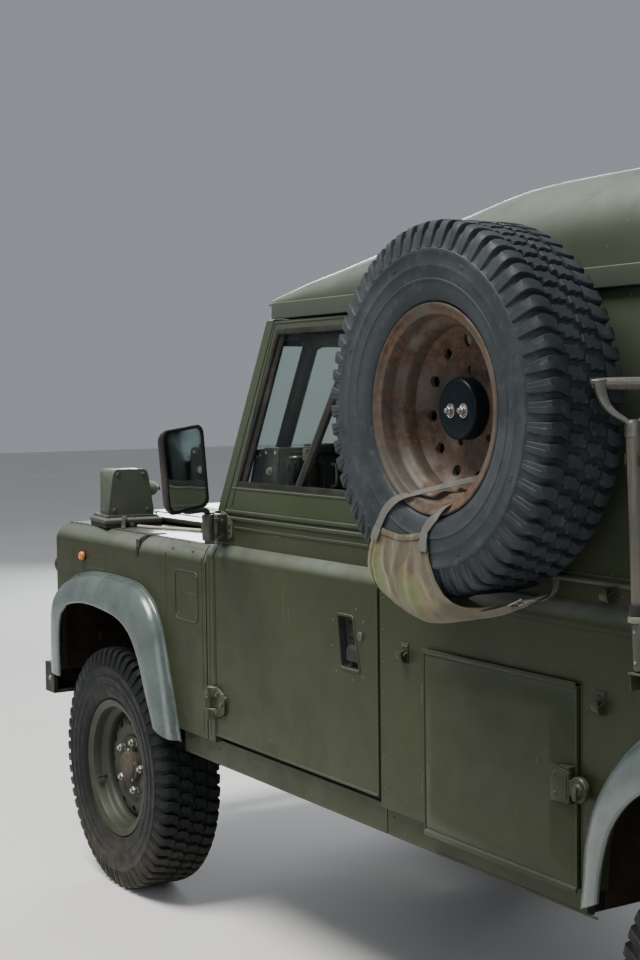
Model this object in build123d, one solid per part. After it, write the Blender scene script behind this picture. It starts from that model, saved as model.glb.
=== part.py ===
from build123d import *
import os
import math

os.makedirs("parts", exist_ok=True)

# ---------------------------------------------------------------------------
# Four-wheel-drive utility car with a hard top, side-mounted spare wheel.
# Frame: +X forward, +Y to the car's left, +Z up, ground at z = 0, millimetres.
# ---------------------------------------------------------------------------

# --- driving dimensions ----------------------------------------------------
WHEELBASE = 2794.0
FX = 1550.0                      # front axle line
RX = FX - WHEELBASE              # rear axle line
TYRE_R = 393.0                   # rolling radius, 7.50 x 16 tyre
TYRE_W = 216.0
BEAD_R = 203.5
LIP_R = 222.5                    # rim flange radius
WHEEL_Y = 775.0                  # wheel centre plane
KING_Y = 670.0                   # kingpin line
BODY_Y = 835.0                   # body side
SILL_Y = 815.0
FLARE_Y = 897.0                  # outer lip of the wheel arch flares
GAP = 5.0                        # shut line round doors and lids

FRONT_X = 2115.0                 # wing and grille front face
BUMPER_X0, BUMPER_X1 = 2190.0, 2272.0
WING_REAR_X = 947.0
DOOR_X1, DOOR_X0 = 893.0, 35.0   # lower door, front and rear edge
TUB_X1, TUB_X0 = 27.0, -2090.0   # rear body
SILL_Z0, SILL_Z1 = 520.0, 592.0
DOOR_Z0 = 612.0
CREASE_Z = 1175.0                # where the side steps in
CAP_Z = 1222.0                   # top of the rear body side
WAIST_Z = 1256.0                 # top of the lower door
WIN_Z0, WIN_Z1 = 1348.0, 1785.0  # side window
GUTTER_Z0, GUTTER_Z1 = 1818.0, 1858.0
WING_Z = 1165.0
BED_Z = 735.0                    # load floor
CAB_Z = 640.0                    # cab floor

SPARE_X, SPARE_Y, SPARE_Z = -486.0, 953.0, 1573.0


def side_y(z):
    """Outer half width of the upper body: the sides lean inwards."""
    return 790.0 - 0.09 * (z - 1348.0)


def screen_x(z):
    """Front face of the raked windscreen frame."""
    return 940.0 - 0.402 * (z - 1270.0)


# rounded shoulder of the body side, from the flat side to the step below the waist: (y, z)
BARREL = [(BODY_Y, 1130.0), (832.7, 1144.0), (826.0, 1157.0), (816.0, 1167.0), (804.0, 1173.0)]


# --- helpers ---------------------------------------------------------------
def box(x0, x1, y0, y1, z0, z1):
    return Pos((x0 + x1) / 2, (y0 + y1) / 2, (z0 + z1) / 2) * Box(
        abs(x1 - x0), abs(y1 - y0), abs(z1 - z0))


def cyl_y(x, z, y0, y1, r):
    return Pos(x, (y0 + y1) / 2, z) * Rot(90, 0, 0) * Cylinder(r, abs(y1 - y0))


def cyl_z(x, y, z0, z1, r):
    return Pos(x, y, (z0 + z1) / 2) * Cylinder(r, abs(z1 - z0))


def cyl_x(y, z, x0, x1, r):
    return Pos((x0 + x1) / 2, y, z) * Rot(0, 90, 0) * Cylinder(r, abs(x1 - x0))


def face3(pts):
    return make_face(Polyline(*pts, close=True))


def prism_y(pts, y0, y1):
    """Outline of (x, z) points, from y0 to y1."""
    return extrude(face3([(x, y0, z) for x, z in pts]), amount=y1 - y0, dir=(0, 1, 0))


def prism_x(pts, x0, x1):
    """Outline of (y, z) points, from x0 to x1."""
    return extrude(face3([(x0, y, z) for y, z in pts]), amount=x1 - x0, dir=(1, 0, 0))


def prism_z(pts, z0, z1):
    """Outline of (x, y) points, from z0 to z1."""
    return extrude(face3([(x, y, z0) for x, y in pts]), amount=z1 - z0, dir=(0, 0, 1))


def rod(p, q, r):
    """Round bar from p to q."""
    p, q = Vector(*p), Vector(*q)
    return Plane(origin=p, z_dir=(q - p)) * Pos(0, 0, (q - p).length / 2) * Cylinder(
        r, (q - p).length)


def rmir(s):
    return mirror(s, about=Plane.XZ)


def both(s):
    return s + rmir(s)


def save(name, shape):
    if isinstance(shape, (list, tuple)):
        shape = Compound(children=list(shape))
    export_step(shape, "parts/" + name + ".step")


def spin(profile, x, z, y_c, side):
    """Turn a (radius, y offset) outline about the wheel's axle.
    side is +1 for the left, -1 for the right; offsets grow outwards."""
    pts = [(x + r, y_c + side * o, z) for r, o in profile]
    return revolve(face3(pts), axis=Axis((x, y_c, z), (0, 1, 0)), revolution_arc=360)


# ---------------------------------------------------------------------------
# Running gear
# ---------------------------------------------------------------------------
# wheel outlines: (radius, offset from the wheel's centre plane, outwards +)
RIM_BARREL = [
    (222.5, -90), (222.5, -84), (206, -80), (203.5, -79), (203.5, -46), (184, -34),
    (184, 34), (203.5, 46), (203.5, 79), (206, 80), (222.5, 84), (222.5, 90),
    (214, 90), (197, 84), (195, 48), (176, 36), (176, -36), (195, -48), (197, -84),
    (214, -90),
]
RIM_DISC = [
    (178, -4), (178, 8), (160, 22), (130, 30), (104, 22), (57, 22), (57, 12),
    (106, 12), (128, 20), (154, 12), (170, -2),
]
TYRE_PROFILE = [
    (204, -79), (204, -47), (204, 47), (204, 79), (224, 82), (226, 92), (262, 101),
    (320, 108), (360, 104), (384, 90), (393, 76), (393, -76), (384, -90),
    (360, -104), (320, -108), (262, -101), (226, -92), (224, -82),
]
HUB_PROFILE = [
    (28.5, -12), (66, -12), (66, 12.5), (57.5, 12.5), (57.5, 40), (44, 46), (44, 58),
    (0.0, 58), (0.0, 50), (28.5, 50),
]
DISC_BRAKE = [(66, -20), (150, -20), (150, -6), (66, -6)]

HOLES = 12


def rim(x, z, y_c, side):
    r = spin(RIM_BARREL, x, z, y_c, side) + spin(RIM_DISC, x, z, y_c, side)
    cut = None
    for i in range(HOLES):
        a = 2 * math.pi * (i + 0.5) / HOLES
        c = cyl_y(x + 146 * math.cos(a), z + 146 * math.sin(a), y_c - 60, y_c + 60, 12)
        cut = c if cut is None else cut + c
    return r - cut


def tyre(x, z, y_c, side):
    return spin(TYRE_PROFILE, x, z, y_c, side)


WHEELS = [  # node suffix, axle x, side
    ("front_left", FX, 1), ("front_right", FX, -1),
    ("rear_left", RX, 1), ("rear_right", RX, -1),
]
for name, x, side in WHEELS:
    yc = side * WHEEL_Y
    hub = spin(HUB_PROFILE, x, TYRE_R, yc, side)
    brake = spin([(r, o) for r, o in DISC_BRAKE], x, TYRE_R, yc, side)
    neck = spin([(64, -21), (66.5, -21), (66.5, 0), (64, 0)], x, TYRE_R, yc, side)
    save("rim_" + name, rim(x, TYRE_R, yc, side) + hub + brake + neck)
    save("tyre_" + name, tyre(x, TYRE_R, yc, side))

# --- front axle: tube, offset gear casing, necks and swivel balls
DIFF_Y = -150.0
front_axle = cyl_y(FX, TYRE_R, -592, 592, 42)
front_axle += Pos(FX, DIFF_Y, TYRE_R) * Sphere(128)
front_axle += both(cyl_y(FX, TYRE_R, 580, 620, 21) + Pos(FX, KING_Y, TYRE_R) * Sphere(56))
front_axle += cyl_x(DIFF_Y, TYRE_R + 10, FX - 190, FX - 90, 45)
front_axle += both(cyl_z(FX, 390, TYRE_R + 20, TYRE_R + 52, 66))
save("front_axle", front_axle)

# --- rear axle
rear_axle = cyl_y(RX, TYRE_R, -700, 700, 42)
rear_axle += Pos(RX, DIFF_Y, TYRE_R) * Sphere(132)
rear_axle += cyl_x(DIFF_Y, TYRE_R + 10, RX + 90, RX + 190, 45)
rear_axle += both(cyl_y(RX, TYRE_R, 700, 750, 60) + cyl_y(RX, TYRE_R, 750, 815, 28.4))
rear_axle += both(cyl_z(RX, 390, TYRE_R + 20, TYRE_R + 52, 66))
save("rear_axle", rear_axle)

# --- steering knuckles: swivel housing round the ball, spindle, steering arm
def knuckle():
    k = Pos(FX, KING_Y, TYRE_R) * Sphere(78)
    k -= Pos(FX, KING_Y, TYRE_R) * Sphere(60)
    k -= box(FX - 100, FX + 100, KING_Y - 120, KING_Y - 30, TYRE_R - 100, TYRE_R + 100)
    k += cyl_z(FX, KING_Y, TYRE_R + 66, TYRE_R + 96, 28)
    k += cyl_z(FX, KING_Y, TYRE_R - 96, TYRE_R - 66, 28)
    k += cyl_y(FX, TYRE_R, KING_Y + 62, KING_Y + 80, 60)
    k += cyl_y(FX, TYRE_R, KING_Y + 79, WHEEL_Y + 45, 28.4)
    k += prism_z([(FX - 165, 615), (FX - 130, 600), (FX + 20, KING_Y - 26),
                  (FX + 20, KING_Y + 26), (FX - 30, KING_Y + 26), (FX - 165, 650)],
                 TYRE_R - 110, TYRE_R - 90)
    return k


save("knuckle_left", knuckle())
save("knuckle_right", rmir(knuckle()))

# --- suspension: coil springs on the axle pads, radius arms, dampers
SPRING_TOP = {FX: 588.0, RX: 598.0}
parts = []
for x in (FX, RX):
    for s in (1, -1):
        parts.append(cyl_z(x, s * 390, TYRE_R + 52.3, SPRING_TOP[x], 58))
arm = prism_y([(FX - 48, 370), (FX - 48, 420), (940, 462), (870, 462), (870, 430), (940, 425)],
              300, 342)
parts += [arm, rmir(arm)]
link = rod((RX + 60, 330, 360), (-420, 330, 440), 20)
parts += [link, rmir(link)]
damper = rod((FX + 75, 460, 400), (FX + 110, 470, 690), 26)
parts += [damper, rmir(damper)]
rdamper = rod((RX - 75, 315, 400), (RX - 60, 315, 690), 26)
parts += [rdamper, rmir(rdamper)]
save("suspension", parts)

# --- transmission: gearbox, transfer box and the two open shafts
gearbox = box(470, 1100, -140, 140, 480, 700) + box(330, 560, -260, 100, 440, 660)
prop = [rod((565, DIFF_Y, 455), (FX - 195, DIFF_Y, 405), 28),
        rod((325, DIFF_Y, 470), (RX + 195, DIFF_Y, 405), 30)]
save("transmission", [gearbox] + prop)
save("engine_block", box(1130, 1900, -245, 245, 620, 1010))

# ---------------------------------------------------------------------------
# Chassis
# ---------------------------------------------------------------------------
RAIL = [  # x, underside z, top z: the rails rise over both axles
    (2190, 540, 640), (1990, 540, 650), (1830, 590, 710), (1270, 590, 710),
    (1090, 470, 615), (-780, 470, 615), (-980, 600, 715), (-1520, 600, 715),
    (-1720, 560, 690), (-2040, 560, 690),
]
rail_pts = [(x, zb) for x, zb, zt in RAIL] + [(x, zt) for x, zb, zt in reversed(RAIL)]
chassis = prism_y(rail_pts, 348, 432)
chassis += rmir(chassis)
CROSS = [  # x0, x1, half width, z0, z1
    (2060, 2130, 348, 550, 630), (240, 310, 348, 500, 600),
    (-640, -560, 348, 500, 600), (-1560, -1500, 348, 625, 700), (-2088, -2040, 688, 560, 700),
]
for x0, x1, hw, z0, z1 in CROSS:
    chassis += box(x0, x1, -hw, hw, z0, z1)
for x0, x1 in ((895, 955), (0, 60), (-700, -650)):      # outriggers to the sills
    chassis += both(box(x0, x1, 432, 793, 520, 590))
# spring cups under the rails
for x in (FX, RX):
    chassis += both(cyl_z(x, 390, SPRING_TOP[x] + 0.3, SPRING_TOP[x] + 30, 62))
save("chassis_frame", chassis)

bumper = box(BUMPER_X0, BUMPER_X1, -815, 815, 532, 640)
bumper -= box(BUMPER_X0 - 5, BUMPER_X1 - 10, -800, 800, 542, 630)
bumper += both(box(BUMPER_X0, BUMPER_X1 - 10, 350, 430, 541, 631))
# towing eyes under the bumper
eye = prism_y([(BUMPER_X1 - 75, 534), (BUMPER_X1 - 10, 534), (BUMPER_X1 - 25, 470),
               (BUMPER_X1 - 60, 470)], 380, 400) - cyl_y(BUMPER_X1 - 43, 494, 370, 410, 13)
bumper += both(eye)
save("front_bumper", bumper)

# tow jaw: two plates with a vertical pin hole
jaw = box(-2120, -2089, -70, 70, 560, 700)
jaw += box(-2250, -2120, -45, 45, 586, 606) + box(-2250, -2120, -45, 45, 654, 674)
jaw -= cyl_z(-2215, 0, 580, 680, 14)
step = box(-2190, -2089, 460, 690, 575, 600) + box(-2190, -2170, 460, 690, 600, 640)
save("tow_hitch", jaw + both(step))

# fuel tank and exhaust
save("fuel_tank", box(110, 520, -755, -445, 470, 615))
pipe = [(1180, 230, 600), (1110, 230, 445), (150, 230, 425), (-900, 230, 425), (-1090, 230, 560),
        (-1420, 240, 560), (-1640, 300, 480), (-2080, 300, 480)]
pipe_wire = FilletPolyline(*pipe, radius=80)
exhaust = sweep(Plane(origin=pipe[0], z_dir=Vector(*pipe[1]) - Vector(*pipe[0])) * Circle(24),
                path=pipe_wire)
exhaust += cyl_x(230, 425, -520, 120, 70)
save("exhaust", exhaust)

# ---------------------------------------------------------------------------
# Front body
# ---------------------------------------------------------------------------
# bulkhead: outer posts, dash panel, footwells' front wall, scuttle box
bulk = box(900, 940, -760, 760, 620, 1150)
bulk += box(860, 898, -752, 752, 1150, 1262) + box(898, 944, -790, 790, 1150, 1262)
bulk += both(prism_x([(760, 592), (BODY_Y, 592)] + BARREL + [(804, 1180), (802, 1262),
                      (760, 1262)], 898, 942))
bulk -= box(840, 930, -735, 735, 1165, 1245)
bulk -= box(890, 950, -288, 288, 610, 762)
save("bulkhead", bulk)

# wings: outer skin with the arch cut, top, front face, inner arch and its rear wall
ARCH_F = [(2060, 560), (2062, 800), (2040, 880), (1985, 935), (1888, 972), (1740, 985),
          (1571, 985), (1440, 970), (1330, 900), (1240, 800), (1190, 700), (1160, 600),
          (1150, 560)]
WING_R = 60.0


def wing_block(x1, y0, y1, z1, r):
    """Block with its top outer edge and its front outer corner rounded."""
    b = box(WING_REAR_X, x1, y0, y1, SILL_Z1, z1)
    b = fillet(b.edges().filter_by(Axis.Z).sort_by(Axis.X)[-2:].sort_by(Axis.Y)[-1:], r - 28)
    return fillet(b.edges().filter_by(Axis.X).sort_by(Axis.Z)[-2:].sort_by(Axis.Y)[-1:], r)


wing = wing_block(FRONT_X, 585, BODY_Y, WING_Z, WING_R)
wing -= Pos(-0.5, 0, -0.5) * wing_block(FRONT_X - 18, 603, BODY_Y - 18, WING_Z - 14, WING_R - 18)
wing -= box(WING_REAR_X - 1, 1108, 584, SILL_Y, 590, WING_Z - 15)
wing -= box(1100, FRONT_X - 20, 584, 620, 590, WING_Z - 15)
wing -= box(FRONT_X - 60, FRONT_X + 5, 584, 800, 590, 700)
wing += box(1720, FRONT_X - 23, 440, 455, 655, 1000)
wing += box(1108, 1470, 440, 455, 655, 1000)
wing += box(1108, 1990, 440, 455, 720, 1000)
wing += box(1108, FRONT_X - 23, 440, 600, 1000, 1012)
wing += box(1108, FRONT_X - 12, 588, 604, 1010, WING_Z - 10)
wing += box(1108, FRONT_X - 12, 600, SILL_Y + 2, 1000, 1012)
wing += box(1108, 1122, 440, SILL_Y + 2, 600, 1004)
wing += box(2062, 2076, 586, SILL_Y + 2, 642, 1004)
wing += box(2062, 2076, 440, 600, 642, 1012) + box(2074, FRONT_X - 23, 440, 600, 700, 1004)
wing -= prism_y(ARCH_F, SILL_Y - 2, BODY_Y + 5)
wing -= box(2000, FRONT_X + 5, 700, BODY_Y + 5, 560, 642)
save("front_wings", both(wing))

# front panel: grille opening with bars, between the wings
panel = box(FRONT_X - 22, FRONT_X, -584, 584, 650, WING_Z - 16)
panel -= box(FRONT_X - 30, FRONT_X + 5, -400, 400, 760, 1090)
for i in range(9):
    z = 780 + i * 36
    panel += box(FRONT_X - 16, FRONT_X - 4, -401, 401, z, z + 12)
panel += box(FRONT_X - 150, FRONT_X - 90, -300, 300, 700, 1080)      # radiator
panel += box(FRONT_X - 120, FRONT_X - 20, -320, -290, 660, 720) + box(
    FRONT_X - 120, FRONT_X - 20, 290, 320, 660, 720)
save("front_panel", panel)

# lamps: headlamps, side lamps, rear lamps
lamps = []
for s in (1, -1):
    lamps.append(cyl_x(s * 690, 940, FRONT_X + 0.3, FRONT_X + 26, 92))
    lamps.append(cyl_x(s * 795, 1010, FRONT_X + 0.3, FRONT_X + 30, 34))
    lamps.append(cyl_x(s * 795, 890, FRONT_X + 0.3, FRONT_X + 30, 34))
    lamps.append(cyl_x(s * 775, 1010, TUB_X0 - 28, TUB_X0 - 0.3, 36))
    lamps.append(cyl_x(s * 775, 905, TUB_X0 - 28, TUB_X0 - 0.3, 36))
save("lamps", lamps)

# bonnet: pressed panel with a raised centre, hinged at its rear edge
bonnet = box(985, FRONT_X, -578, 578, WING_Z + 8, WING_Z + 22)
bonnet += prism_x([(-380, WING_Z + 21), (380, WING_Z + 21), (350, WING_Z + 40),
                   (-350, WING_Z + 40)], 1010, FRONT_X - 60)
bonnet += box(FRONT_X - 14, FRONT_X, -578, 578, WING_Z - 6, WING_Z + 9)
bonnet += both(box(1020, FRONT_X - 40, 540, 560, WING_Z - 30, WING_Z + 9))
save("bonnet", bonnet)

# ---------------------------------------------------------------------------
# Cab
# ---------------------------------------------------------------------------
floor = box(60, 897, -758, 758, CAB_Z - 20, CAB_Z)
floor -= box(300, 900, -270, 270, CAB_Z - 30, CAB_Z + 10)
floor += box(300, 897, -285, -265, CAB_Z - 20, 760) + box(300, 897, 265, 285, CAB_Z - 20, 760)
floor += box(300, 897, -285, 285, 745, 765)
floor += box(62, 560, 290, 750, CAB_Z, 870) - box(80, 540, 310, 730, CAB_Z, 850)
floor += box(62, 560, -750, -290, CAB_Z, 870) - box(80, 540, -730, -310, CAB_Z, 850)
save("cab_floor", floor)

sill = box(DOOR_X0 - 4, 1136, 795, SILL_Y, SILL_Z0, SILL_Z1 - 0.3)
sill += box(62, 892, 758, 796, SILL_Z1 - 14, SILL_Z1)
rsill = box(-709, TUB_X1, 795, SILL_Y, SILL_Z0, SILL_Z1)
save("sills", both(sill) + both(rsill))

# windscreen frame and glass
def screen_pts(z0, z1, t0, t1):
    """Outline in (x, z) of a slab parallel to the screen, t behind its front."""
    return [(screen_x(z0) - t0, z0), (screen_x(z1) - t0, z1), (screen_x(z1) - t1, z1),
            (screen_x(z0) - t1, z0)]


def screen_slab(z0, z1, t0, t1, ya, yb):
    """Slab from half width ya (bottom) to yb (top)."""
    return (prism_y(screen_pts(z0, z1, t0, t1), -900, 900)
            & prism_x([(-ya, z0), (ya, z0), (yb, z1), (-yb, z1)], 300, 1300))


frame = screen_slab(1264, 1816, 0, 43, side_y(1264) - 2, side_y(1816) - 2)
frame -= screen_slab(1330, 1760, -10, 60, side_y(1330) - 52, side_y(1760) - 52)
frame += screen_slab(1325, 1765, 0, 43, 22, 22)
save("windscreen_frame", frame)
wg = screen_slab(1331, 1759, 18, 24, side_y(1330) - 53, side_y(1760) - 53)
wg -= screen_slab(1320, 1770, -5, 60, 23, 23)
save("windscreen_glass", wg)

# doors: a lower door as thick as the real one, stepped in above the crease,
# and a window frame that leans in with the body side
D_IN = 45.0


def door():
    lower = prism_x([(BODY_Y - D_IN, DOOR_Z0), (BODY_Y, DOOR_Z0)] + BARREL + [(804, WAIST_Z),
                     (804 - D_IN, WAIST_Z), (804 - D_IN, CREASE_Z),
                     (BODY_Y - D_IN, CREASE_Z - 30)], DOOR_X0, DOOR_X1)
    lower -= box(DOOR_X0 + 60, DOOR_X1 - 70, BODY_Y - D_IN - 5, BODY_Y - 14, 680, 1110)
    # recess of the outer handle
    lower += box(104, 236, BODY_Y - 33, BODY_Y - 12, 895, 1064)
    lower -= prism_y([(219, 1046), (150, 1046), (119, 913), (202, 913)], BODY_Y - 28, BODY_Y + 5)
    z0, z1 = WAIST_Z, 1812.0
    outline = [(DOOR_X0, z0), (screen_x(z0) - 52, z0), (screen_x(z1) - 52, z1), (DOOR_X0, z1)]
    slab = prism_x([(side_y(z0), z0), (side_y(z1), z1), (side_y(z1) - 34, z1),
                    (side_y(z0) - 34, z0)], -100, 1200)
    upper = prism_y(outline, 600, 900) & slab
    win = [(DOOR_X0 + 42, WIN_Z0), (screen_x(WIN_Z0) - 77, WIN_Z0),
           (screen_x(WIN_Z1) - 75, WIN_Z1), (DOOR_X0 + 42, WIN_Z1)]
    upper -= prism_y(win, 600, 900)
    return lower + upper, win


def door_glass(win):
    g = prism_x([(side_y(WIN_Z0 - 1) - 12, WIN_Z0 - 1), (side_y(WIN_Z1 + 1) - 12, WIN_Z1 + 1),
                 (side_y(WIN_Z1 + 1) - 18, WIN_Z1 + 1), (side_y(WIN_Z0 - 1) - 18, WIN_Z0 - 1)],
                -100, 1200)
    return prism_y(win, 600, 900) & g


dl, win = door()
# hinge leaves at the front edge, outside the skin
HINGE_X, HINGE_Y = 898.0, 850.0
for z0, z1 in ((673, 750), (1184, 1264)):
    if z0 < 900:
        leaf = box(832, 884, BODY_Y - 1, BODY_Y + 7, z0 + 8, z1 - 8)
    else:
        leaf = box(856, 884, 803, 843, z0 + 8, z1 - 8)
    leaf += prism_z([(876, BODY_Y - 1 if z0 < 900 else 830), (884, BODY_Y - 1 if z0 < 900 else 830),
                     (HINGE_X, HINGE_Y - 8), (HINGE_X, HINGE_Y + 8), (882, 842), (876, 841)], z0, z1)
    dl += leaf + cyl_z(HINGE_X, HINGE_Y, z0, z1, 9)
save("door_left", dl)
save("door_right", rmir(dl))
save("door_glass_left", door_glass(win))
save("door_glass_right", rmir(door_glass(win)))

# mirror: arm up from the upper hinge and a turned head
def mirror_unit():
    m = cyl_z(860, 862, 1150, 1300, 9) + rod((860, 862, 1292), (760, 950, 1330), 9)
    head = Box(32, 176, 236)
    head = fillet(head.edges().filter_by(Axis.X), 26)
    m += Pos(752, 1000, 1400) * Rot(0, 0, 22) * head
    m += rod((760, 950, 1330), (768, 985, 1400), 9)
    return m


save("mirror_left", mirror_unit())
save("mirror_right", rmir(mirror_unit()))

# dashboard, steering wheel, seats, roll cage
dash = box(700, 855, -745, 745, 1180, 1250) + box(640, 760, -740, 740, 1060, 1100)
dash += box(740, 760, -740, 740, 1100, 1180) + both(box(740, 898, 700, 745, 1060, 1148))
# cowl over it, instrument housing before the driver and a cabinet beside it
dash += box(700, 820, -640, 636, 1249, 1318) + box(705, 800, -545, -255, 1317, 1402)
dash += box(668, 790, -110, 600, 1317, 1430)
save("dashboard", dash)
WHEEL_C = (560.0, -400.0, 1190.0)
col = rod((610, -400, 1160), (735, -400, 1085), 24)
ring = Plane(origin=WHEEL_C, z_dir=(-0.86, 0, 0.51)) * Torus(200, 13)
spokes = Plane(origin=WHEEL_C, z_dir=(-0.86, 0, 0.51)) * (Box(388, 30, 8) + Box(30, 388, 8) + Cylinder(45, 40))
save("steering_wheel", ring + spokes + rod((566, -400, 1187), (640, -400, 1142), 24))

seats = []
for yc in (-520, 520):
    seats.append(box(115, 575, yc - 210, yc + 210, 872, 985))
    seats.append(Pos(100, yc, 1250) * Rot(0, -10, 0) * Box(90, 420, 520))
save("seats", seats)

cage = []
for s in (1, -1):
    legs = rod((-25, s * 690, 736), (-25, s * 650, 1760), 24)
    front = rod((858, s * 668, 1290), (640, s * 640, 1765), 22)
    cage.append((legs, front))
cg = cage[0][0] + cage[1][0] + cage[0][1] + cage[1][1]
cg += rod((-25, -652, 1750), (-25, 652, 1750), 24)
cg += both(rod((-25, 650, 1752), (640, 640, 1758), 22))
cg += rod((640, -642, 1760), (640, 642, 1760), 22)
save("roll_cage", cg)

# ---------------------------------------------------------------------------
# Rear body
# ---------------------------------------------------------------------------
ARCH_R = [(-884, 520), (-868, 620), (-836, 735), (-800, 560)]
LOCK_X0, LOCK_X1, LOCK_Z0, LOCK_Z1 = -708.0, -164.0, 580.0, 1003.0

def shrink(pts, t):
    """Second edge of a band, t inside the first: each point moved along its normal."""
    out = []
    for i, (x, z) in enumerate(pts):
        (xa, za), (xb, zb) = pts[max(i - 1, 0)], pts[min(i + 1, len(pts) - 1)]
        n = math.hypot(xb - xa, zb - za)
        out.append((x - t * (zb - za) / n, z + t * (xb - xa) / n))
    return out


# rear flares, alike at both ends: distance from the axle line and height of the upper line
# on the body side, then of the lip line
FLARE_R = [
    (503, 552, 420, 590), (496, 612, 414, 640), (489, 695, 403, 690), (466, 772, 382, 748),
    (420, 848, 342, 802), (356, 912, 292, 842), (290, 950, 235, 872), (200, 978, 160, 895),
    (100, 993, 80, 906), (0, 998, 0, 909),
]
FLARE_R = [(RX + a, b, RX + c, d) for a, b, c, d in FLARE_R] + [
    (RX - a, b, RX - c, d) for a, b, c, d in FLARE_R[-2::-1]]
r_up = [(a, b) for a, b, c, d in FLARE_R]
r_lip = [(c, d) for a, b, c, d in FLARE_R]

arch_r = shrink(r_up, 26)
arch_r = [(arch_r[0][0], 500)] + arch_r + [(arch_r[-1][0], 500)]

side = box(TUB_X0, TUB_X1, SILL_Y, BODY_Y, SILL_Z1, 1122)
side += prism_x([(SILL_Y, 1120), (BODY_Y, 1120)] + BARREL + [(804, CAP_Z), (784, CAP_Z),
                 (784, 1160), (SILL_Y, 1140)], TUB_X0, TUB_X1)
side -= prism_y(arch_r, SILL_Y - 2, BODY_Y + 5)
side -= box(LOCK_X0 - GAP, LOCK_X1 + GAP, SILL_Y - 2, BODY_Y + 5, LOCK_Z0 - GAP, LOCK_Z1 + GAP)
side += box(TUB_X1 - 40, TUB_X1, 760, SILL_Y + 1, 592, 1130)              # B post
# wheel box over the rear wheels and the locker behind the door
side += box(TUB_X0 + 20, -150, 460, 474, BED_Z, 1000) + box(TUB_X0 + 20, -150, 460, SILL_Y, 998, 1014)
side += box(-150, -136, 460, SILL_Y, 592, 1014)
side += box(-742, -728, 460, SILL_Y, 592, 995)
side += box(-728, -150, 460, SILL_Y, 592, 600)
side += box(-728, -150, 460, 474, 599, BED_Z)
side += box(TUB_X0 + 20, TUB_X0 + 34, 460, SILL_Y, BED_Z - 15, 995)
tub = both(side)
tub += box(TUB_X0, -136, -SILL_Y + 1, SILL_Y - 1, BED_Z - 15, BED_Z) - both(
    box(TUB_X0 + 34, -150, 474, SILL_Y + 2, BED_Z - 20, BED_Z + 5))
tub += box(-136, TUB_X1 - 10, -759, 759, BED_Z - 15, BED_Z)
tub += box(TUB_X1 - 20, TUB_X1, -760, 760, CAB_Z - 18, 1120)                        # bulkhead behind the seats
tub += both(box(TUB_X0, TUB_X0 + 20, 690, SILL_Y, 592, 1165) + box(TUB_X0, TUB_X0 + 20, 450, 691, 705, 1165)
            + box(TUB_X0, TUB_X0 + 20, 450, 790, 1164, CAP_Z))
tub += box(TUB_X0, TUB_X0 + 20, -692, 692, 705, BED_Z)
save("body_tub", tub)


# locker lids: plate with a raised, bevelled centre
def locker():
    plate = box(LOCK_X0, LOCK_X1, 829, 841, LOCK_Z0, LOCK_Z1)
    a = Plane(origin=(0, 840.5, 0), x_dir=(1, 0, 0), z_dir=(0, 1, 0))
    # (x, z) maps to the plane's (x, -z)
    xc, zc = (LOCK_X0 + LOCK_X1) / 2, (LOCK_Z0 + LOCK_Z1) / 2
    w, h = LOCK_X1 - LOCK_X0, LOCK_Z1 - LOCK_Z0
    s0 = a * Pos(xc, -zc) * Rectangle(w - 16, h - 16)
    s1 = a.offset(22) * Pos(xc, -zc + 2) * Rectangle(w - 130, h - 120)
    return plate + loft([s0, s1], ruled=True)


lid = locker()
lid += box(LOCK_X0 + 6, LOCK_X0 + 60, 841, 858, 758, 836)
save("locker_door_left", lid)
save("locker_door_right", rmir(lid))


# flares: bands from the body side out to the lip
# columns: x, z of the upper line on the body side, then x, z of the lip line
FLARE_F = [
    (2082, 640, 1947, 640), (2084, 760, 1951, 760), (2074, 868, 1935, 845), (2030, 928, 1895, 884),
    (1916, 982, 1830, 906), (1771, 1008, 1718, 919), (1640, 1014, 1600, 916),
    (1500, 1012, 1470, 902), (1384, 999, 1385, 873), (1300, 955, 1330, 829), (1240, 880, 1288, 768),
    (1199, 765, 1252, 694), (1160, 652, 1215, 628), (1128, 556, 1196, 590),
]


f_up = [(a, b) for a, b, c, d in FLARE_F]
f_lip = [(c, d) for a, b, c, d in FLARE_F]
f = loft([face3([(x, BODY_Y + 0.3, z) for x, z in f_up + shrink(f_up, 26)[::-1]]),
          face3([(x, FLARE_Y, z) for x, z in f_lip + shrink(f_lip, 14)[::-1]])], ruled=True)
g = loft([face3([(x, BODY_Y + 0.3, z) for x, z in r_up + shrink(r_up, 26)[::-1]]),
          face3([(x, FLARE_Y, z) for x, z in r_lip + shrink(r_lip, 14)[::-1]])], ruled=True)
save("wheel_arch_flares", [f, rmir(f), g, rmir(g)])

# hard top: leaning side walls, rear frame round the back door
def slab_side(x0, x1, z0, z1, t):
    return prism_x([(side_y(z0), z0), (side_y(z1), z1), (side_y(z1) - t, z1),
                    (side_y(z0) - t, z0)], x0, x1)


walls = both(slab_side(TUB_X0, TUB_X1, CAP_Z, GUTTER_Z0 - 0.5, 28))
RD_Y0, RD_Y1, RD_Z0, RD_Z1 = -450.0, 450.0, 738.0, 1790.0       # back door opening
back = (prism_x([(-side_y(CAP_Z) + 27, CAP_Z), (side_y(CAP_Z) - 27, CAP_Z),
                 (side_y(GUTTER_Z0) - 27, GUTTER_Z0 - 0.5), (-side_y(GUTTER_Z0) + 27, GUTTER_Z0 - 0.5)],
                TUB_X0, TUB_X0 + 28))
back -= box(TUB_X0 - 5, TUB_X0 + 40, RD_Y0, RD_Y1, 1000, RD_Z1)
walls += back
save("hard_top_walls", walls)
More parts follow.
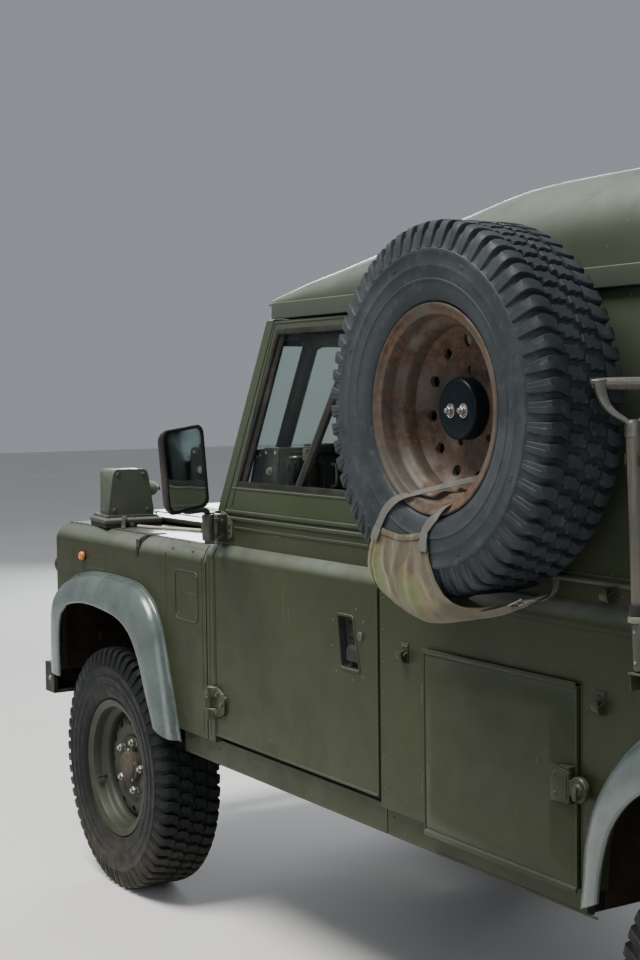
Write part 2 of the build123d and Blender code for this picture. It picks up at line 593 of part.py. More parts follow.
# roof: shell lofted over few sections, rising from the screen to full height
ROOF = [  # x, shoulder z, crown z, side y, shoulder radius
    (712, 1866, 1880, 752, 20), (534, 1880, 1925, 752, 52), (216, 1890, 1990, 757, 110),
    (-350, 1910, 2086, 766, 165), (TUB_X0 - 6, 1910, 2090, 766, 165),
]


def roof_section(x, zs, zc, y, r, inset):
    y -= inset
    z_sh = zc - inset - 12
    r = r if inset == 0 else max(10.0, r - inset * 0.6)
    zb = GUTTER_Z0 if inset == 0 else GUTTER_Z0 - 40
    pts = [(y, zb), (y, z_sh - r), (y - r, z_sh), (0, zc - inset), (-(y - r), z_sh),
           (-y, z_sh - r), (-y, zb)]
    P = [(x, a, b) for a, b in pts]
    k = math.sqrt(0.5)
    mid = (x, y - r + r * k, z_sh - r + r * k)
    mid2 = (x, -(y - r + r * k), z_sh - r + r * k)
    edges = [Line(P[0], P[1]), ThreePointArc(P[1], mid, P[2]), Line(P[2], P[3]),
             Line(P[3], P[4]), ThreePointArc(P[4], mid2, P[5]), Line(P[5], P[6]),
             Line(P[6], P[0])]
    return make_face(edges)


outer = loft([roof_section(*row, 0) for row in ROOF], ruled=True)
rows_in = [list(row) for row in ROOF]
rows_in[0][0] -= 22
rows_in[-1][0] += 28
inner = loft([roof_section(*row, 26) for row in rows_in], ruled=True)
roof = outer - inner
save("roof", roof)

# back door and its glass
rd = box(TUB_X0 - 18, TUB_X0 + 10, RD_Y0 + GAP, RD_Y1 - GAP, RD_Z0 + 12, RD_Z1 - GAP)
rd -= box(TUB_X0 - 30, TUB_X0 + 30, -330, 330, 1290, 1700)
save("rear_door", rd)
save("rear_glass", box(TUB_X0 - 8, TUB_X0 - 2, -330, 330, 1290, 1700))

# ---------------------------------------------------------------------------
# Carried equipment
# ---------------------------------------------------------------------------
spare_rim = rim(SPARE_X, SPARE_Z, SPARE_Y, -1)       # deep side outwards
save("spare_rim", spare_rim)
save("spare_tyre", tyre(SPARE_X, SPARE_Z, SPARE_Y, 1))
carrier = cyl_y(SPARE_X, SPARE_Z, 760, SPARE_Y - 22.3, 48)
carrier += prism_x([(side_y(1420), 1420), (side_y(1420) + 12, 1420), (side_y(1720) + 12, 1720),
                    (side_y(1720), 1720)], SPARE_X - 150, SPARE_X + 150)
carrier -= prism_x([(side_y(1300) + 0.3, 1300), (side_y(1800) + 0.3, 1800), (600, 1800),
                    (600, 1300)], SPARE_X - 300, SPARE_X + 300)
carrier += cyl_y(SPARE_X, SPARE_Z, SPARE_Y - 23, SPARE_Y - 11, 40)
carrier += cyl_y(SPARE_X, SPARE_Z, SPARE_Y - 11.7, SPARE_Y + 14, 62)
save("spare_carrier", carrier)

sling_r0, sling_r1 = 394.5, 402.0
ring1 = cyl_y(SPARE_X, SPARE_Z, 850, 1071, sling_r1) - cyl_y(SPARE_X, SPARE_Z, 840, 1063, sling_r0)
ring1 -= cyl_y(SPARE_X, SPARE_Z, 1060, 1080, 300)
ring1 &= prism_y([(SPARE_X, SPARE_Z), (SPARE_X - 330, SPARE_Z - 480), (SPARE_X + 480, SPARE_Z - 480),
                  (SPARE_X + 480, SPARE_Z - 300)], 800, 1100)
save("spare_sling", ring1)

# long-handled tool on the side: shaft, D handle, steel socket at its foot
tool = cyl_z(-945, 900, 1150, 1560, 17)
tool += Pos(-945, 900, 1586) * Rot(0, 0, 56) * (Box(160, 30, 84) - Box(112, 40, 46))
tool += cyl_z(-947, 900, 1079, 1170, 19.5)
save("stowed_tool", tool)

# antenna box on the left wing: base plate and case
plate = Pos(1788, 702, WING_Z + 20.3) * Rot(0, 0, -9) * Box(200, 200, 40)
case = Pos(1788, 702, WING_Z + 40) * Rot(0, 0, -9) * Pos(0, 0, 75) * Box(130, 150, 150)
save("antenna_box", plate + case)

# antenna lead: lies along the inner edge of the wing top to the scuttle
LEAD_R = 5.0
lead_pts = [(1668, 712), (1600, 702), (1510, 664), (1430, 636), (1330, 614), (1220, 606),
            (1110, 610), (1020, 606), (945.5, 610)]
LEAD_Z = WING_Z + 0.3 + LEAD_R


def arc_radii(pts):
    radii = []
    for a, b, c in zip(pts, pts[1:], pts[2:]):
        u, v = Vector(*b) - Vector(*a), Vector(*c) - Vector(*b)
        turn = math.radians(u.get_angle(v))
        radii.append(0.45 * min(u.length, v.length) / math.tan(turn / 2))
    return radii


path3 = [(x, y, LEAD_Z) for x, y in lead_pts]
rr = arc_radii(path3)
print("antenna lead radii", [round(r) for r in rr])
wire = FilletPolyline(*path3, radius=rr)
start = Plane(origin=path3[0], z_dir=Vector(*path3[1]) - Vector(*path3[0]))
lead = sweep(start * Circle(LEAD_R), path=wire)
save("antenna_lead", lead)
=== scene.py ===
import math
import random

import bmesh
import bpy
import numpy as np
from mathutils import Matrix, Vector, noise


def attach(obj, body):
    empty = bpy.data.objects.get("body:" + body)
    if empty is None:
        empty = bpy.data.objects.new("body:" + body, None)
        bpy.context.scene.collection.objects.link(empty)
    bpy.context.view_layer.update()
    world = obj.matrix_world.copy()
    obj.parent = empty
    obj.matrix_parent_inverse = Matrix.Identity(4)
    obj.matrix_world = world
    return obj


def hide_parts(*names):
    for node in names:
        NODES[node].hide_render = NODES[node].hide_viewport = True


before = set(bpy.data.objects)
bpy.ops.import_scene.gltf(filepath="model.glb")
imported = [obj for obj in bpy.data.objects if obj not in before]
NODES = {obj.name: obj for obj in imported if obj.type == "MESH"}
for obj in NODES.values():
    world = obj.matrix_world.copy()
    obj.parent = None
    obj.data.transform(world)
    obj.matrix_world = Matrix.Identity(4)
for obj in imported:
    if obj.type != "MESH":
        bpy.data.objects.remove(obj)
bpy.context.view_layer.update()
random.seed(7)
RNG = np.random.default_rng(7)

# ---------------------------------------------------------------------------
# Camera at the photograph's viewing angle
# ---------------------------------------------------------------------------
cam = bpy.data.cameras.new("view")
cam.sensor_fit = "AUTO"
cam.sensor_width = 36.0
cam.lens = 59.34
cam.clip_start = 0.05
cam_ob = bpy.data.objects.new("view", cam)
bpy.context.scene.collection.objects.link(cam_ob)
YAW, PITCH, ROLL = 0.55106, 0.05493, -0.01168


def camera_axes(yaw, pitch, roll):
    """View direction, right and up of a camera that looks towards +X and -Y."""
    f = Vector((math.cos(pitch) * math.cos(yaw), -math.cos(pitch) * math.sin(yaw), -math.sin(pitch)))
    r = f.cross(Vector((0, 0, 1))).normalized()
    u = r.cross(f).normalized()
    return f, r * math.cos(roll) + u * math.sin(roll), u * math.cos(roll) - r * math.sin(roll)


f_, r_, u_ = camera_axes(YAW, PITCH, ROLL)
m = Matrix.Identity(4)
for i in range(3):
    m[i][0], m[i][1], m[i][2] = r_[i], u_[i], -f_[i]
m[0][3], m[1][3], m[2][3] = -3.17313, 2.96788, 1.60965
cam_ob.matrix_world = m
bpy.context.scene.camera = cam_ob

# ---------------------------------------------------------------------------
# Materials
# ---------------------------------------------------------------------------


class Net:
    """Short names for building a node tree."""

    def __init__(self, name):
        self.mat = bpy.data.materials.new(name)
        self.mat.use_nodes = True
        self.t = self.mat.node_tree
        self.t.nodes.clear()
        self.out = self.t.nodes.new("ShaderNodeOutputMaterial")
        self.pos = self.t.nodes.new("ShaderNodeTexCoord").outputs["Object"]
        self.geo = None

    def node(self, kind, **values):
        n = self.t.nodes.new("ShaderNode" + kind)
        for k, v in values.items():
            if k in n.inputs:
                self.put(n.inputs[k], v)
            else:
                setattr(n, k, v)
        return n

    def put(self, socket, v):
        if isinstance(v, bpy.types.NodeSocket):
            self.t.links.new(v, socket)
        elif isinstance(v, tuple) and len(v) == 3 and socket.type == "RGBA":
            socket.default_value = (*v, 1.0)
        else:
            socket.default_value = v

    def noise(self, scale, detail=4.0, rough=0.55, at=None, stretch=None, distort=0.0):
        src = at or self.pos
        if stretch:
            mp = self.node("Mapping")
            mp.inputs["Scale"].default_value = stretch
            self.t.links.new(src, mp.inputs["Vector"])
            src = mp.outputs[0]
        n = self.node("TexNoise")
        n.inputs["Scale"].default_value = scale
        n.inputs["Detail"].default_value = detail
        n.inputs["Roughness"].default_value = rough
        n.inputs["Distortion"].default_value = distort
        self.t.links.new(src, n.inputs["Vector"])
        return n.outputs["Fac"]

    def voronoi(self, scale, feature="F1", at=None):
        n = self.node("TexVoronoi")
        n.feature = feature
        n.inputs["Scale"].default_value = scale
        self.t.links.new(at or self.pos, n.inputs["Vector"])
        return n.outputs["Distance"]

    def wave(self, scale, axis="X", distort=0.0):
        n = self.node("TexWave")
        n.bands_direction = axis
        n.inputs["Scale"].default_value = scale
        n.inputs["Distortion"].default_value = distort
        self.t.links.new(self.pos, n.inputs["Vector"])
        return n.outputs["Fac"]

    def ramp(self, fac, lo, hi, a=0.0, b=1.0):
        n = self.node("MapRange")
        n.clamp = True
        n.interpolation_type = "SMOOTHSTEP"
        for i, v in enumerate((lo, hi, a, b)):
            n.inputs[1 + i].default_value = v
        self.t.links.new(fac, n.inputs[0])
        return n.outputs[0]

    def math(self, op, a, b=None):
        n = self.node("Math")
        n.operation = op
        self.put(n.inputs[0], a)
        if b is not None:
            self.put(n.inputs[1], b)
        return n.outputs[0]

    def mix(self, fac, a, b, kind="MIX"):
        n = self.node("Mix")
        n.data_type = "RGBA"
        n.blend_type = kind
        self.put(n.inputs[0], fac)
        self.put(n.inputs[6], a)
        self.put(n.inputs[7], b)
        return n.outputs[2]

    def split(self, vec):
        n = self.node("SeparateXYZ")
        self.t.links.new(vec, n.inputs[0])
        return n.outputs

    def normal(self):
        if self.geo is None:
            self.geo = self.node("NewGeometry")
        return self.split(self.geo.outputs["Normal"])

    def bump(self, height, strength, distance, onto=None):
        n = self.node("Bump")
        n.inputs["Strength"].default_value = strength
        n.inputs["Distance"].default_value = distance
        self.t.links.new(height, n.inputs["Height"])
        if onto is not None:
            self.t.links.new(onto, n.inputs["Normal"])
        return n.outputs[0]

    def principled(self, colour, rough, normal=None, **more):
        n = self.node("BsdfPrincipled")
        self.put(n.inputs["Base Color"], colour)
        self.put(n.inputs["Roughness"], rough)
        if normal is not None:
            self.t.links.new(normal, n.inputs["Normal"])
        for k, v in more.items():
            self.put(n.inputs[k.replace("_", " ")], v)
        self.t.links.new(n.outputs[0], self.out.inputs["Surface"])
        return n


def paint(name, col, rough=0.42, dust=0.36, wear=0.6, flat=0.0):
    """Brushed and sprayed olive paint: cloudy tone, fine grain, road dust low down, scuffs and chips, with painted sky
    light on faces that look up and painted light towards the roof.
    """
    n = Net(name)
    x, y, z = n.split(n.pos)
    cloud = n.noise(1.3, 5.0, 0.6)
    base = n.mix(n.ramp(cloud, 0.3, 0.7), tuple(c * 0.84 for c in col), tuple(c * 1.14 for c in col))
    mott = n.noise(9.0, 6.0, 0.65)
    base = n.mix(n.ramp(mott, 0.45, 0.75, 0.0, 0.35), base, (col[0] * 1.32, col[1] * 1.28, col[2] * 1.2))
    streak = n.noise(1.0, 5.0, 0.6, stretch=(22.0, 22.0, 1.3))
    base = n.mix(n.ramp(streak, 0.52, 0.74, 0.0, 0.22), base, (col[0] * 0.66, col[1] * 0.68, col[2] * 0.66))
    grain = n.noise(420.0, 2.0, 0.5)
    base = n.mix(n.ramp(grain, 0.35, 0.65, 0.0, 0.10), base, (col[0] * 0.6, col[1] * 0.6, col[2] * 0.6))
    # painted light: paler and greyer towards the roof, standing in for the stronger light on the upper body
    base = n.mix(n.ramp(z, 1.12, 1.55, 0.0, 0.62), base, (0.056, 0.069, 0.050))
    # dust: strongest near the sills, broken up, and lying on faces that look up
    low = n.ramp(z, 1.05, 0.48, 0.0, 1.0)
    patch = n.ramp(n.noise(5.0, 9.0, 0.72), 0.42, 0.78)
    dirt = n.math("MULTIPLY", low, patch)
    up = n.ramp(n.normal()[2], 0.55, 0.98)
    settled = n.math("MULTIPLY", up, n.ramp(n.noise(7.0, 8.0, 0.7), 0.35, 0.8, 0.10, 0.55))
    dirt = n.math("MAXIMUM", n.math("MULTIPLY", dirt, 0.30 * dust / 0.5), n.math("MULTIPLY", settled, dust))
    # painted sky light: faces that look up are painted paler, unevenly, in darker and lighter patches, standing in for
    # the sky's highlight on them
    pale = n.mix(n.ramp(n.noise(2.3, 8.0, 0.68, distort=0.6), 0.34, 0.66), (0.118, 0.132, 0.104), (0.200, 0.222, 0.194))
    pale = n.mix(n.ramp(n.noise(26.0, 7.0, 0.75), 0.50, 0.74, 0.0, 0.55), pale, (0.088, 0.098, 0.070))
    pale = n.mix(n.ramp(n.noise(64.0, 4.0, 0.7), 0.60, 0.72, 0.0, 0.40), pale, (0.230, 0.225, 0.185))
    base = n.mix(n.ramp(n.normal()[2], 0.04, 0.62, 0.0, 0.58), base, pale)
    base = n.mix(dirt, base, (0.150, 0.137, 0.098))
    # pale specks and short scratches
    speck = n.ramp(n.noise(150.0, 2.0, 0.5), 0.735, 0.76, 0.0, 1.0)
    speck = n.math("MULTIPLY", speck, n.ramp(n.noise(2.2, 3.0, 0.5), 0.45, 0.62))
    scr = n.ramp(n.noise(1.0, 3.0, 0.6, stretch=(3.0, 3.0, 260.0), distort=0.4), 0.705, 0.73, 0.0, 0.8)
    scr = n.math("MULTIPLY", scr, n.ramp(n.noise(3.1, 2.0, 0.5), 0.54, 0.66))
    scr2 = n.ramp(n.noise(1.0, 3.0, 0.6, stretch=(240.0, 240.0, 5.0), distort=0.5), 0.715, 0.74, 0.0, 0.7)
    scr2 = n.math("MULTIPLY", scr2, n.ramp(n.noise(2.7, 2.0, 0.5), 0.57, 0.67))
    marks = n.math("MULTIPLY", n.math("MAXIMUM", n.math("MAXIMUM", speck, scr), scr2), wear)
    base = n.mix(marks, base, (0.27, 0.29, 0.22))
    r = n.ramp(n.noise(14.0, 5.0, 0.6), 0.3, 0.7, rough - 0.06, rough + 0.09)
    r = n.math("ADD", r, n.math("MULTIPLY", dirt, 0.35))
    dent = n.noise(2.6, 3.0, 0.5)
    b = n.bump(dent, 0.30, 0.010)
    b = n.bump(n.noise(260.0, 3.0, 0.6), 0.10, 0.0006, b)
    b = n.bump(n.math("MULTIPLY", dirt, mott), 0.25, 0.0015, b)
    n.principled(base, r, b, Specular_IOR_Level=0.15, Coat_Weight=n.ramp(n.normal()[2], 0.05, 0.80, 0.0, 0.75), Coat_Roughness=0.30)
    return n.mat


def rubber(name, tone=0.022, dusty=0.5):
    n = Net(name)
    x, y, z = n.split(n.pos)
    # painted sky sheen: the rubber's tone is tinted bluish, standing in for sky reflected on the tyres
    base = n.mix(n.ramp(n.noise(6.0, 6.0, 0.65), 0.3, 0.7), (tone * 0.68, tone * 0.84, tone * 0.98),
                 (tone * 1.32, tone * 1.56, tone * 1.76))
    scuff = n.ramp(n.noise(38.0, 6.0, 0.7), 0.50, 0.78, 0.0, 0.55)
    base = n.mix(scuff, base, (tone * 2.6, tone * 2.9, tone * 3.0))
    dust = n.math("MULTIPLY", n.ramp(n.noise(9.0, 9.0, 0.75), 0.47, 0.80), dusty)
    base = n.mix(dust, base, (0.135, 0.115, 0.082))
    low = n.math("MULTIPLY", n.ramp(z, 0.30, 0.02), n.ramp(n.noise(16.0, 6.0, 0.7), 0.35, 0.65, 0.15, 0.75))
    base = n.mix(n.math("MULTIPLY", low, 0.50), base, (0.13, 0.108, 0.074))
    r = n.ramp(n.noise(24.0, 5.0, 0.6), 0.3, 0.7, 0.50, 0.70)
    b = n.bump(n.noise(180.0, 4.0, 0.65), 0.22, 0.0009)
    n.principled(base, r, b, Specular_IOR_Level=0.17)
    return n.mat


def rusty(name, paint_col, amount=0.55):
    """Bare steel wheel: old paint breaking through to brown rust."""
    n = Net(name)
    big = n.noise(7.0, 8.0, 0.7, distort=0.4)
    fine = n.noise(60.0, 8.0, 0.75)
    rust = n.mix(n.ramp(fine, 0.35, 0.65), (0.036, 0.021, 0.013), (0.108, 0.058, 0.032))
    rust = n.mix(n.ramp(n.noise(18.0, 6.0, 0.6), 0.45, 0.75, 0.0, 0.7), rust, (0.026, 0.021, 0.018))
    old = n.mix(n.ramp(n.noise(12.0, 6.0, 0.6), 0.35, 0.65), tuple(c * 0.8 for c in paint_col), tuple(c * 1.35 for c in paint_col))
    where = n.ramp(big, 0.62 - amount * 0.4, 0.80 - amount * 0.4)
    base = n.mix(where, old, rust)
    pit = n.ramp(n.noise(240.0, 3.0, 0.6), 0.62, 0.72, 0.0, 0.8)
    base = n.mix(pit, base, (0.022, 0.016, 0.012))
    base = n.mix(n.ramp(n.noise(34.0, 7.0, 0.75), 0.62, 0.80, 0.0, 0.45), base, (0.150, 0.128, 0.100))
    b = n.bump(fine, 0.35, 0.0012)
    b = n.bump(n.noise(300.0, 3.0, 0.6), 0.25, 0.0006, b)
    n.principled(base, n.ramp(where, 0.0, 1.0, 0.58, 0.86), b, Metallic=0.0)
    return n.mat


def steel(name, col=(0.30, 0.29, 0.27), rough=0.38, rust=0.25, metal=0.85):
    n = Net(name)
    spot = n.ramp(n.noise(48.0, 7.0, 0.7), 0.72 - rust * 0.5, 0.86 - rust * 0.4)
    base = n.mix(n.ramp(n.noise(20.0, 5.0, 0.6), 0.3, 0.7), tuple(c * 0.72 for c in col), tuple(c * 1.15 for c in col))
    base = n.mix(spot, base, (0.085, 0.043, 0.022))
    b = n.bump(n.noise(220.0, 4.0, 0.6), 0.2, 0.0005)
    n.principled(base, n.ramp(spot, 0.0, 1.0, rough, 0.85), b, Metallic=n.ramp(spot, 0.0, 1.0, metal, 0.0))
    return n.mat


def coated(name, col, rough=0.5, dust=0.4, grain=300.0, bump=0.2, gloss=0.22):
    """Black or grey coated metal and moulded plastic, dulled by dust."""
    n = Net(name)
    base = n.mix(n.ramp(n.noise(5.0, 6.0, 0.6), 0.3, 0.7), tuple(c * 0.75 for c in col), tuple(c * 1.35 for c in col))
    d = n.math("MULTIPLY", n.ramp(n.noise(8.0, 9.0, 0.72), 0.42, 0.80), dust)
    up = n.math("MULTIPLY", n.ramp(n.normal()[2], 0.5, 0.95), dust * 0.5)
    d = n.math("MAXIMUM", d, n.math("MULTIPLY", up, n.ramp(n.noise(21.0, 6.0, 0.7), 0.3, 0.7)))
    base = n.mix(d, base, (0.17, 0.15, 0.11))
    base = n.mix(n.ramp(n.noise(90.0, 3.0, 0.6), 0.70, 0.74, 0.0, 0.35), base, (0.2, 0.2, 0.18))
    r = n.math("ADD", n.ramp(n.noise(25.0, 4.0, 0.6), 0.3, 0.7, rough - 0.07, rough + 0.08), n.math("MULTIPLY", d, 0.3))
    b = n.bump(n.noise(grain, 3.0, 0.6), bump, 0.0006)
    n.principled(base, r, b, Specular_IOR_Level=gloss)
    return n.mat


def fabric(name, colours, scale=3.0, weave=900.0, rough=0.9, worn=0.3):
    """Woven cloth with large soft-edged patches of a few colours."""
    n = Net(name)
    base = colours[0]
    for i, c in enumerate(colours[1:]):
        at = n.node("Mapping")
        at.inputs["Location"].default_value = (3.7 * i + 1.3, 1.9 * i, 2.3 * i)
        n.t.links.new(n.pos, at.inputs["Vector"])
        w = n.ramp(n.noise(scale * (1 + 0.4 * i), 4.0, 0.5, at=at.outputs[0], distort=0.7), 0.50, 0.53)
        base = n.mix(w, base, c)
    base = n.mix(n.ramp(n.noise(30.0, 7.0, 0.7), 0.45, 0.8, 0.0, worn), base, (0.30, 0.25, 0.17))
    wx = n.wave(weave, "X", 0.3)
    wz = n.wave(weave, "Z", 0.3)
    w = n.math("ADD", wx, wz)
    # painted shade: the low parts of the weave are darkened
    base = n.mix(n.ramp(w, 0.3, 1.7, 0.25, 0.0), base, (0.02, 0.02, 0.015))
    b = n.bump(w, 0.35, 0.0006)
    b = n.bump(n.noise(45.0, 5.0, 0.6), 0.25, 0.0020, b)
    n.principled(base, rough, b, Sheen_Weight=0.25)
    return n.mat


def glazing(name, tint=(0.80, 0.88, 0.83)):
    """Clear pane: lamps reach through it, sight bends through its real wall."""
    n = Net(name)
    smear = n.noise(5.0, 7.0, 0.7)
    p = n.principled(tint, n.ramp(smear, 0.35, 0.8, 0.01, 0.06), n.bump(n.noise(2.0, 2.0, 0.5), 0.03, 0.004),
                     Transmission_Weight=1.0)
    p.inputs["IOR"].default_value = 1.18
    clear = n.node("BsdfTransparent")
    clear.inputs["Color"].default_value = (0.80, 0.86, 0.82, 1.0)
    path = n.node("LightPath")
    both = n.node("MixShader")
    n.t.links.new(path.outputs["Is Shadow Ray"], both.inputs[0])
    n.t.links.new(p.outputs[0], both.inputs[1])
    n.t.links.new(clear.outputs[0], both.inputs[2])
    n.t.links.new(both.outputs[0], n.out.inputs["Surface"])
    return n.mat


def lens(name, col, rough=0.12):
    n = Net(name)
    base = n.mix(n.ramp(n.noise(30.0, 5.0, 0.6), 0.4, 0.75, 0.0, 0.35), col, (0.20, 0.16, 0.11))
    b = n.bump(n.wave(130.0, "Z", 0.0), 0.25, 0.0008)
    n.principled(base, n.ramp(n.noise(40.0, 4.0, 0.6), 0.3, 0.7, rough, rough + 0.15), b, Coat_Weight=0.6)
    return n.mat


def mirror_face(name):
    n = Net(name)
    smear = n.noise(11.0, 7.0, 0.7)
    base = n.mix(n.ramp(smear, 0.45, 0.8, 0.0, 0.25), (0.62, 0.68, 0.72), (0.42, 0.40, 0.34))
    n.principled(base, n.ramp(smear, 0.35, 0.8, 0.03, 0.20), Metallic=1.0)
    return n.mat


def ash(name):
    """Weathered shaft wood with grain along Z."""
    n = Net(name)
    grain = n.noise(1.0, 7.0, 0.7, stretch=(160.0, 160.0, 5.0))
    base = n.mix(n.ramp(grain, 0.3, 0.7), (0.050, 0.047, 0.034), (0.108, 0.102, 0.078))
    base = n.mix(n.ramp(n.noise(11.0, 6.0, 0.7), 0.45, 0.75, 0.0, 0.6), base, (0.042, 0.042, 0.032))
    n.principled(base, 0.68, n.bump(grain, 0.35, 0.0010))
    return n.mat


OLIVE = (0.0300, 0.0360, 0.0172)
M = {
    "paint": paint("olive_paint", OLIVE, rough=0.36, dust=0.18),
    "case": paint("case_paint", (0.060, 0.067, 0.050), rough=0.42, dust=0.12, wear=0.4),
    "hinge": coated("hinge_paint", (0.058, 0.062, 0.050), 0.42, 0.12, 300.0, 0.15, 0.4),
    # painted sky reflection: the roof gets a paler, bluer copy of the olive paint
    "roof": paint("olive_roof_sky_lit", (0.0450, 0.0560, 0.0410), rough=0.34, dust=0.26, wear=0.4),
    "flare": coated("flare_plastic", (0.068, 0.088, 0.084), 0.24, 0.05, 500.0, 0.04, 0.75),
    # painted light and shade: the road tyres get a very dark rubber tone for the shade on them, the spare a lighter one
    # for the sky light on it
    "tyre": rubber("tyre_rubber_shaded", 0.0076, 0.09),
    "spare": rubber("spare_rubber_sky_lit", 0.0300, 0.06),
    # painted shade: the road wheels' olive paint is darker than the body's, standing in for the shade they sit in
    "rim": rusty("rim_olive_shaded", (0.020, 0.023, 0.012), 0.16),
    "rust": rusty("rim_brown", (0.050, 0.040, 0.030), 0.58),
    "black": coated("black_steel", (0.010, 0.010, 0.010), 0.46, 0.26),
    "plastic": coated("black_plastic", (0.020, 0.020, 0.021), 0.52, 0.25, 700.0, 0.3),
    "seal": coated("seal_rubber", (0.012, 0.012, 0.012), 0.62, 0.20),
    "grime": coated("axle_grime", (0.045, 0.038, 0.030), 0.72, 0.75, 120.0, 0.5),
    "engine": coated("engine_casting", (0.060, 0.062, 0.064), 0.60, 0.45, 160.0, 0.5),
    "steel": steel("worn_steel"),
    "pressed": steel("pressed_steel", (0.135, 0.135, 0.120), 0.46, 0.30, 0.55),
    "zinc": steel("zinc_steel", (0.40, 0.40, 0.37), 0.42, 0.15, 0.7),
    "dark": steel("dark_steel", (0.085, 0.080, 0.074), 0.50, 0.35, 0.6),
    "pipe": steel("exhaust_steel", (0.16, 0.13, 0.105), 0.62, 0.50, 0.5),
    "cloth": fabric("seat_cloth", [(0.030, 0.033, 0.030), (0.038, 0.041, 0.036)], 4.0, 700.0, 0.85, 0.12),
    "canvas": fabric("sling_canvas", [(0.092, 0.066, 0.0125), (0.080, 0.094, 0.0125), (0.056, 0.040, 0.009)], 5.0, 620.0, 0.75, 0.10),
    "webbing": fabric("webbing", [(0.072, 0.072, 0.062), (0.050, 0.050, 0.043)], 20.0, 900.0, 0.85, 0.14),
    "glass": glazing("window_glass"),
    "mirror": mirror_face("mirror_face"),
    "amber": lens("amber_lens", (0.62, 0.14, 0.012)),
    "red": lens("red_lens", (0.36, 0.016, 0.012)),
    "white": lens("clear_lens", (0.55, 0.56, 0.54), 0.06),
    "wood": ash("shaft_wood"),
    "cream": coated("lead_sheath", (0.36, 0.34, 0.27), 0.55, 0.45, 400.0, 0.2),
    "dome": coated("insulator_paint", (0.150, 0.160, 0.122), 0.45, 0.20, 300.0, 0.1),
    "cap": coated("cap_black", (0.0035, 0.0075, 0.0100), 0.36, 0.02, 700.0, 0.15, 0.12),
    # painted shade: the arch mud is near black, partly its own dark colour and partly standing in for the shade inside
    # the arches
    "mud": coated("caked_mud_shaded", (0.0200, 0.0145, 0.0095), 0.88, 0.10, 60.0, 0.8, 0.05),
    "strapping": fabric("dark_webbing", [(0.030, 0.031, 0.022), (0.020, 0.021, 0.015)], 20.0, 900.0, 0.85, 0.10),
    "redpaint": coated("red_paint", (0.45, 0.030, 0.018), 0.45, 0.10),
}

# ---------------------------------------------------------------------------
# Mesh building. Sizes below are written in millimetres.
# ---------------------------------------------------------------------------
MM = 0.001
PIECES = []


def commit(bm, name, body, mats, angle=34.0, merge=True, keep=False):
    """Turns a millimetre bmesh into a finished piece on a body."""
    if merge:
        bmesh.ops.remove_doubles(bm, verts=bm.verts, dist=0.02)
    bmesh.ops.recalc_face_normals(bm, faces=bm.faces)
    me = bpy.data.meshes.new(name)
    bm.to_mesh(me)
    bm.free()
    me.transform(Matrix.Scale(MM, 4))
    for k in (mats if isinstance(mats, (list, tuple)) else [mats]):
        me.materials.append(M[k])
    me.polygons.foreach_set("use_smooth", [True] * len(me.polygons))
    me.set_sharp_from_angle(angle=math.radians(angle))
    me.update()
    ob = bpy.data.objects.new(name, me)
    bpy.context.scene.collection.objects.link(ob)
    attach(ob, body)
    PIECES.append(ob)
    return ob


def set_mat(bm, before, index):
    for f in bm.faces:
        if f not in before:
            f.material_index = index


def new():
    return bmesh.new()


def frame_for(d):
    """Rotation that turns +Z to direction d."""
    d = Vector(d).normalized()
    return d.to_track_quat("Z", "Y").to_matrix().to_4x4()


def place(p, d):
    return Matrix.Translation(Vector(p)) @ frame_for(d)


def rbox(bm, x0, x1, y0, y1, z0, z1, r=1.5, seg=2, T=None, mat=0):
    """Box with all edges rounded by r."""
    res = bmesh.ops.create_cube(bm, size=1.0)
    vs = res["verts"]
    for v in vs:
        v.co = Vector(((x0 + x1) / 2 + v.co.x * abs(x1 - x0), (y0 + y1) / 2 + v.co.y * abs(y1 - y0),
                       (z0 + z1) / 2 + v.co.z * abs(z1 - z0)))
    faces = set(f for v in vs for f in v.link_faces)
    if r > 0:
        r = min(r, 0.49 * min(abs(x1 - x0), abs(y1 - y0), abs(z1 - z0)))
        es = list(set(e for v in vs for e in v.link_edges))
        out = bmesh.ops.bevel(bm, geom=es, offset=r, segments=seg, profile=0.5, affect="EDGES", clamp_overlap=False)
        faces = set(f for f in out["faces"]) | set(f for f in faces if f.is_valid)
        vs = list(set(v for f in faces for v in f.verts))
    for f in faces:
        f.material_index = mat
    if T is not None:
        for v in vs:
            v.co = T @ v.co
    return vs


def prism(bm, pts, axis, a, b, r=0.0, seg=2, T=None, mat=0):
    """Outline extruded from a to b along axis. pts are (y, z), (x, z) or (x, y) for axis x, y, z."""
    def put(p, q):
        return {"x": (q, p[0], p[1]), "y": (p[0], q, p[1]), "z": (p[0], p[1], q)}[axis]
    lo = [bm.verts.new(put(p, a)) for p in pts]
    hi = [bm.verts.new(put(p, b)) for p in pts]
    n = len(pts)
    faces = [bm.faces.new(lo), bm.faces.new(hi[::-1])]
    for i in range(n):
        faces.append(bm.faces.new((lo[i], hi[i], hi[(i + 1) % n], lo[(i + 1) % n])))
    vs = lo + hi
    if r > 0:
        es = [e for e in set(e for v in vs for e in v.link_edges)
              if len(e.link_faces) == 2 and e.calc_face_angle(0) > 0.45]
        bmesh.ops.recalc_face_normals(bm, faces=faces)
        out = bmesh.ops.bevel(bm, geom=es, offset=r, segments=seg, profile=0.5, affect="EDGES", clamp_overlap=True)
        fs = set(out["faces"]) | set(f for f in faces if f.is_valid)
        vs = list(set(v for f in fs for v in f.verts))
        faces = list(fs)
    for f in faces:
        if f.is_valid:
            f.material_index = mat
    if T is not None:
        for v in vs:
            v.co = T @ v.co
    return vs


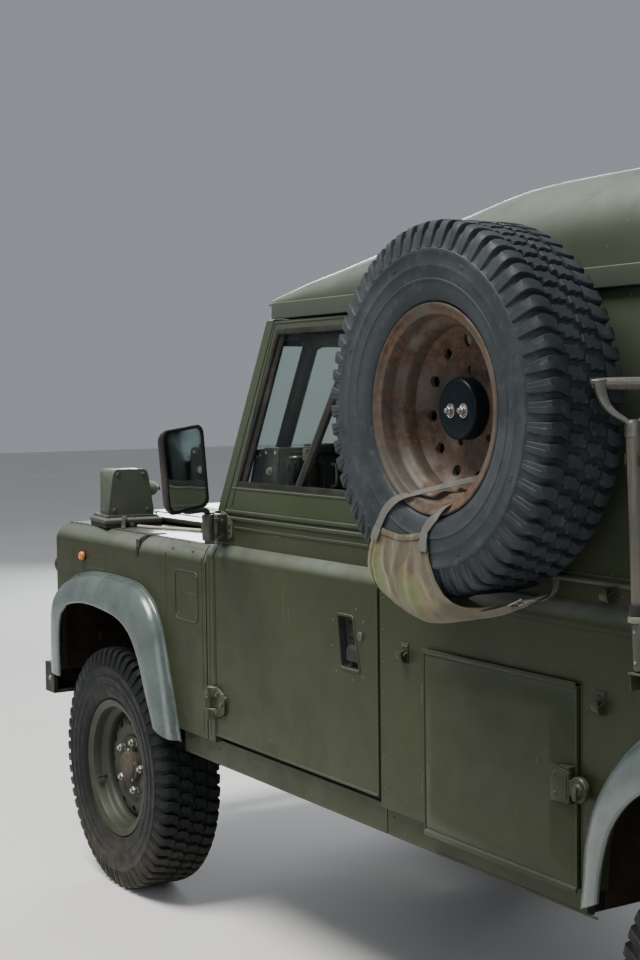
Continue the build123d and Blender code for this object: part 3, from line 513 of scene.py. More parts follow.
def lathe(bm, prof, T, seg=48, closed=False, mat=0, start=0.0):
    """Turns a (radius, height) outline about the z axis of T."""
    rings = []
    for r, h in prof:
        if r < 1e-6:
            rings.append([bm.verts.new(T @ Vector((0, 0, h)))])
        else:
            rings.append([bm.verts.new(T @ Vector((r * math.cos(start + 2 * math.pi * i / seg),
                                                   r * math.sin(start + 2 * math.pi * i / seg), h)))
                          for i in range(seg)])
    pairs = list(zip(rings, rings[1:])) + ([(rings[-1], rings[0])] if closed else [])
    faces = []
    for a, b in pairs:
        for i in range(seg):
            j = (i + 1) % seg
            if len(a) == 1 and len(b) == 1:
                continue
            if len(a) == 1:
                faces.append(bm.faces.new((a[0], b[i], b[j])))
            elif len(b) == 1:
                faces.append(bm.faces.new((a[i], b[0], a[j])))
            else:
                faces.append(bm.faces.new((a[i], b[i], b[j], a[j])))
    for f in faces:
        f.material_index = mat
    return rings


def cyl(bm, p, q, r, r2=None, seg=24, bev=0.8, mat=0):
    """Round bar from p to q with softened ends."""
    p, q = Vector(p), Vector(q)
    L = (q - p).length
    r2 = r if r2 is None else r2
    b = min(bev, r * 0.45, r2 * 0.45, L * 0.4)
    k = 0.3
    prof = [(0, 0), (r - b, 0), (r - b * k, b * k), (r, b), (r2, L - b), (r2 - b * k, L - b * k), (r2 - b, L), (0, L)]
    return lathe(bm, prof, place(p, q - p), seg, mat=mat)


def hexbolt(bm, p, d, r=6.5, h=4.5, washer=True, mat=0):
    T = place(p, d)
    if washer:
        lathe(bm, [(0, 0), (r * 1.45, 0), (r * 1.5, 0.6), (r * 1.45, 1.2), (0, 1.2)], T, 18, mat=mat)
    lathe(bm, [(0, 1.0), (r, 1.0), (r, h), (r * 0.86, h + 0.8), (0, h + 0.8)], T, 6, mat=mat, start=random.random() * 3)


def rivet(bm, p, d, r=3.6, h=1.5, mat=0):
    T = place(p, d)
    lathe(bm, [(r, -0.6), (r, 0.0), (r * 0.82, h * 0.62), (r * 0.45, h * 0.93), (0, h)], T, 10, mat=mat)


def screw(bm, p, d, r=5.0, h=2.0, mat=0):
    T = place(p, d)
    lathe(bm, [(r, -0.8), (r, 0.3), (r * 0.8, h * 0.75), (r * 0.35, h), (r * 0.3, h * 0.45), (0, h * 0.4)], T, 14, mat=mat)


def catmull(pts, per=8, closed=False):
    """Smooth chain through the points."""
    P = [Vector(p) for p in pts]
    n = len(P)
    out = []
    idx = range(n if closed else n - 1)
    for i in idx:
        p0 = P[(i - 1) % n] if (closed or i > 0) else P[i] * 2 - P[i + 1]
        p1, p2 = P[i], P[(i + 1) % n]
        p3 = P[(i + 2) % n] if (closed or i + 2 < n) else p2 * 2 - p1
        for k in range(per):
            t = k / per
            a = (2 * p1 + (p2 - p0) * t + (2 * p0 - 5 * p1 + 4 * p2 - p3) * t * t
                 + (3 * p1 - p0 - 3 * p2 + p3) * t * t * t) * 0.5
            out.append(a)
    if not closed:
        out.append(P[-1])
    return out


def sweep(bm, pts, section, up=None, closed=False, mat=0, caps=True, twist=None):
    """Carries a closed (u, v) section along points. v stays near the up direction where given."""
    P = [Vector(p) for p in pts]
    n = len(P)
    rings = []
    prev = None
    for i in range(n):
        a = P[(i - 1) % n] if (closed or i > 0) else P[i]
        b = P[(i + 1) % n] if (closed or i < n - 1) else P[i]
        t = (b - a).normalized()
        if up is not None:
            ref = Vector(up[i] if isinstance(up, list) else up)
            v = (ref - t * ref.dot(t)).normalized()
        elif prev is None:
            ref = Vector((0, 0, 1)) if abs(t.z) < 0.9 else Vector((1, 0, 0))
            v = (ref - t * ref.dot(t)).normalized()
        else:
            v = (prev - t * prev.dot(t)).normalized()
        prev = v
        u = v.cross(t)
        sec = section[i] if isinstance(section[0], list) else section
        rings.append([bm.verts.new(P[i] + u * s[0] + v * s[1]) for s in sec])
    m = len(rings[0])
    faces = []
    rng = n if closed else n - 1
    for i in range(rng):
        A, B = rings[i], rings[(i + 1) % n]
        for k in range(m):
            faces.append(bm.faces.new((A[k], A[(k + 1) % m], B[(k + 1) % m], B[k])))
    if caps and not closed:
        faces.append(bm.faces.new(rings[0][::-1]))
        faces.append(bm.faces.new(rings[-1]))
    for f in faces:
        f.material_index = mat
    return rings


def circle(r, seg=12):
    return [(r * math.cos(2 * math.pi * i / seg), r * math.sin(2 * math.pi * i / seg)) for i in range(seg)]


def rrect(w, h, r, seg=4):
    """Rounded rectangle outline, centred."""
    out = []
    for cx, cy, a0 in ((w / 2 - r, h / 2 - r, 0), (-w / 2 + r, h / 2 - r, 90), (-w / 2 + r, -h / 2 + r, 180), (w / 2 - r, -h / 2 + r, 270)):
        for i in range(seg + 1):
            a = math.radians(a0 + 90 * i / seg)
            out.append((cx + r * math.cos(a), cy + r * math.sin(a)))
    return out


def grid(bm, rows, closed_u=False, closed_v=False, mat=0):
    """Quad surface over rows of points."""
    V = [[bm.verts.new(p) for p in row] for row in rows]
    nu, nv = len(V), len(V[0])
    for i in range(nu if closed_u else nu - 1):
        for j in range(nv if closed_v else nv - 1):
            a, b = V[i][j], V[(i + 1) % nu][j]
            c, d = V[(i + 1) % nu][(j + 1) % nv], V[i][(j + 1) % nv]
            f = bm.faces.new((a, b, c, d))
            f.material_index = mat
    return V


def shell(bm, rows, inner, mat=0, closed_v=False):
    """Closed thin wall between two point grids of the same size."""
    A = grid(bm, rows, mat=mat, closed_v=closed_v)
    B = grid(bm, inner, mat=mat, closed_v=closed_v)
    nu, nv = len(A), len(A[0])
    for i in range(nu - 1):
        if not closed_v:
            for j in (0, nv - 1):
                bm.faces.new((A[i][j], B[i][j], B[i + 1][j], A[i + 1][j])).material_index = mat
    for j in range(nv if closed_v else nv - 1):
        k = (j + 1) % nv
        for i in (0, nu - 1):
            bm.faces.new((A[i][j], A[i][k], B[i][k], B[i][j])).material_index = mat
    return A, B


def mirrored(bm):
    """Adds nothing, only flips the whole bmesh to the other side of the car."""
    for v in bm.verts:
        v.co.y = -v.co.y
    bmesh.ops.reverse_faces(bm, faces=bm.faces)
    return bm


# ---------------------------------------------------------------------------
# The antenna lead: control points of the route, as on the part
# ---------------------------------------------------------------------------
LEAD_Z = 1165.0 + 0.3 + 5.0
LEAD = [(1668, 712), (1600, 702), (1510, 664), (1430, 636), (1330, 614), (1220, 606),
        (1110, 610), (1020, 606), (945.5, 610)]
cu = bpy.data.curves.new("antenna_cable", "CURVE")
cu.dimensions = "3D"
cu.bevel_depth = 0.005
cu.bevel_resolution = 5
cu.use_fill_caps = True
sp = cu.splines.new("NURBS")
sp.points.add(len(LEAD) - 1)
for p, (x, y) in zip(sp.points, LEAD):
    p.co = (x * MM, y * MM, LEAD_Z * MM, 1.0)
sp.order_u = 3
sp.use_endpoint_u = True
sp.resolution_u = 12
cu.materials.append(M["cream"])
cable = bpy.data.objects.new("antenna_cable", cu)
bpy.context.scene.collection.objects.link(cable)
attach(cable, "body")
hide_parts("antenna_lead")

# ---------------------------------------------------------------------------
# Wheels. Local frame: z is the axle, outwards +.
# ---------------------------------------------------------------------------
TR = 393.0
PITCHES = 58


def polar(u, R, o, th0):
    a = th0 + u / TR
    return Vector((R * math.cos(a), R * math.sin(a), o))


def tyre_carcass(bm):
    half = [(204, 70), (204.5, 79.0), (208, 80.5), (214, 81.2), (222, 82.2), (225.5, 85.5), (227.5, 90.0),
            (231, 93.6), (236, 95.2), (238.4, 96.9), (246, 99.0), (258, 101.2), (266, 102.6), (268, 104.2),
            (270.5, 104.4), (272.5, 103.2), (284, 104.5), (294, 105.3), (296, 106.5), (298.5, 106.6), (300.5, 105.6),
            (312, 106.0), (322, 106.1), (325, 107.5), (328, 107.9), (332, 107.2), (335, 104.4), (344, 101.4),
            (356, 97.8), (366, 94.4), (374, 89.0), (378.5, 80.0), (380.2, 64.0), (381.2, 36.0), (381.6, 12.0)]
    prof = [(r, o) for r, o in half] + [(r, -o) for r, o in half[::-1]]
    lathe(bm, prof, Matrix.Identity(4), 116, closed=True)


def shoulder_lug(bm, th0, side):
    S = [(50.0, 392.4, 13.6, -8.5, 0.0), (58, 392.9, 13.8, -3.5, 0.0), (68, 392.8, 13.8, 1.5, 0.0), (80, 391.8, 13.4, 2.5, 0.0),
         (90, 388.5, 13.0, 1.0, 0.0), (96.2, 382.0, 12.6, 0.0, 1.2), (100.4, 370, 12.2, 0.0, 2.6), (103.4, 356, 11.6, 0.0, 2.6),
         (105.8, 343, 11.0, 0.0, 2.6), (106.9, 335, 10.6, 0.0, 2.0)]
    B = [(51, 379), (58, 379), (68, 379), (79, 378), (86, 375), (90.5, 370), (94, 361), (97.5, 349), (101, 339), (103, 332)]
    rings = []
    for (o, R, hw, uc, st), (bo, bR) in zip(S, B):
        top = Vector((o, R, 0))
        base = Vector((bo, bR, 0))
        d = (top - base).normalized()
        def at(u, depth, P=top, D=d, b=base, s=side, c=uc):
            q = b if depth is None else P - D * depth
            return polar((u + c) * (1 if s > 0 else -1), q.y, q.x * s, th0)
        m = 1.5
        sec = [at(-hw - 1.4, None), at(-hw, 1.3), at(-hw + 1.1, 0), at(m - 0.6, 0), at(m + 0.6, st), at(hw - 1.1, st),
               at(hw, st + 1.3), at(hw + 1.4, None)]
        rings.append([bm.verts.new(p) for p in sec])
    n = len(rings[0])
    for A, C in zip(rings, rings[1:]):
        for k in range(n):
            bm.faces.new((A[k], A[(k + 1) % n], C[(k + 1) % n], C[k]))
    bm.faces.new(rings[0][::-1])
    bm.faces.new(rings[-1])


CENTRE = [(-15, 4), (1, 3), (3.5, 11), (14.5, 13.5), (12, 28), (16, 31), (15.5, 45), (-1, 46.5), (-3, 37), (-13.5, 34), (-11, 20), (-16, 16)]


def centre_block(bm, th0, side):
    rings = []
    cu_ = sum(p[0] for p in CENTRE) / len(CENTRE)
    co_ = sum(p[1] for p in CENTRE) / len(CENTRE)
    for R, grow in ((379.5, 1.6), (391.7, 0.0), (393.0, -1.1)):
        ring = []
        for u, o in CENTRE:
            du, do = u - cu_, o - co_
            L = math.hypot(du, do)
            uu, oo = u + du / L * grow, o + do / L * grow
            drop = 0.0011 * oo * oo
            ring.append(bm.verts.new(polar(uu * (1 if side > 0 else -1), R - drop, oo * side, th0)))
        rings.append(ring)
    n = len(CENTRE)
    for A, C in zip(rings, rings[1:]):
        for k in range(n):
            bm.faces.new((A[k], A[(k + 1) % n], C[(k + 1) % n], C[k]))
    bm.faces.new(rings[-1])


def tyre_mesh():
    bm = new()
    tyre_carcass(bm)
    for i in range(PITCHES):
        a = 2 * math.pi * i / PITCHES
        h = math.pi / PITCHES
        shoulder_lug(bm, a, 1)
        shoulder_lug(bm, a + h, -1)
        centre_block(bm, a + h, 1)
        centre_block(bm, a, -1)
    # small moulded ribs on the side wall
    for i in range(8):
        a = 2 * math.pi * (i + 0.3) / 8
        for s in (1, -1):
            T = Matrix.Rotation(a, 4, "Z")
            rbox(bm, 308, 316, -7, 7, 103.5 * s, 106.9 * s, 0.7, 1, T)
    return bm


def rim_mesh(deep):
    """Steel wheel: rolled rim, dished disc with a ring of round holes. deep turns the disc's hollow side out."""
    bm = new()
    d = -1.0 if deep else 1.0
    lip = [(203.8, 46), (203.8, 78), (207, 80.5), (214, 81.6), (221.0, 83.0), (222.8, 85.5), (222.5, 88.5), (220, 90.0),
           (216.5, 89.6), (213.6, 87.4), (210, 85.0), (204, 83.6), (199.0, 82.0), (197.0, 78.0), (196.6, 56), (194.5, 49.5),
           (188, 44), (180.5, 39), (177.2, 34)]
    barrel = [(184, 34)] + lip + [(176.5, 24), (176.4, 0), (176.5, -24)] + [(r, -o) for r, o in lip[::-1]] + [(184, -34)]
    outer = [(177.4, 3), (174.5, 10), (168.5, 17), (159, 23.6), (148, 28.0), (137, 30.0), (126, 29.4), (116, 26.6), (109, 23.4),
             (104, 22.0), (100, 22.6), (97, 25.2), (93, 26.4), (72, 26.4), (66, 24.6), (62, 22.6), (57.6, 22.0)]
    inner = [(57.6, 13.5), (66, 14.5), (71, 17), (92, 17), (98, 14.0), (109, 13.6), (121, 18), (134, 20.5), (146, 18.8),
             (157, 13.8), (167, 6.5), (173, -1.0), (177.4, -6)]
    lathe(bm, [(r, o * d) for r, o in outer + inner], Matrix.Identity(4), 96, closed=True)
    bmesh.ops.recalc_face_normals(bm, faces=bm.faces)
    me = bpy.data.meshes.new("rim_blank")
    bm.to_mesh(me)
    bm.free()
    ob = bpy.data.objects.new("rim_blank", me)
    bpy.context.scene.collection.objects.link(ob)
    cb = new()
    for i in range(12):
        a = 2 * math.pi * (i + 0.5) / 12
        cyl(cb, (146 * math.cos(a), 146 * math.sin(a), 12 * d - 40), (146 * math.cos(a), 146 * math.sin(a), 12 * d + 40), 12.5, bev=0.01, seg=20)
    if deep:
        for i in range(5):
            a = 2 * math.pi * i / 5 + 0.35
            cyl(cb, (82.5 * math.cos(a), 82.5 * math.sin(a), 12 * d - 40), (82.5 * math.cos(a), 82.5 * math.sin(a), 12 * d + 40), 8.5, bev=0.01, seg=16)
    bmesh.ops.recalc_face_normals(cb, faces=cb.faces)
    mc = bpy.data.meshes.new("rim_cut")
    cb.to_mesh(mc)
    cb.free()
    cut = bpy.data.objects.new("rim_cut", mc)
    bpy.context.scene.collection.objects.link(cut)
    mod = ob.modifiers.new("holes", "BOOLEAN")
    mod.operation = "DIFFERENCE"
    mod.solver = "EXACT"
    mod.object = cut
    dg = bpy.context.evaluated_depsgraph_get()
    out = bpy.data.meshes.new_from_object(ob.evaluated_get(dg))
    res = bmesh.new()
    res.from_mesh(out)
    lathe(res, barrel, Matrix.Identity(4), 96, closed=True)
    for o in (ob, cut):
        bpy.data.objects.remove(o)
    for q in (me, mc, out):
        bpy.data.meshes.remove(q)
    return res


def tube_valve(bm):
    cyl(bm, (188, 12, 44), (182, 12, 70), 4.2, seg=10, bev=0.5)
    cyl(bm, (182, 12, 70), (180, 12, 82), 5.2, seg=10, bev=1.0)


def hub_mesh(bm, mat_hub, mat_steel, front):
    I = Matrix.Identity(4)
    lathe(bm, [(28.6, -12), (66, -12), (66, 20.5), (62.5, 22.5), (57.5, 23.0), (57.3, 38.0), (55.0, 41.0), (47.5, 42.2), (47.0, 46.0),
               (45.0, 50.0), (40.0, 53.6), (30.0, 56.4), (16.0, 57.8), (0, 58.2)], I, 48, mat=mat_hub)
    lathe(bm, [(28.6, -12), (28.5, 49), (0, 49.5)], I, 32, mat=mat_hub)
    for i in range(5):
        a = 2 * math.pi * (i + 0.5) / 5
        T = Matrix.Translation((51.5 * math.cos(a), 51.5 * math.sin(a), 39.0)) @ Matrix.Rotation(i * 0.7, 4, "Z")
        lathe(bm, [(0, 0), (5.4, 0), (5.4, 5.0), (4.8, 5.8), (0, 5.8)], T, 6, mat=mat_steel)
    for i in range(5):
        a = 2 * math.pi * i / 5 + 0.35
        c = (82.5 * math.cos(a), 82.5 * math.sin(a))
        T = Matrix.Translation((c[0], c[1], 0)) @ Matrix.Rotation(i * 1.1, 4, "Z")
        lathe(bm, [(0, 18), (14.6, 25.6), (15.2, 28.4), (13.6, 30.0)], T, 20, mat=mat_steel)
        lathe(bm, [(13.6, 29.0), (13.6, 41.5), (12.2, 43.6), (8.6, 44.2), (8.4, 40.0), (0, 40.0)], T, 6, mat=mat_steel)
        lathe(bm, [(7.6, 38), (7.6, 49.0), (6.6, 50.4), (0, 50.6)], T, 14, mat=mat_steel)
    # brake disc behind the wheel
    lathe(bm, [(66, -19.5), (149, -19.5), (150, -18.6), (150, -7.4), (149, -6.5), (66, -6.5)], I, 64, closed=True, mat=mat_steel)


def wheel_frame(x, yc, z, side, turn):
    R = Matrix.Rotation(-math.pi / 2 * side, 4, "X")
    return Matrix.Translation((x, yc, z)) @ R @ Matrix.Rotation(turn, 4, "Z")


def stamp(bm, T):
    b = bm.copy()
    for v in b.verts:
        v.co = T @ v.co
    return b


tyre_src = tyre_mesh()
rim_src = rim_mesh(False)
tube_valve(rim_src)
before = set(rim_src.faces)
hub_mesh(rim_src, 1, 2, True)
FX, RX = 1550.0, -1244.0
WHEELS = [("front_left", FX, 1, 0.31), ("front_right", FX, -1, 1.13), ("rear_left", RX, 1, 0.77), ("rear_right", RX, -1, 2.02)]
for name, x, side, turn in WHEELS:
    T = wheel_frame(x, side * 775.0, 393.0, side, turn)
    t = commit(stamp(tyre_src, T), "tread_tyre_" + name, "wheel_" + name, "tyre", angle=30)
    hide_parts("tyre_" + name)
    b = stamp(rim_src, T)
    # dab of red paint on one hub bolt
    dab = T @ Matrix.Rotation(2 * math.pi * 0.5 / 5, 4, "Z") @ Matrix.Translation((51.5, 0, 45.2))
    lathe(b, [(5.9, -3.0), (6.4, 0.2), (4.4, 1.6), (0, 1.9)], dab, 12, mat=3)
    r = commit(b, "steel_rim_" + name, "wheel_" + name, ["rim", "grime", "steel", "redpaint"], angle=32)
    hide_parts("rim_" + name)

SPX, SPY, SPZ = -486.0, 953.0, 1573.0
TS = wheel_frame(SPX, SPY, SPZ, 1, 0.12)
s = commit(stamp(tyre_src, TS), "tread_tyre_spare", "body", "spare", angle=30)
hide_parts("spare_tyre")
tyre_src.free()
rim_src.free()
deep_src = rim_mesh(True)
tube_valve(deep_src)
s = commit(stamp(deep_src, wheel_frame(SPX, SPY, SPZ, 1, math.radians(98.0 + 13.5))), "steel_rim_spare", "body", "rust", angle=32)
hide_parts("spare_rim")
deep_src.free()

# carrier of the spare: backing plate, posts and the black clamp cap with two bolts
bm = new()
TC = wheel_frame(SPX, SPY, SPZ, 1, 0.0)
lathe(bm, [(0, -205), (70, -205), (74, -200), (74, -196), (52, -188), (48, -180), (48, -30), (56, -24), (62, -23.4), (0, -23.4)], TC, 40, mat=0)
y_in = 760.0
rbox(bm, SPX - 150, SPX + 150, 776, 792, SPZ - 150, SPZ + 150, 6, 2, mat=0)
rbox(bm, SPX - 190, SPX + 190, 768, 784, SPZ - 60, SPZ - 20, 5, 2, mat=0)
rbox(bm, SPX - 190, SPX + 190, 768, 784, SPZ + 20, SPZ + 60, 5, 2, mat=0)
for dx in (-1, 1):
    for dz in (-1, 1):
        hexbolt(bm, (SPX + dx * 128, 792, SPZ + dz * 128), (0, 1, 0), 9, 7, mat=2)
lathe(bm, [(0, -12.0), (63, -12.0), (65.6, -10.0), (66.0, 18.0), (65.0, 22.0), (62.0, 25.0), (56.0, 26.4), (0, 26.8)], TC, 56, mat=3)
for dx in (18, -27):
    T = TC @ Matrix.Translation((dx, 4.0, 26.4))
    lathe(bm, [(15.5, -0.4), (15.5, 1.6), (13.6, 2.2), (12.0, 1.0)], T, 28, mat=2)
    lathe(bm, [(12.2, 0.4), (11.4, 2.4), (0, 2.4)], T, 28, mat=2)
    lathe(bm, [(9.4, 1.2), (9.4, 8.6), (8.4, 9.8), (0, 9.8)], T, 6, mat=2, start=0.4)
    lathe(bm, [(5.0, 9.0), (5.0, 14.2), (4.2, 15.2), (0, 15.2)], T, 14, mat=2)
c = commit(bm, "spare_mounting", "body", ["paint", "plastic", "steel", "cap"])
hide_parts("spare_carrier")

# ---------------------------------------------------------------------------
# Wheel arch flares: smooth eyebrows from the body side out to a rolled lip
# ---------------------------------------------------------------------------
# columns: x, z on the body side, then x, z of the lip line
FLARE_F = [
    (2082, 640, 1947, 640), (2084, 760, 1951, 760), (2074, 868, 1935, 845), (2030, 928, 1895, 884),
    (1916, 982, 1830, 906), (1771, 1008, 1718, 919), (1640, 1014, 1600, 916),
    (1500, 1012, 1470, 902), (1384, 999, 1385, 873), (1300, 955, 1330, 829), (1240, 880, 1288, 768),
    (1199, 765, 1252, 694), (1160, 652, 1215, 628), (1128, 556, 1196, 590),
]
# the rear ones are alike at both ends: distance from the axle line
FLARE_R = [
    (503, 552, 420, 590), (496, 612, 414, 640), (489, 695, 403, 690), (466, 772, 382, 748),
    (420, 848, 342, 802), (356, 912, 292, 842), (290, 950, 235, 872), (200, 978, 160, 895),
    (100, 993, 80, 906), (0, 998, 0, 909),
]
FLARE_R = [(RX + a, b, RX + c, d) for a, b, c, d in FLARE_R] + [(RX - a, b, RX - c, d) for a, b, c, d in FLARE_R[-2::-1]]


def flare(bm, table, y0=835.5, y1=896.6):
    up = catmull([(a, 0, b) for a, b, c, d in table], 7)
    lip = catmull([(c, 0, d) for a, b, c, d in table], 7)
    rows, inner = [], []
    n = len(up)
    K = 12
    for i in range(n):
        U, Lp = up[i], lip[i]
        d = (Lp - U)
        D = d.length
        dn = d.normalized()
        row, inn = [], []
        row.append((U.x - dn.x * 9, y0, U.z - dn.z * 9))
        row.append((U.x - dn.x * 9, y0 + 2.6, U.z - dn.z * 9))
        row.append((U.x - dn.x * 7.5, y0 + 3.4, U.z - dn.z * 7.5))
        row.append((U.x - dn.x * 1.5, y0 + 3.6, U.z - dn.z * 1.5))
        for k in range(K + 1):
            a = math.pi / 2 * k / K
            w = 1 - math.cos(a)
            y = y0 + 5.0 + (y1 - y0 - 5.0) * math.sin(a) ** 0.92
            row.append((U.x + d.x * w * 0.93, y, U.z + d.z * w * 0.93))
        # rolled lip
        e = 0.93
        row.append((U.x + d.x * (e + (1 - e) * 0.5), y1 + 0.4, U.z + d.z * (e + (1 - e) * 0.5)))
        row.append((U.x + d.x, y1 - 0.8, U.z + d.z))
        row.append((Lp.x + dn.x * 2.6, y1 - 4.2, Lp.z + dn.z * 2.6))
        row.append((Lp.x + dn.x * 2.2, y1 - 9.0, Lp.z + dn.z * 2.2))
        row.append((Lp.x - dn.x * 1.5, y1 - 11.0, Lp.z - dn.z * 1.5))
        for k in range(K, -1, -1):
            a = math.pi / 2 * k / K
            w = 1 - math.cos(a)
            y = y0 + 5.0 + (y1 - y0 - 11.0) * math.sin(a) ** 0.92 - 4.5
            row.append((U.x + d.x * w * 0.90 + dn.x * 5, max(y, y0 + 0.2), U.z + d.z * w * 0.90 + dn.z * 5))
        rows.append(row)
    V = grid(bm, rows, closed_v=True)
    bm.faces.new(V[0][::-1])
    bm.faces.new(V[-1])
    # screws along the root flange
    for i in range(4, n - 4, 13):
        U, Lp = up[i], lip[i]
        dn = (Lp - U).normalized()
        screw(bm, (U.x - dn.x * 4.2, y0 + 3.2, U.z - dn.z * 4.2), (0, 1, 0), 3.6, 1.6, mat=1)


for nm, table in (("front", FLARE_F), ("rear", FLARE_R)):
    for side in ("left", "right"):
        bm = new()
        flare(bm, table)
        if side == "right":
            mirrored(bm)
        fl = commit(bm, "flare_" + nm + "_" + side, "body", ["flare", "dark"], angle=40)
        if nm == "front" and side == "left":
            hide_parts("wheel_arch_flares")

# ---------------------------------------------------------------------------
# Roof: shell rising behind the screen, on a drip gutter that runs right round
# ---------------------------------------------------------------------------
ROOF_X = [  # x, crown z, side y, shoulder radius
    (709, 1869, 749, 4), (706, 1875, 749.5, 9), (699, 1882, 750, 14), (684, 1888, 750.5, 19), (655, 1896, 751, 26),
    (600, 1909, 752, 39), (534, 1925, 752, 52), (400, 1952, 754, 80), (216, 1989, 757, 110), (140, 2006, 758, 120),
    (40, 2023, 760, 130), (-60, 2038, 762, 138), (-160, 2056, 763, 148), (-250, 2073, 764, 157), (-330, 2084, 765, 163),
    (-420, 2089, 766, 165), (-560, 2090, 766, 165), (-1000, 2090, 766, 165), (-1500, 2090, 766, 165),
    (-1960, 2090, 766, 165), (-2050, 2088.5, 766, 164), (-2078, 2083, 765, 160), (-2090, 2073, 763, 154), (-2094, 2058, 760, 146),
]


def roof_profile(x, zc, y, r, inset):
    """Half outline from the gutter up to the crown."""
    ys = y - 5.0 - inset
    zt = zc - inset
    zs = zt - 12.0
    rr_ = max(3.0, r - inset * 0.6)
    zb = min(1862.0 - inset, zs - rr_ - 0.5)
    rr_ = min(rr_, max(2.0, zs - zb))
    out = [(ys, zb), (ys, (zb + zs - rr_) / 2), (ys, zs - rr_)]
    for k in range(1, 11):
        a = math.pi / 2 * k / 10
        out.append((ys - rr_ * (1 - math.cos(a)), zs - rr_ * (1 - math.sin(a))))
    y0 = ys - rr_
    for k in range(1, 9):
        t = k / 8
        out.append((y0 * (1 - t), zs + (zt - zs) * (1 - (1 - t) ** 2)))
    return out


bm = new()
rows, inner = [], []
for x, zc, y, r in ROOF_X:
    for L, inset in ((rows, 0.0), (inner, 22.0)):
        half_ = roof_profile(x, zc, y, r, inset)
        xx = x if inset == 0 else max(min(x, 690.0), -2066.0)
        full = [(xx, b, c) for b, c in half_] + [(xx, -b, c) for b, c in half_[-2::-1]]
        L.append(full)
front_cap = [(712.0, b, 1862.0) for (a, b, c) in rows[0]]
A, B = grid(bm, rows), grid(bm, inner)
# front and rear walls, closed down to the gutter
for row, src in ((A[0], 1), (A[-1], -1)):
    low = [bm.verts.new((v.co.x, v.co.y, 1860.0)) for v in row]
    for i in range(len(row) - 1):
        bm.faces.new((row[i], row[i + 1], low[i + 1], low[i]))
# drip gutter: lip section carried round the car
G = [(0.0, 1817.8), (13.0, 1817.8), (14.6, 1819.2), (15.0, 1822.0), (15.0, 1857.0), (14.4, 1860.6), (12.4, 1862.2), (10.4, 1861.6),
     (9.2, 1858.6), (2.6, 1858.6), (0.0, 1862.6), (-12.0, 1862.6), (-12.0, 1817.8)]
path = []
for k in range(9):
    a = math.pi / 2 * k / 8
    path.append((664.0 + 34.0 * math.sin(a), 706.0 + 34.0 * math.cos(a), 0.0))
path = [(600.0, 739.0, 0.0), (640.0, 739.8, 0.0)] + path
path += [(x, -y, 0) for x, y, z in path[::-1]]
left = [(-2046.0, 753.0), (-1500.0, 753.0), (-1000, 753.0), (-560, 753.0), (-420, 753.0), (-250, 751.0), (-60, 748.5), (140, 745.0), (400, 741.0)]
path = [(x, y, 0) for x, y in left] + path + [(x, -y, 0) for x, y in left[::-1]]
rear = [(-2060.0, -751.0), (-2072.0, -744.0), (-2079.0, -730.0), (-2081.0, -700.0), (-2081.0, 0.0), (-2081.0, 700.0), (-2079, 730), (-2072, 744), (-2060, 751)]
path += [(x, y, 0) for x, y in rear]
P = [Vector(p) for p in path]
rings = []
n_ = len(P)
for i in range(n_):
    t = (P[(i + 1) % n_] - P[i - 1]).normalized()
    out_ = Vector((t.y, -t.x, 0))
    if out_.dot(P[i] - Vector((-700.0, 0, 0))) < 0:
        out_ = -out_
    rings.append([bm.verts.new(P[i] + out_ * a + Vector((0, 0, b))) for a, b in G])
for i in range(n_):
    Aq, Bq = rings[i], rings[(i + 1) % n_]
    for k in range(len(G)):
        bm.faces.new((Aq[k], Aq[(k + 1) % len(G)], Bq[(k + 1) % len(G)], Bq[k]))
r_ = commit(bm, "roof_shell", "body", "roof", angle=38)
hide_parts("roof")

# ---------------------------------------------------------------------------
# Canvas sling under the spare, hung from two webbing straps through the wheel
# ---------------------------------------------------------------------------
TYRE_SIDE = [(222.0, 84.0), (232.0, 95.0), (246.0, 99.0), (270.0, 104.6), (300.0, 106.8), (326.0, 108.2), (335.0, 107.2), (356.0, 104.0),
             (372.0, 100.5), (384.0, 96.0), (391.0, 88.0), (394.4, 78.0), (394.8, 60.0), (394.8, -60.0), (394.4, -78.0), (391.0, -88.0),
             (384.0, -96.0)]


def over_tyre(s, lift=0.0):
    """Point on the wrap line at length s from the first profile point: radius and offset, pushed out by lift."""
    P = TYRE_SIDE
    for (r0, o0), (r1, o1) in zip(P, P[1:]):
        L = math.hypot(r1 - r0, o1 - o0)
        if s <= L:
            t = s / L
            nr, no = (o0 - o1) / L, (r1 - r0) / L
            return r0 + (r1 - r0) * t + nr * lift, o0 + (o1 - o0) * t + no * lift
        s -= L
    nr, no = (P[-2][1] - P[-1][1]), (P[-1][0] - P[-2][0])
    L = math.hypot(nr, no)
    return P[-1][0] + nr / L * lift, P[-1][1] + no / L * lift - s


def rim_of(angle, r, o):
    """Wheel-centred polar point: angle from straight down, positive to the front."""
    a = math.radians(angle)
    return Vector((SPX + r * math.sin(a), SPY + o, SPZ - r * math.cos(a)))


# outline of the cloth, from the upper edge on the side wall (v = 0) to its end behind the tread (v = 1)
NU, NV = 44, 56
VK = [0.0, 0.08, 0.18, 0.30, 0.40, 0.47, 0.54, 0.62, 0.74, 0.88, 1.0]
FRONT_A = [34.4, 34.2, 33.8, 33.0, 31.6, 29.5, 27.5, 25.0, 21.5, 18.0, 15.0]
REAR_A = [1.1, -1.2, -3.2, -7.0, -11.5, -14.5, -17.0, -19.5, -22.5, -24.5, -25.0]
CUT_O = [107.0, 109.0, 111.0, 112.5, 113.0, 112.0, 106.0, 92.0, 55.0, -10.0, -70.0]
CUT_R = [0.0, 0.0, 0.0, 0.0, 392.0, 409.0, 423.0, 431.0, 436.0, 434.0, 424.0]


def top_r(u):
    return float(np.interp(u, [0, 0.2, 0.5, 0.75, 1.0], [309.0, 297.0, 281.0, 266.0, 254.0]))


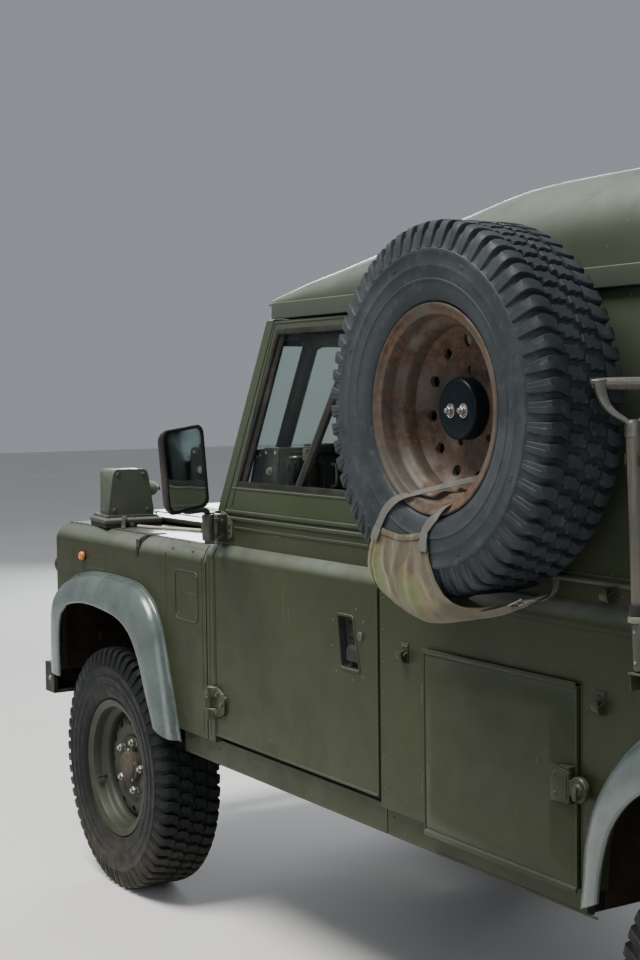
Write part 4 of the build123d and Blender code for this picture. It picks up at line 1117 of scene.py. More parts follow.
def cloth(u, v):
    """Point of the slack cloth: angle, wheel radius, offset."""
    f = float(np.interp(v, VK, FRONT_A))
    r_ = float(np.interp(v, VK, REAR_A))
    ang = f + (r_ - f) * u
    r0 = top_r(u)
    if v < 0.40:
        k = v / 0.40
        r = r0 + (392.0 - r0) * k
        o = float(np.interp(r, [250, 270, 300, 326, 335, 392], [102.0, 106.5, 108.8, 110.4, 111.0, 113.5]))
    else:
        r = float(np.interp(v, VK, CUT_R))
        o = float(np.interp(v, VK, CUT_O))
    hang = max(0.0, min(1.0, (v - 0.36) / 0.22))
    r += hang * (12.0 * math.sin(math.pi * min(1.0, u * 1.05)) - 5.0 * u)
    return ang, r, o


rows, inner = [], []
for i in range(NU + 1):
    u = i / NU
    row, inn = [], []
    for j in range(NV + 1):
        v = j / NV
        ang, r, o = cloth(u, v)
        # creases fanning out from the strap corners, a loose front edge and small crumples
        cr = 0.0
        for c0, sl_, w_, amp in ((0.05, 0.10, 0.030, 2.2), (0.17, 0.34, 0.040, 3.6), (0.40, 0.10, 0.045, 2.6), (0.70, -0.30, 0.045, 3.4),
                                 (0.90, -0.16, 0.035, 2.6), (0.55, -0.55, 0.030, 2.0)):
            c1 = c0 + sl_ * v
            cr += amp * math.exp(-((u - c1) / w_) ** 2) * min(1.0, v * 5.0) * math.sin(math.pi * min(1.0, v * 1.1)) ** 0.5
        n3 = noise.noise(Vector((u * 4.2, v * 5.0, 0.7))) * 4.2 + noise.noise(Vector((u * 12.0, v * 13.0, 3.1))) * 1.6 + noise.noise(Vector((u * 30.0, v * 30.0, 1.1))) * 0.5
        lift = 1.5 + cr + max(-2.2 if v < 0.4 else -6.0, n3)
        k = max(0.0, min(1.0, (v - 0.38) / 0.2))
        row.append(rim_of(ang, r + lift * k, o + lift * (1 - k)))
        inn.append(rim_of(ang, r + (lift - 1.6) * k, o + (lift - 1.6) * (1 - k)))
    rows.append(row)
    inner.append(inn)
for i in range(NU):
    for j in range(NV):
        a, b, c, d = rows[i][j], rows[i + 1][j], rows[i + 1][j + 1], rows[i][j + 1]
bm = new()
shell(bm, rows, inner)


# hems: a folded edge along the upper edge and both side edges
def hem(bm, pts, nrm, w=15.0, t=1.5):
    sec = [(-w / 2, 0.2), (w / 2, 0.2), (w / 2, t), (w / 2 - 1.2, t + 0.5), (-w / 2 + 1.2, t + 0.5), (-w / 2, t)]
    sweep(bm, pts, sec, up=nrm)


def nrm_at(rows, i, j):
    i0, i1 = max(i - 1, 0), min(i + 1, len(rows) - 1)
    j0, j1 = max(j - 1, 0), min(j + 1, len(rows[0]) - 1)
    n = (rows[i1][j] - rows[i0][j]).cross(rows[i][j1] - rows[i][j0]).normalized()
    c = rows[i][j] - Vector((SPX, SPY, SPZ))
    return n if n.dot(c) > 0 else -n


hb = bm
tops = [(rows[i][1], nrm_at(rows, i, 1)) for i in range(0, NU + 1)]
hem(hb, [p for p, n in tops], [n for p, n in tops], 13.0)
for i in (1, NU - 1):
    e = [(rows[i][j], nrm_at(rows, i, j)) for j in range(0, NV + 1)]
    hem(hb, [p for p, n in e], [n for p, n in e], 13.0)
sl = commit(bm, "sling_cloth", "body", "canvas", angle=50)
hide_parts("spare_sling")
FLAT_L = sum((q_[NU // 2] - p_[NU // 2]).length for p_, q_ in zip(list(zip(*rows)), list(zip(*rows))[1:])) * MM

# webbing: front strap through a rim hole, rear strap over the rim edge, tail with a buckle
bm = new()
WEB = [(-10.5, 0.0), (10.5, 0.0), (10.9, 0.7), (10.5, 1.6), (-10.5, 1.6), (-10.9, 0.7)]


def strap(bm, pts, ups, per=7, mat=0, w=1.0):
    P = catmull(pts, per)
    U = catmull(ups, per)
    sweep(bm, P, [(a * w, b) for a, b in WEB], up=[Vector(u).normalized() for u in U], mat=mat)


def on_side(angle, r, lift=1.2):
    """Point lying on the outer side wall or rim at wheel radius r."""
    o = float(np.interp(r, [222, 232, 246, 270, 300, 326, 335, 356, 372], [90, 95, 99, 104.6, 106.8, 108.2, 107.2, 104, 100.5]))
    return rim_of(angle, r, o + lift)


Y = Vector((0, 1, 0))
front = [on_side(33.0, 345, 5.5), on_side(33.2, 325, 5.5), on_side(33.6, 309, 5.0), on_side(34.2, 290, 3.0), on_side(34.4, 268, 2.6), on_side(33.6, 246, 3.2), rim_of(32.0, 231, 99.0),
         rim_of(29.5, 217.0, 93.6), rim_of(26.0, 204.5, 85.0), rim_of(16.5, 180.0, 62.0), rim_of(3.0, 160.0, 30.0), rim_of(-10.5, 151.0, -1.0), rim_of(-19.4, 148.0, -25.5), rim_of(-22.0, 146.5, -36.0)]
fu = [Y, Y, Y, Y, Y, Y + Vector((0, 0, 0.1)), Vector((0, 1, 0.4)), Vector((0, 0.85, 0.7)), Vector((0, 0.6, 0.9)), Vector((-0.1, 0.55, 0.9)), Vector((-0.1, 0.6, 0.85)), Vector((-0.2, 0.6, 0.8)), Vector((-0.3, 0.5, 0.8)), Vector((-0.4, 0.3, 0.9))]
strap(bm, front, fu)
rear = [on_side(-0.5, 292, 5.5), on_side(0.2, 272, 5.0), on_side(1.0, 256, 4.6), on_side(-0.4, 243, 3.4), rim_of(-2.8, 232, 98.4), rim_of(-5.6, 224.0, 93.8),
        rim_of(-9.6, 214.5, 92.4), rim_of(-13.5, 206.0, 86.0), rim_of(-16.5, 199.5, 74.0), rim_of(-19.0, 193.5, 54.0), rim_of(-21.0, 184.0, 36.0)]
ru = [Y, Y, Y, Y, Vector((0, 1, 0.2)), Vector((0, 0.9, 0.5)), Vector((0, 0.7, 0.7)), Vector((0, 0.35, 1)), Vector((0, 0.1, 1)), Vector((0, 0.05, 1)), Vector((0, 0.2, 1))]
strap(bm, rear, ru)
# patches where the straps are sewn down
for ang, r0 in ((33.2, 306.0), (0.2, 258.0)):
    T = [on_side(ang, r, 6.6) for r in (r0, r0 + 12, r0 + 24, r0 + 38)]
    sweep(bm, T, [(a * 1.15, b) for a, b in WEB], up=Y)
# inner straps: from the far end of the cloth up behind the tyre
for ang in (14.0, -24.0):
    T = [rim_of(ang, 430.0, -62.0), rim_of(ang, 424.0, -84.0), rim_of(ang, 410.0, -101.0), rim_of(ang, 388.0, -109.5), rim_of(ang, 340.0, -112.5), rim_of(ang, 290.0, -110.0), rim_of(ang, 250.0, -106.0),
         rim_of(ang, 215.0, -112.0), rim_of(ang * 0.9, 170.0, -140.0), rim_of(ang * 0.8, 132.0, -160.0)]
    U = [rim_of(ang, 500, 0) - rim_of(ang, 400, 0), rim_of(ang, 500, -60) - rim_of(ang, 400, 0), rim_of(ang, 500, -100) - rim_of(ang, 400, 0)] + [-Y] * 7
    strap(bm, T, U)
# tail: out from under the tread to a wire buckle
tail = [rim_of(-19.0, 434.0, 70.0), rim_of(-22.5, 436.5, 50.0), rim_of(-26.0, 437.0, 32.0), rim_of(-29.0, 439.0, 18.0), rim_of(-31.5, 446.0, 6.0)]
tu = [rim_of(a_, 500, 0) - rim_of(a_, 400, 0) for a_ in (-19, -22, -26, -29, -31)]
strap(bm, tail, tu, mat=0)
c0 = rim_of(-28.0, 439.5, 24.0)
T = Matrix.Translation(c0) @ Matrix.Rotation(math.radians(28.0), 4, "Y") @ Matrix.Rotation(math.radians(18.0), 4, "Z")
loop = [T @ Vector((x, y, 0)) for x, y in rrect(34, 34, 5, 3)]
sweep(bm, loop, circle(2.0, 8), closed=True, mat=1)
cyl(bm, T @ Vector((0, -15, 0)), T @ Vector((0, 15, 0)), 1.8, seg=8, bev=0.2, mat=1)
wb = commit(bm, "sling_straps", "body", ["webbing", "steel"], angle=40)

# ---------------------------------------------------------------------------
# Mirrors: rubber-edged glass in a pressed shell, on a cranked arm over the hinge
# ---------------------------------------------------------------------------
def hull_piece(bm, pts, r=2.0, seg=2, T=None, mat=0):
    """Convex block through the points with its edges rounded."""
    tmp = bmesh.new()
    for p in pts:
        tmp.verts.new(p)
    bmesh.ops.convex_hull(tmp, input=tmp.verts)
    bmesh.ops.dissolve_limit(tmp, angle_limit=math.radians(3.0), verts=tmp.verts, edges=tmp.edges)
    bmesh.ops.recalc_face_normals(tmp, faces=tmp.faces)
    if r > 0:
        bmesh.ops.bevel(tmp, geom=list(tmp.edges), offset=r, segments=seg, profile=0.5, affect="EDGES", clamp_overlap=True)
    me_ = bpy.data.meshes.new("hull_tmp")
    tmp.to_mesh(me_)
    tmp.free()
    for p in me_.polygons:
        p.material_index = mat
    if T is not None:
        me_.transform(T)
    bm.from_mesh(me_)
    bpy.data.meshes.remove(me_)


def ring_from(bm, outline, levels, T, mat=0, cap0=True, cap1=True):
    """Stacks scaled copies of an outline: levels are (inset, height)."""
    rings = []
    for ins, h in levels:
        row = []
        for x, y in outline:
            L_ = math.hypot(x, y)
            row.append(bm.verts.new(T @ Vector((x - ins * (1 if x > 0 else -1) * min(1.0, abs(x) / 30.0), y - ins * (1 if y > 0 else -1) * min(1.0, abs(y) / 30.0), h))))
        rings.append(row)
    n = len(outline)
    for A_, B_ in zip(rings, rings[1:]):
        for k in range(n):
            bm.faces.new((A_[k], A_[(k + 1) % n], B_[(k + 1) % n], B_[k])).material_index = mat
    if cap0:
        bm.faces.new(rings[0][::-1]).material_index = mat
    if cap1:
        bm.faces.new(rings[-1]).material_index = mat
    return rings


def mirror_piece(side):
    bm = new()
    C = Vector((752.0, 1000.0, 1403.0))
    # local x: outboard, y: up, z: to the rear (the way the glass looks)
    a = math.radians(22.0)
    zx = Vector((-math.cos(a), -math.sin(a), 0.0))
    xx = Vector((-math.sin(a), math.cos(a), 0.0))
    R = Matrix.Identity(4)
    tilt = math.radians(-6.0)
    X_ = xx * math.cos(tilt) + Vector((0, 0, 1)) * math.sin(tilt)
    Y_ = Vector((0, 0, 1)) * math.cos(tilt) - xx * math.sin(tilt)
    for i in range(3):
        R[i][0], R[i][1], R[i][2], R[i][3] = X_[i], Y_[i], zx[i], C[i]
    o = rrect(166, 228, 24, 6)
    # pressed shell
    ring_from(bm, o, [(30.0, -21.0), (14.0, -19.5), (6.0, -15.0), (2.0, -8.0), (0.4, 2.0), (0.0, 8.0), (2.5, 9.2)], R, mat=0, cap1=True)
    # rubber edge round the glass
    ring_from(bm, o, [(-1.8, 3.0), (-3.2, 6.0), (-3.2, 10.5), (-1.2, 13.2), (3.4, 13.4), (6.2, 12.2), (6.8, 9.8)], R, mat=1, cap0=False, cap1=False)
    # glass, very slightly domed
    rings = []
    for ins, h in ((6.4, 10.2), (12.0, 10.7), (24.0, 11.2), (44.0, 11.7), (66.0, 12.0)):
        rings.append([bm.verts.new(R @ Vector((x * (1 - ins / 83.0), y * (1 - ins / 114.0), h))) for x, y in o])
    n = len(o)
    for A_, B_ in zip(rings, rings[1:]):
        for k in range(n):
            bm.faces.new((A_[k], A_[(k + 1) % n], B_[(k + 1) % n], B_[k])).material_index = 2
    bm.faces.new(rings[-1]).material_index = 2
    # clamp behind the shell, arm and upright tube
    hull_piece(bm, [R @ Vector(p) for p in ((-30, -55, -20), (30, -55, -20), (-30, 10, -20), (30, 10, -20), (-14, -45, -40), (14, -45, -40), (-14, 0, -40), (14, 0, -40))], 3.0, mat=3)
    arm_ = catmull([(838, 880, 1210), (838, 880, 1250), (838, 881, 1270), (832, 892, 1280), (818, 918, 1282), (800, 955, 1281), (786, 984, 1286), (779, 1000, 1302), (776.5, 1007, 1330), (776, 1009, 1372), (776, 1009, 1400)], 7)
    sweep(bm, arm_, circle(8.0, 14), mat=3)
    lathe(bm, [(0, 0), (15.5, 0), (17.5, 2.0), (17.5, 72.0), (15.5, 75.0), (8.2, 76.0)], place((838, 880, 1192), (0, 0, 1)), 28, mat=3)
    for z in (1196.0, 1246.0):
        hull_piece(bm, [(822, 846, z), (858, 846, z), (826, 872, z), (852, 872, z), (822, 846, z + 9), (858, 846, z + 9), (826, 872, z + 9), (852, 872, z + 9)], 1.6, mat=3)
    hexbolt(bm, R @ Vector((0, -38, -40)), -zx, 6, 5, mat=4)
    hexbolt(bm, R @ Vector((0, -10, -40)), -zx, 6, 5, mat=4)
    if side == "right":
        mirrored(bm)
    p = commit(bm, "mirror_" + side + "_head", "door_" + side, ["plastic", "seal", "mirror", "dark", "steel"], angle=40)
    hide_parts("mirror_" + side)


mirror_piece("left")
mirror_piece("right")

# ---------------------------------------------------------------------------
# Antenna tuner on the left wing: stepped base, leaning case, round insulator
# ---------------------------------------------------------------------------
WZ_ = 1165.0
bm = new()
TA = Matrix.Translation((1788.0, 702.0, WZ_)) @ Matrix.Rotation(math.radians(-9.0), 4, "Z")


def TP(a, b, z):
    """Local: a to the rear, b to the outside."""
    return Vector((-a, b, z))


# rubber pad, base tray with a rolled step, upper plate
hull_piece(bm, [TP(a, b, z) for a in (-98, 98) for b in (-98, 98) for z in (0.4, 14)], 1.0, T=TA, mat=2)
hull_piece(bm, [TP(a, b, 14) for a in (-100, 100) for b in (-100, 100)] + [TP(a, b, 27) for a in (-100, 100) for b in (-100, 100)]
           + [TP(a, b, 33) for a in (-92, 92) for b in (-92, 92)], 1.6, T=TA, mat=0)
hull_piece(bm, [TP(a, b, z) for a in (-80, 78) for b in (-90, 90) for z in (33, 40)], 1.4, T=TA, mat=1)
for a in (-86, 86):
    for b in (-86, 0, 86):
        hexbolt(bm, TA @ TP(a, b, 32.5), (0, 0, 1), 5.5, 4.0, mat=3)
z0 = 40.0
hull_piece(bm, [TP(62, -76, z0), TP(62, 76, z0), TP(62, 58, z0 + 100), TP(62, -58, z0 + 136), TP(62, 46, z0 + 148), TP(62, -48, z0 + 149),
                TP(-76, -66, z0), TP(-76, 70, z0), TP(-76, 68, z0 + 146), TP(-76, -60, z0 + 152), TP(-76, 60, z0 + 153)], 3.0, 2, T=TA, mat=0)
# rear cover plate with rounded corners and four bolts
outline = [(-78, 0), (78, 0), (80, 10), (62, 136), (57, 148), (46, 155), (-44, 155), (-56, 149), (-62, 136), (-80, 10)]
T2 = TA @ Matrix.Translation((-64.0, 0, z0)) @ Matrix(((0, 0, -1, 0), (1, 0, 0, 0), (0, 1, 0, 0), (0, 0, 0, 1)))
prism(bm, outline, "z", 0.0, 5.0, 1.2, 2, T=T2, mat=0)
for p in ((-58, 18), (58, 18), (-44, 138), (44, 138)):
    T3 = T2 @ Matrix.Translation((p[0], p[1], 5.0))
    lathe(bm, [(0, 0), (8.0, 0), (8.0, 1.2), (5.6, 1.6), (5.2, 4.6), (4.4, 5.4), (0, 5.4)], T3, 14, mat=3)
# insulator dome with its cowl, on the inner side of the case
TD = TA @ Matrix.Translation(TP(6, -64, z0 + 84)) @ Matrix.Rotation(math.radians(90), 4, "X")
lathe(bm, [(0, -6), (34, -6), (36, -3), (36, 5), (32, 8), (27, 9), (26, 20), (24.5, 30), (20.5, 39), (14.0, 46), (7.0, 49.5), (0, 50.5)], TD, 36, mat=4)
for k in range(6):
    a_ = 2 * math.pi * k / 6
    T3 = TD @ Matrix.Translation((31 * math.cos(a_), 31 * math.sin(a_), 6.0))
    lathe(bm, [(0, 0), (3.2, 0), (3.2, 2.6), (0, 3.0)], T3, 10, mat=3)
lathe(bm, [(0, 48), (7, 48), (7, 56), (5, 58), (0, 58)], TD, 18, mat=3)
# earth strap and cable gland at the rear of the base
sweep(bm, catmull([TA @ TP(84, 30, 37), TA @ TP(96, 32, 36.6), TA @ TP(106, 36, 30), TA @ TP(112, 40, 12), TA @ TP(124, 44, 2.4), TA @ TP(142, 48, 2.0)], 6), rrect(14, 2.2, 0.8, 2), up=(0, 0, 1), mat=5)
TG = TA @ Matrix.Translation(TP(97, 6.0, 7.5)) @ Matrix.Rotation(math.radians(-90), 4, "Y")
lathe(bm, [(0, -4), (9, -4), (9, 6), (7.2, 7), (7.2, 13), (0, 13)], TG, 6, mat=3)
ab = commit(bm, "antenna_tuner", "body", ["case", "roof", "seal", "dark", "dome", "strapping"], angle=36)
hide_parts("antenna_box")

# ---------------------------------------------------------------------------
# Wing details, both sides
# ---------------------------------------------------------------------------
for side in ("left", "right"):
    bm = new()
    YS = 835.0
    # side marker lamp: amber lens on a black base
    T = place((1846, YS - 1.0, 1064), (0, 1, 0))
    lathe(bm, [(0, 0), (17.5, 0), (18.5, 1.4), (18.5, 4.0), (17.0, 5.6), (0, 5.6)], T, 30, mat=2)
    lathe(bm, [(15.2, 4.8), (15.2, 10.0), (13.8, 14.6), (10.4, 17.6), (5.0, 19.2), (0, 19.6)], T, 30, mat=1)
    # access plate with rounded corners, and its rivets
    o = [(1072 + x, 1005 + z) for x, z in rrect(148, 150, 20, 5)]
    P_ = [(x, YS + 0.0, z) for x, z in o]
    sweep(bm, P_, [(-2.6, -0.6), (2.6, -0.6), (2.2, 1.4), (0, 2.2), (-2.2, 1.4)], up=(0, 1, 0), closed=True, mat=0)
    for x, z in ((1132, 1066), (1012, 1066), (1132, 944), (1012, 944)):
        rivet(bm, (x, YS, z), (0, 1, 0), 3.4, 1.4)
    # rows of rivets: behind the arch, on the seam to the door post
    for z in (1078, 1040, 996, 947, 900, 850):
        rivet(bm, (1268, YS, z), (0, 1, 0), 2.6, 1.1)
    for z in range(640, 1120, 62):
        rivet(bm, (1088 if z < 760 else 966, YS if z > 600 else 815, z), (0, 1, 0), 2.8, 1.2)
    # vertical joints of the strip between wing and door
    for x in (970.0, 925.0):
        sweep(bm, [(x, YS - 0.8, 606), (x, YS - 0.8, 1128)], [(-1.6, 0), (1.6, 0), (0.9, 1.7), (-0.9, 1.7)], up=(0, 1, 0), mat=0)
    sweep(bm, [(1212.0, YS - 0.8, 880), (1212.0, YS - 0.8, 1126)], [(-1.6, 0), (1.6, 0), (0.9, 1.5), (-0.9, 1.5)], up=(0, 1, 0), mat=0)
    # joint along the wing top, following its rounded edge
    sweep(bm, catmull([(2060, 792, 1164.4), (1700, 792, 1164.4), (1300, 792, 1164.4), (1020, 792, 1164.4), (985, 800, 1163.0), (968, 818, 1152.0), (962, 834.0, 1125.0)], 8),
          [(-1.4, -0.4), (1.4, -0.4), (1.2, 1.3), (-1.2, 1.3)], up=[Vector((0, 0, 1))] * 33 + [Vector((0, 0.3, 1))] * 4 + [Vector((0, 0.6, 0.8))] * 4 + [Vector((0, 0.9, 0.4))] * 7 + [Vector((0, 1, 0.1))], mat=3)
    for x in (1180, 1045):
        screw(bm, (x, 826.0, 1142.0), (0, 0.8, 0.6), 4.2, 1.6, mat=3)
    for x in (2040, 1960, 1500, 1380, 1240, 1120):
        screw(bm, (x, 800, 1164.8), (0, 0, 1), 4.0, 1.6, mat=3)
    if side == "left":
        # strap and buckle over the wing edge
        sweep(bm, catmull([(1395, 742, 1166), (1398, 775, 1166.8), (1400, 800, 1164.5), (1404, 818, 1157), (1409, 829, 1144), (1414, 834.8, 1120), (1420, 835.6, 1098)], 6),
              rrect(20, 2.4, 0.8, 2), up=[Vector((0, 0, 1))] * 13 + [Vector((0, 0.4, 0.9))] * 6 + [Vector((0, 0.8, 0.6))] * 6 + [Vector((0, 1, 0.2))] * 12, mat=2)
        rbox(bm, 1400, 1422, 828.5, 836.5, 1128, 1152, 2.0, 2, mat=3)
    if side == "right":
        mirrored(bm)
    commit(bm, "wing_details_" + side, "body", ["paint", "amber", "seal", "dark"], angle=40)

# ---------------------------------------------------------------------------
# Doors: handle, hinges, glass seals and runners, waist capping, screws
# ---------------------------------------------------------------------------
def side_y(z):
    return 790.0 - 0.09 * (z - 1348.0)


def screen_x(z):
    return 940.0 - 0.402 * (z - 1270.0)


def wall(x, z, out=0.0):
    """Point on the leaning upper side, moved outwards."""
    return Vector((x, side_y(z) + out, z + 0.09 * out))


LEAN = Vector((0, 1, 0.09)).normalized()


def bar(bm, p, q, w, t, sink=0.5, r=1.0, mat=0, up=LEAN):
    """Flat strip on the leaning side from p to q: width w, standing t proud."""
    sec = [(-w / 2, -sink), (w / 2, -sink), (w / 2, t - r), (w / 2 - r * 0.3, t - r * 0.3), (w / 2 - r, t), (-w / 2 + r, t), (-w / 2 + r * 0.3, t - r * 0.3), (-w / 2, t - r)]
    sweep(bm, [p, q], sec, up=up, mat=mat)


def door_piece(side):
    bm = new()
    # 0 paint, 1 seal, 2 plastic, 3 dark steel, 4 hinge paint
    Y0 = 835.0
    WB, WT = 1348.0, 1785.0
    xr = 35.0 + 42.0
    def xf(z):
        return screen_x(z) - 76.0
    # rubber round the window opening, outside
    corners = [(xr + 5, WB + 4), (xf(WB) - 7, WB + 4), (xf(WT) - 6, WT - 4), (xr + 5, WT - 4)]
    for (xa, za), (xb, zb) in zip(corners, corners[1:] + corners[:1]):
        P0, P1 = wall(xa, za, -3), wall(xb, zb, -3)
        bar(bm, P0, P1, 15.0, 4.0, 9.0, 1.4, mat=1)
    # thick front runner and the fixed divider with its bright edge
    bar(bm, wall(xf(WB) - 30, WB + 2, -8), wall(xf(WT) - 26, WT - 2, -8), 26.0, 3.0, 6.0, 1.5, mat=1)
    da, db = wall(492.0, WB + 2, -7), wall(236.0, WT - 2, -7)
    bar(bm, da, db, 24.0, 5.0, 8.0, 1.5, mat=1)
    off = Vector((13.5, 0.0, 0.0))
    bar(bm, da + off, db + off, 4.0, 6.0, 8.0, 0.8, mat=4)
    # sliding pane latch
    rbox(bm, 452, 476, side_y(1440) - 13, side_y(1440) - 1, 1428, 1462, 2.5, 2, mat=2)
    # capping along the waist: two rolled edges with a groove between
    for z, w, t in ((1270.0, 11.0, 4.4), (1338.0, 6.0, 2.2)):
        bar(bm, wall(40, z), wall(screen_x(z) - 58, z), w, t, 0.8, 1.6, mat=0)
    bar(bm, Vector((40, 804.0, 1252.0)), Vector((848, 804.0, 1252.0)), 9.0, 6.0, 0.8, 2.0, mat=0, up=(0, 1, 0))
    bar(bm, Vector((40, 804.0, 1226.0)), Vector((818, 804.0, 1226.0)), 7.0, 3.0, 0.8, 1.2, mat=0, up=(0, 1, 0))
    # folded outer edge of the door skin
    for P0, P1 in (((38.5, Y0, 616), (38.5, Y0, 1128)), ((889.5, Y0, 616), (889.5, Y0, 1128)), ((38.5, Y0, 616), (889.5, Y0, 616))):
        sweep(bm, [P0, P1], [(-3.4, -0.6), (3.4, -0.6), (3.2, 0.9), (2.4, 1.5), (-2.4, 1.5), (-3.2, 0.9)], up=(0, 1, 0), mat=0)
    # upper frame edges
    for (xa, za), (xb, zb) in (((xf(WB) + 18, WB - 60), (xf(1806) + 17, 1806)), ((40, 1806), (xf(1806) + 17, 1806)), ((40, 1262), (40, 1806))):
        bar(bm, wall(xa, za), wall(xb, zb), 5.0, 2.2, 0.8, 1.0, mat=0)
    # handle: slanted recess with a rolled edge, black lining, pull and lock button
    RC = [(219.0, 1046.0), (150.0, 1046.0), (119.0, 913.0), (202.0, 913.0)]

    def inset(pts, t):
        cx, cz = sum(p[0] for p in pts) / 4, sum(p[1] for p in pts) / 4
        return [(x + (cx - x) / abs(cx - x) * t, z + (cz - z) / abs(cz - z) * t) for x, z in pts]

    def soft(pts, r=7.0, k=4):
        out = []
        n = len(pts)
        for i in range(n):
            P0, P1, P2 = Vector(pts[i - 1]), Vector(pts[i]), Vector(pts[(i + 1) % n])
            a_, b_ = P1 + (P0 - P1).normalized() * r, P1 + (P2 - P1).normalized() * r
            for j in range(k + 1):
                t = j / k
                q = a_ * (1 - t) ** 2 + P1 * 2 * t * (1 - t) + b_ * t ** 2
                out.append((q.x, q.y))
        return out

    edge_ = soft(inset(RC, -2.0), 9.0)
    sweep(bm, [(x, Y0 + 0.2, z) for x, z in edge_], [(-3.6, -1.2), (3.6, -1.2), (3.6, 0.6), (2.4, 1.7), (-2.4, 1.7), (-3.6, 0.6)], up=(0, 1, 0), closed=True, mat=0)
    lin = soft(inset(RC, 1.2), 7.0)
    A_ = [bm.verts.new((x, Y0 - 0.8, z)) for x, z in lin]
    B_ = [bm.verts.new((x, Y0 - 21.0, z)) for x, z in soft(inset(RC, 3.0), 7.0)]
    C_ = [bm.verts.new((x, Y0 - 24.6, z)) for x, z in soft(inset(RC, 8.0), 6.0)]
    D_ = [bm.verts.new((x, Y0 - 25.6, z)) for x, z in lin]
    for P_, Q_ in ((A_, B_), (B_, C_)):
        for i in range(len(P_)):
            bm.faces.new((P_[i], P_[(i + 1) % len(P_)], Q_[(i + 1) % len(P_)], Q_[i])).material_index = 2
    bm.faces.new(C_).material_index = 2
    for i in range(len(A_)):
        bm.faces.new((A_[i], A_[(i + 1) % len(A_)], D_[(i + 1) % len(A_)], D_[i])).material_index = 2
    bm.faces.new(D_[::-1]).material_index = 2
    hull_piece(bm, [(192, Y0 - 25, 926), (136, Y0 - 25, 926), (196, Y0 - 25, 972), (146, Y0 - 25, 972), (190, Y0 - 5, 932), (138, Y0 - 5, 932), (194, Y0 - 7, 960), (145, Y0 - 7, 960), (192, Y0 - 14, 970), (150, Y0 - 14, 970)], 3.0, 2, mat=2)
    hull_piece(bm, [(200, Y0 - 25, 986), (150, Y0 - 25, 986), (206, Y0 - 25, 1030), (160, Y0 - 25, 1030), (198, Y0 - 20, 990), (156, Y0 - 20, 990), (202, Y0 - 20, 1026), (164, Y0 - 20, 1026)], 3.0, 2, mat=2)
    T = place((112.0, Y0 - 0.6, 1003.0), (0, 1, 0))
    lathe(bm, [(0, 0), (11.6, 0), (12.2, 0.8), (11.8, 5.0), (10.2, 6.6), (8.4, 5.9), (0, 5.9)], T, 28, mat=4)
    rbox(bm, 111.2, 112.8, Y0 + 5.0, Y0 + 5.8, 998.5, 1007.5, 0.2, 1, mat=1)
    for x, z in ((240, 1030), (246, 962), (226, 900), (100, 1040), (104, 900), (132, 1068), (150, 888)):
        screw(bm, (x, Y0, z), (0, 1, 0), 4.0, 1.6, mat=4)
    # lower hinge leaf on the door: shaped strap with two bolts
    for z0, z1, yb, yt in ((664.0, 759.0, Y0, Y0 + 9.0), (1176.0, 1270.0, 804.0, 846.0)):
        zc = (z0 + z1) / 2
        h = (z1 - z0) / 2
        pts = [(893, zc - h), (884, zc - h), (858, zc - h * 0.80), (828, zc - h * 0.52), (824, zc - h * 0.40), (824, zc + h * 0.40), (828, zc + h * 0.52), (858, zc + h * 0.80), (884, zc + h), (893, zc + h)]
        if yb >= Y0:
            prism(bm, pts, "y", yb, yt, 2.0, 2, mat=0)
            for x, z in ((842, zc), (868, zc + h * 0.55), (868, zc - h * 0.55)):
                hexbolt(bm, (x, yt, z), (0, 1, 0), 6.5, 4.4, mat=3)
        else:
            prism(bm, [(x, z) for x, z in pts], "y", yb - 0.6, yb + 7.0, 2.0, 2, mat=4)
            rbox(bm, 851.0, 886.0, yb + 5.0, yt, z0 + 5.0, z1 - 5.0, 4.0, 3, mat=4)
            for z in (zc + h * 0.46, zc - h * 0.46):
                hexbolt(bm, (851.0, 827.0, z), (-1, 0, 0), 6.5, 4.4, mat=3)
            for x, z in ((839, zc + h * 0.2), (839, zc - h * 0.2)):
                hexbolt(bm, (x, yb + 7.0, z), (0, 1, 0), 5.0, 3.6, mat=3)
        # knuckle on the pin line
        for za, zb in ((z0, z0 + h * 0.66), (z1 - h * 0.66, z1)):
            lathe(bm, [(0, 0), (9.4, 0), (10.4, 1.0), (10.4, zb - za - 1.0), (9.4, zb - za), (0, zb - za)], place((898, 850, za), (0, 0, 1)), 22, mat=0)
            hull_piece(bm, [(x, y, z) for x, y in ((874, yt - 7), (874, yt + 1.0), (896, 859.5), (899, 840.5)) for z in (za + 0.6, zb - 0.6)], 1.0, 1, mat=0)
    if side == "right":
        mirrored(bm)
    commit(bm, "door_fittings_" + side, "door_" + side, ["paint", "seal", "plastic", "dark", "hinge"], angle=38)
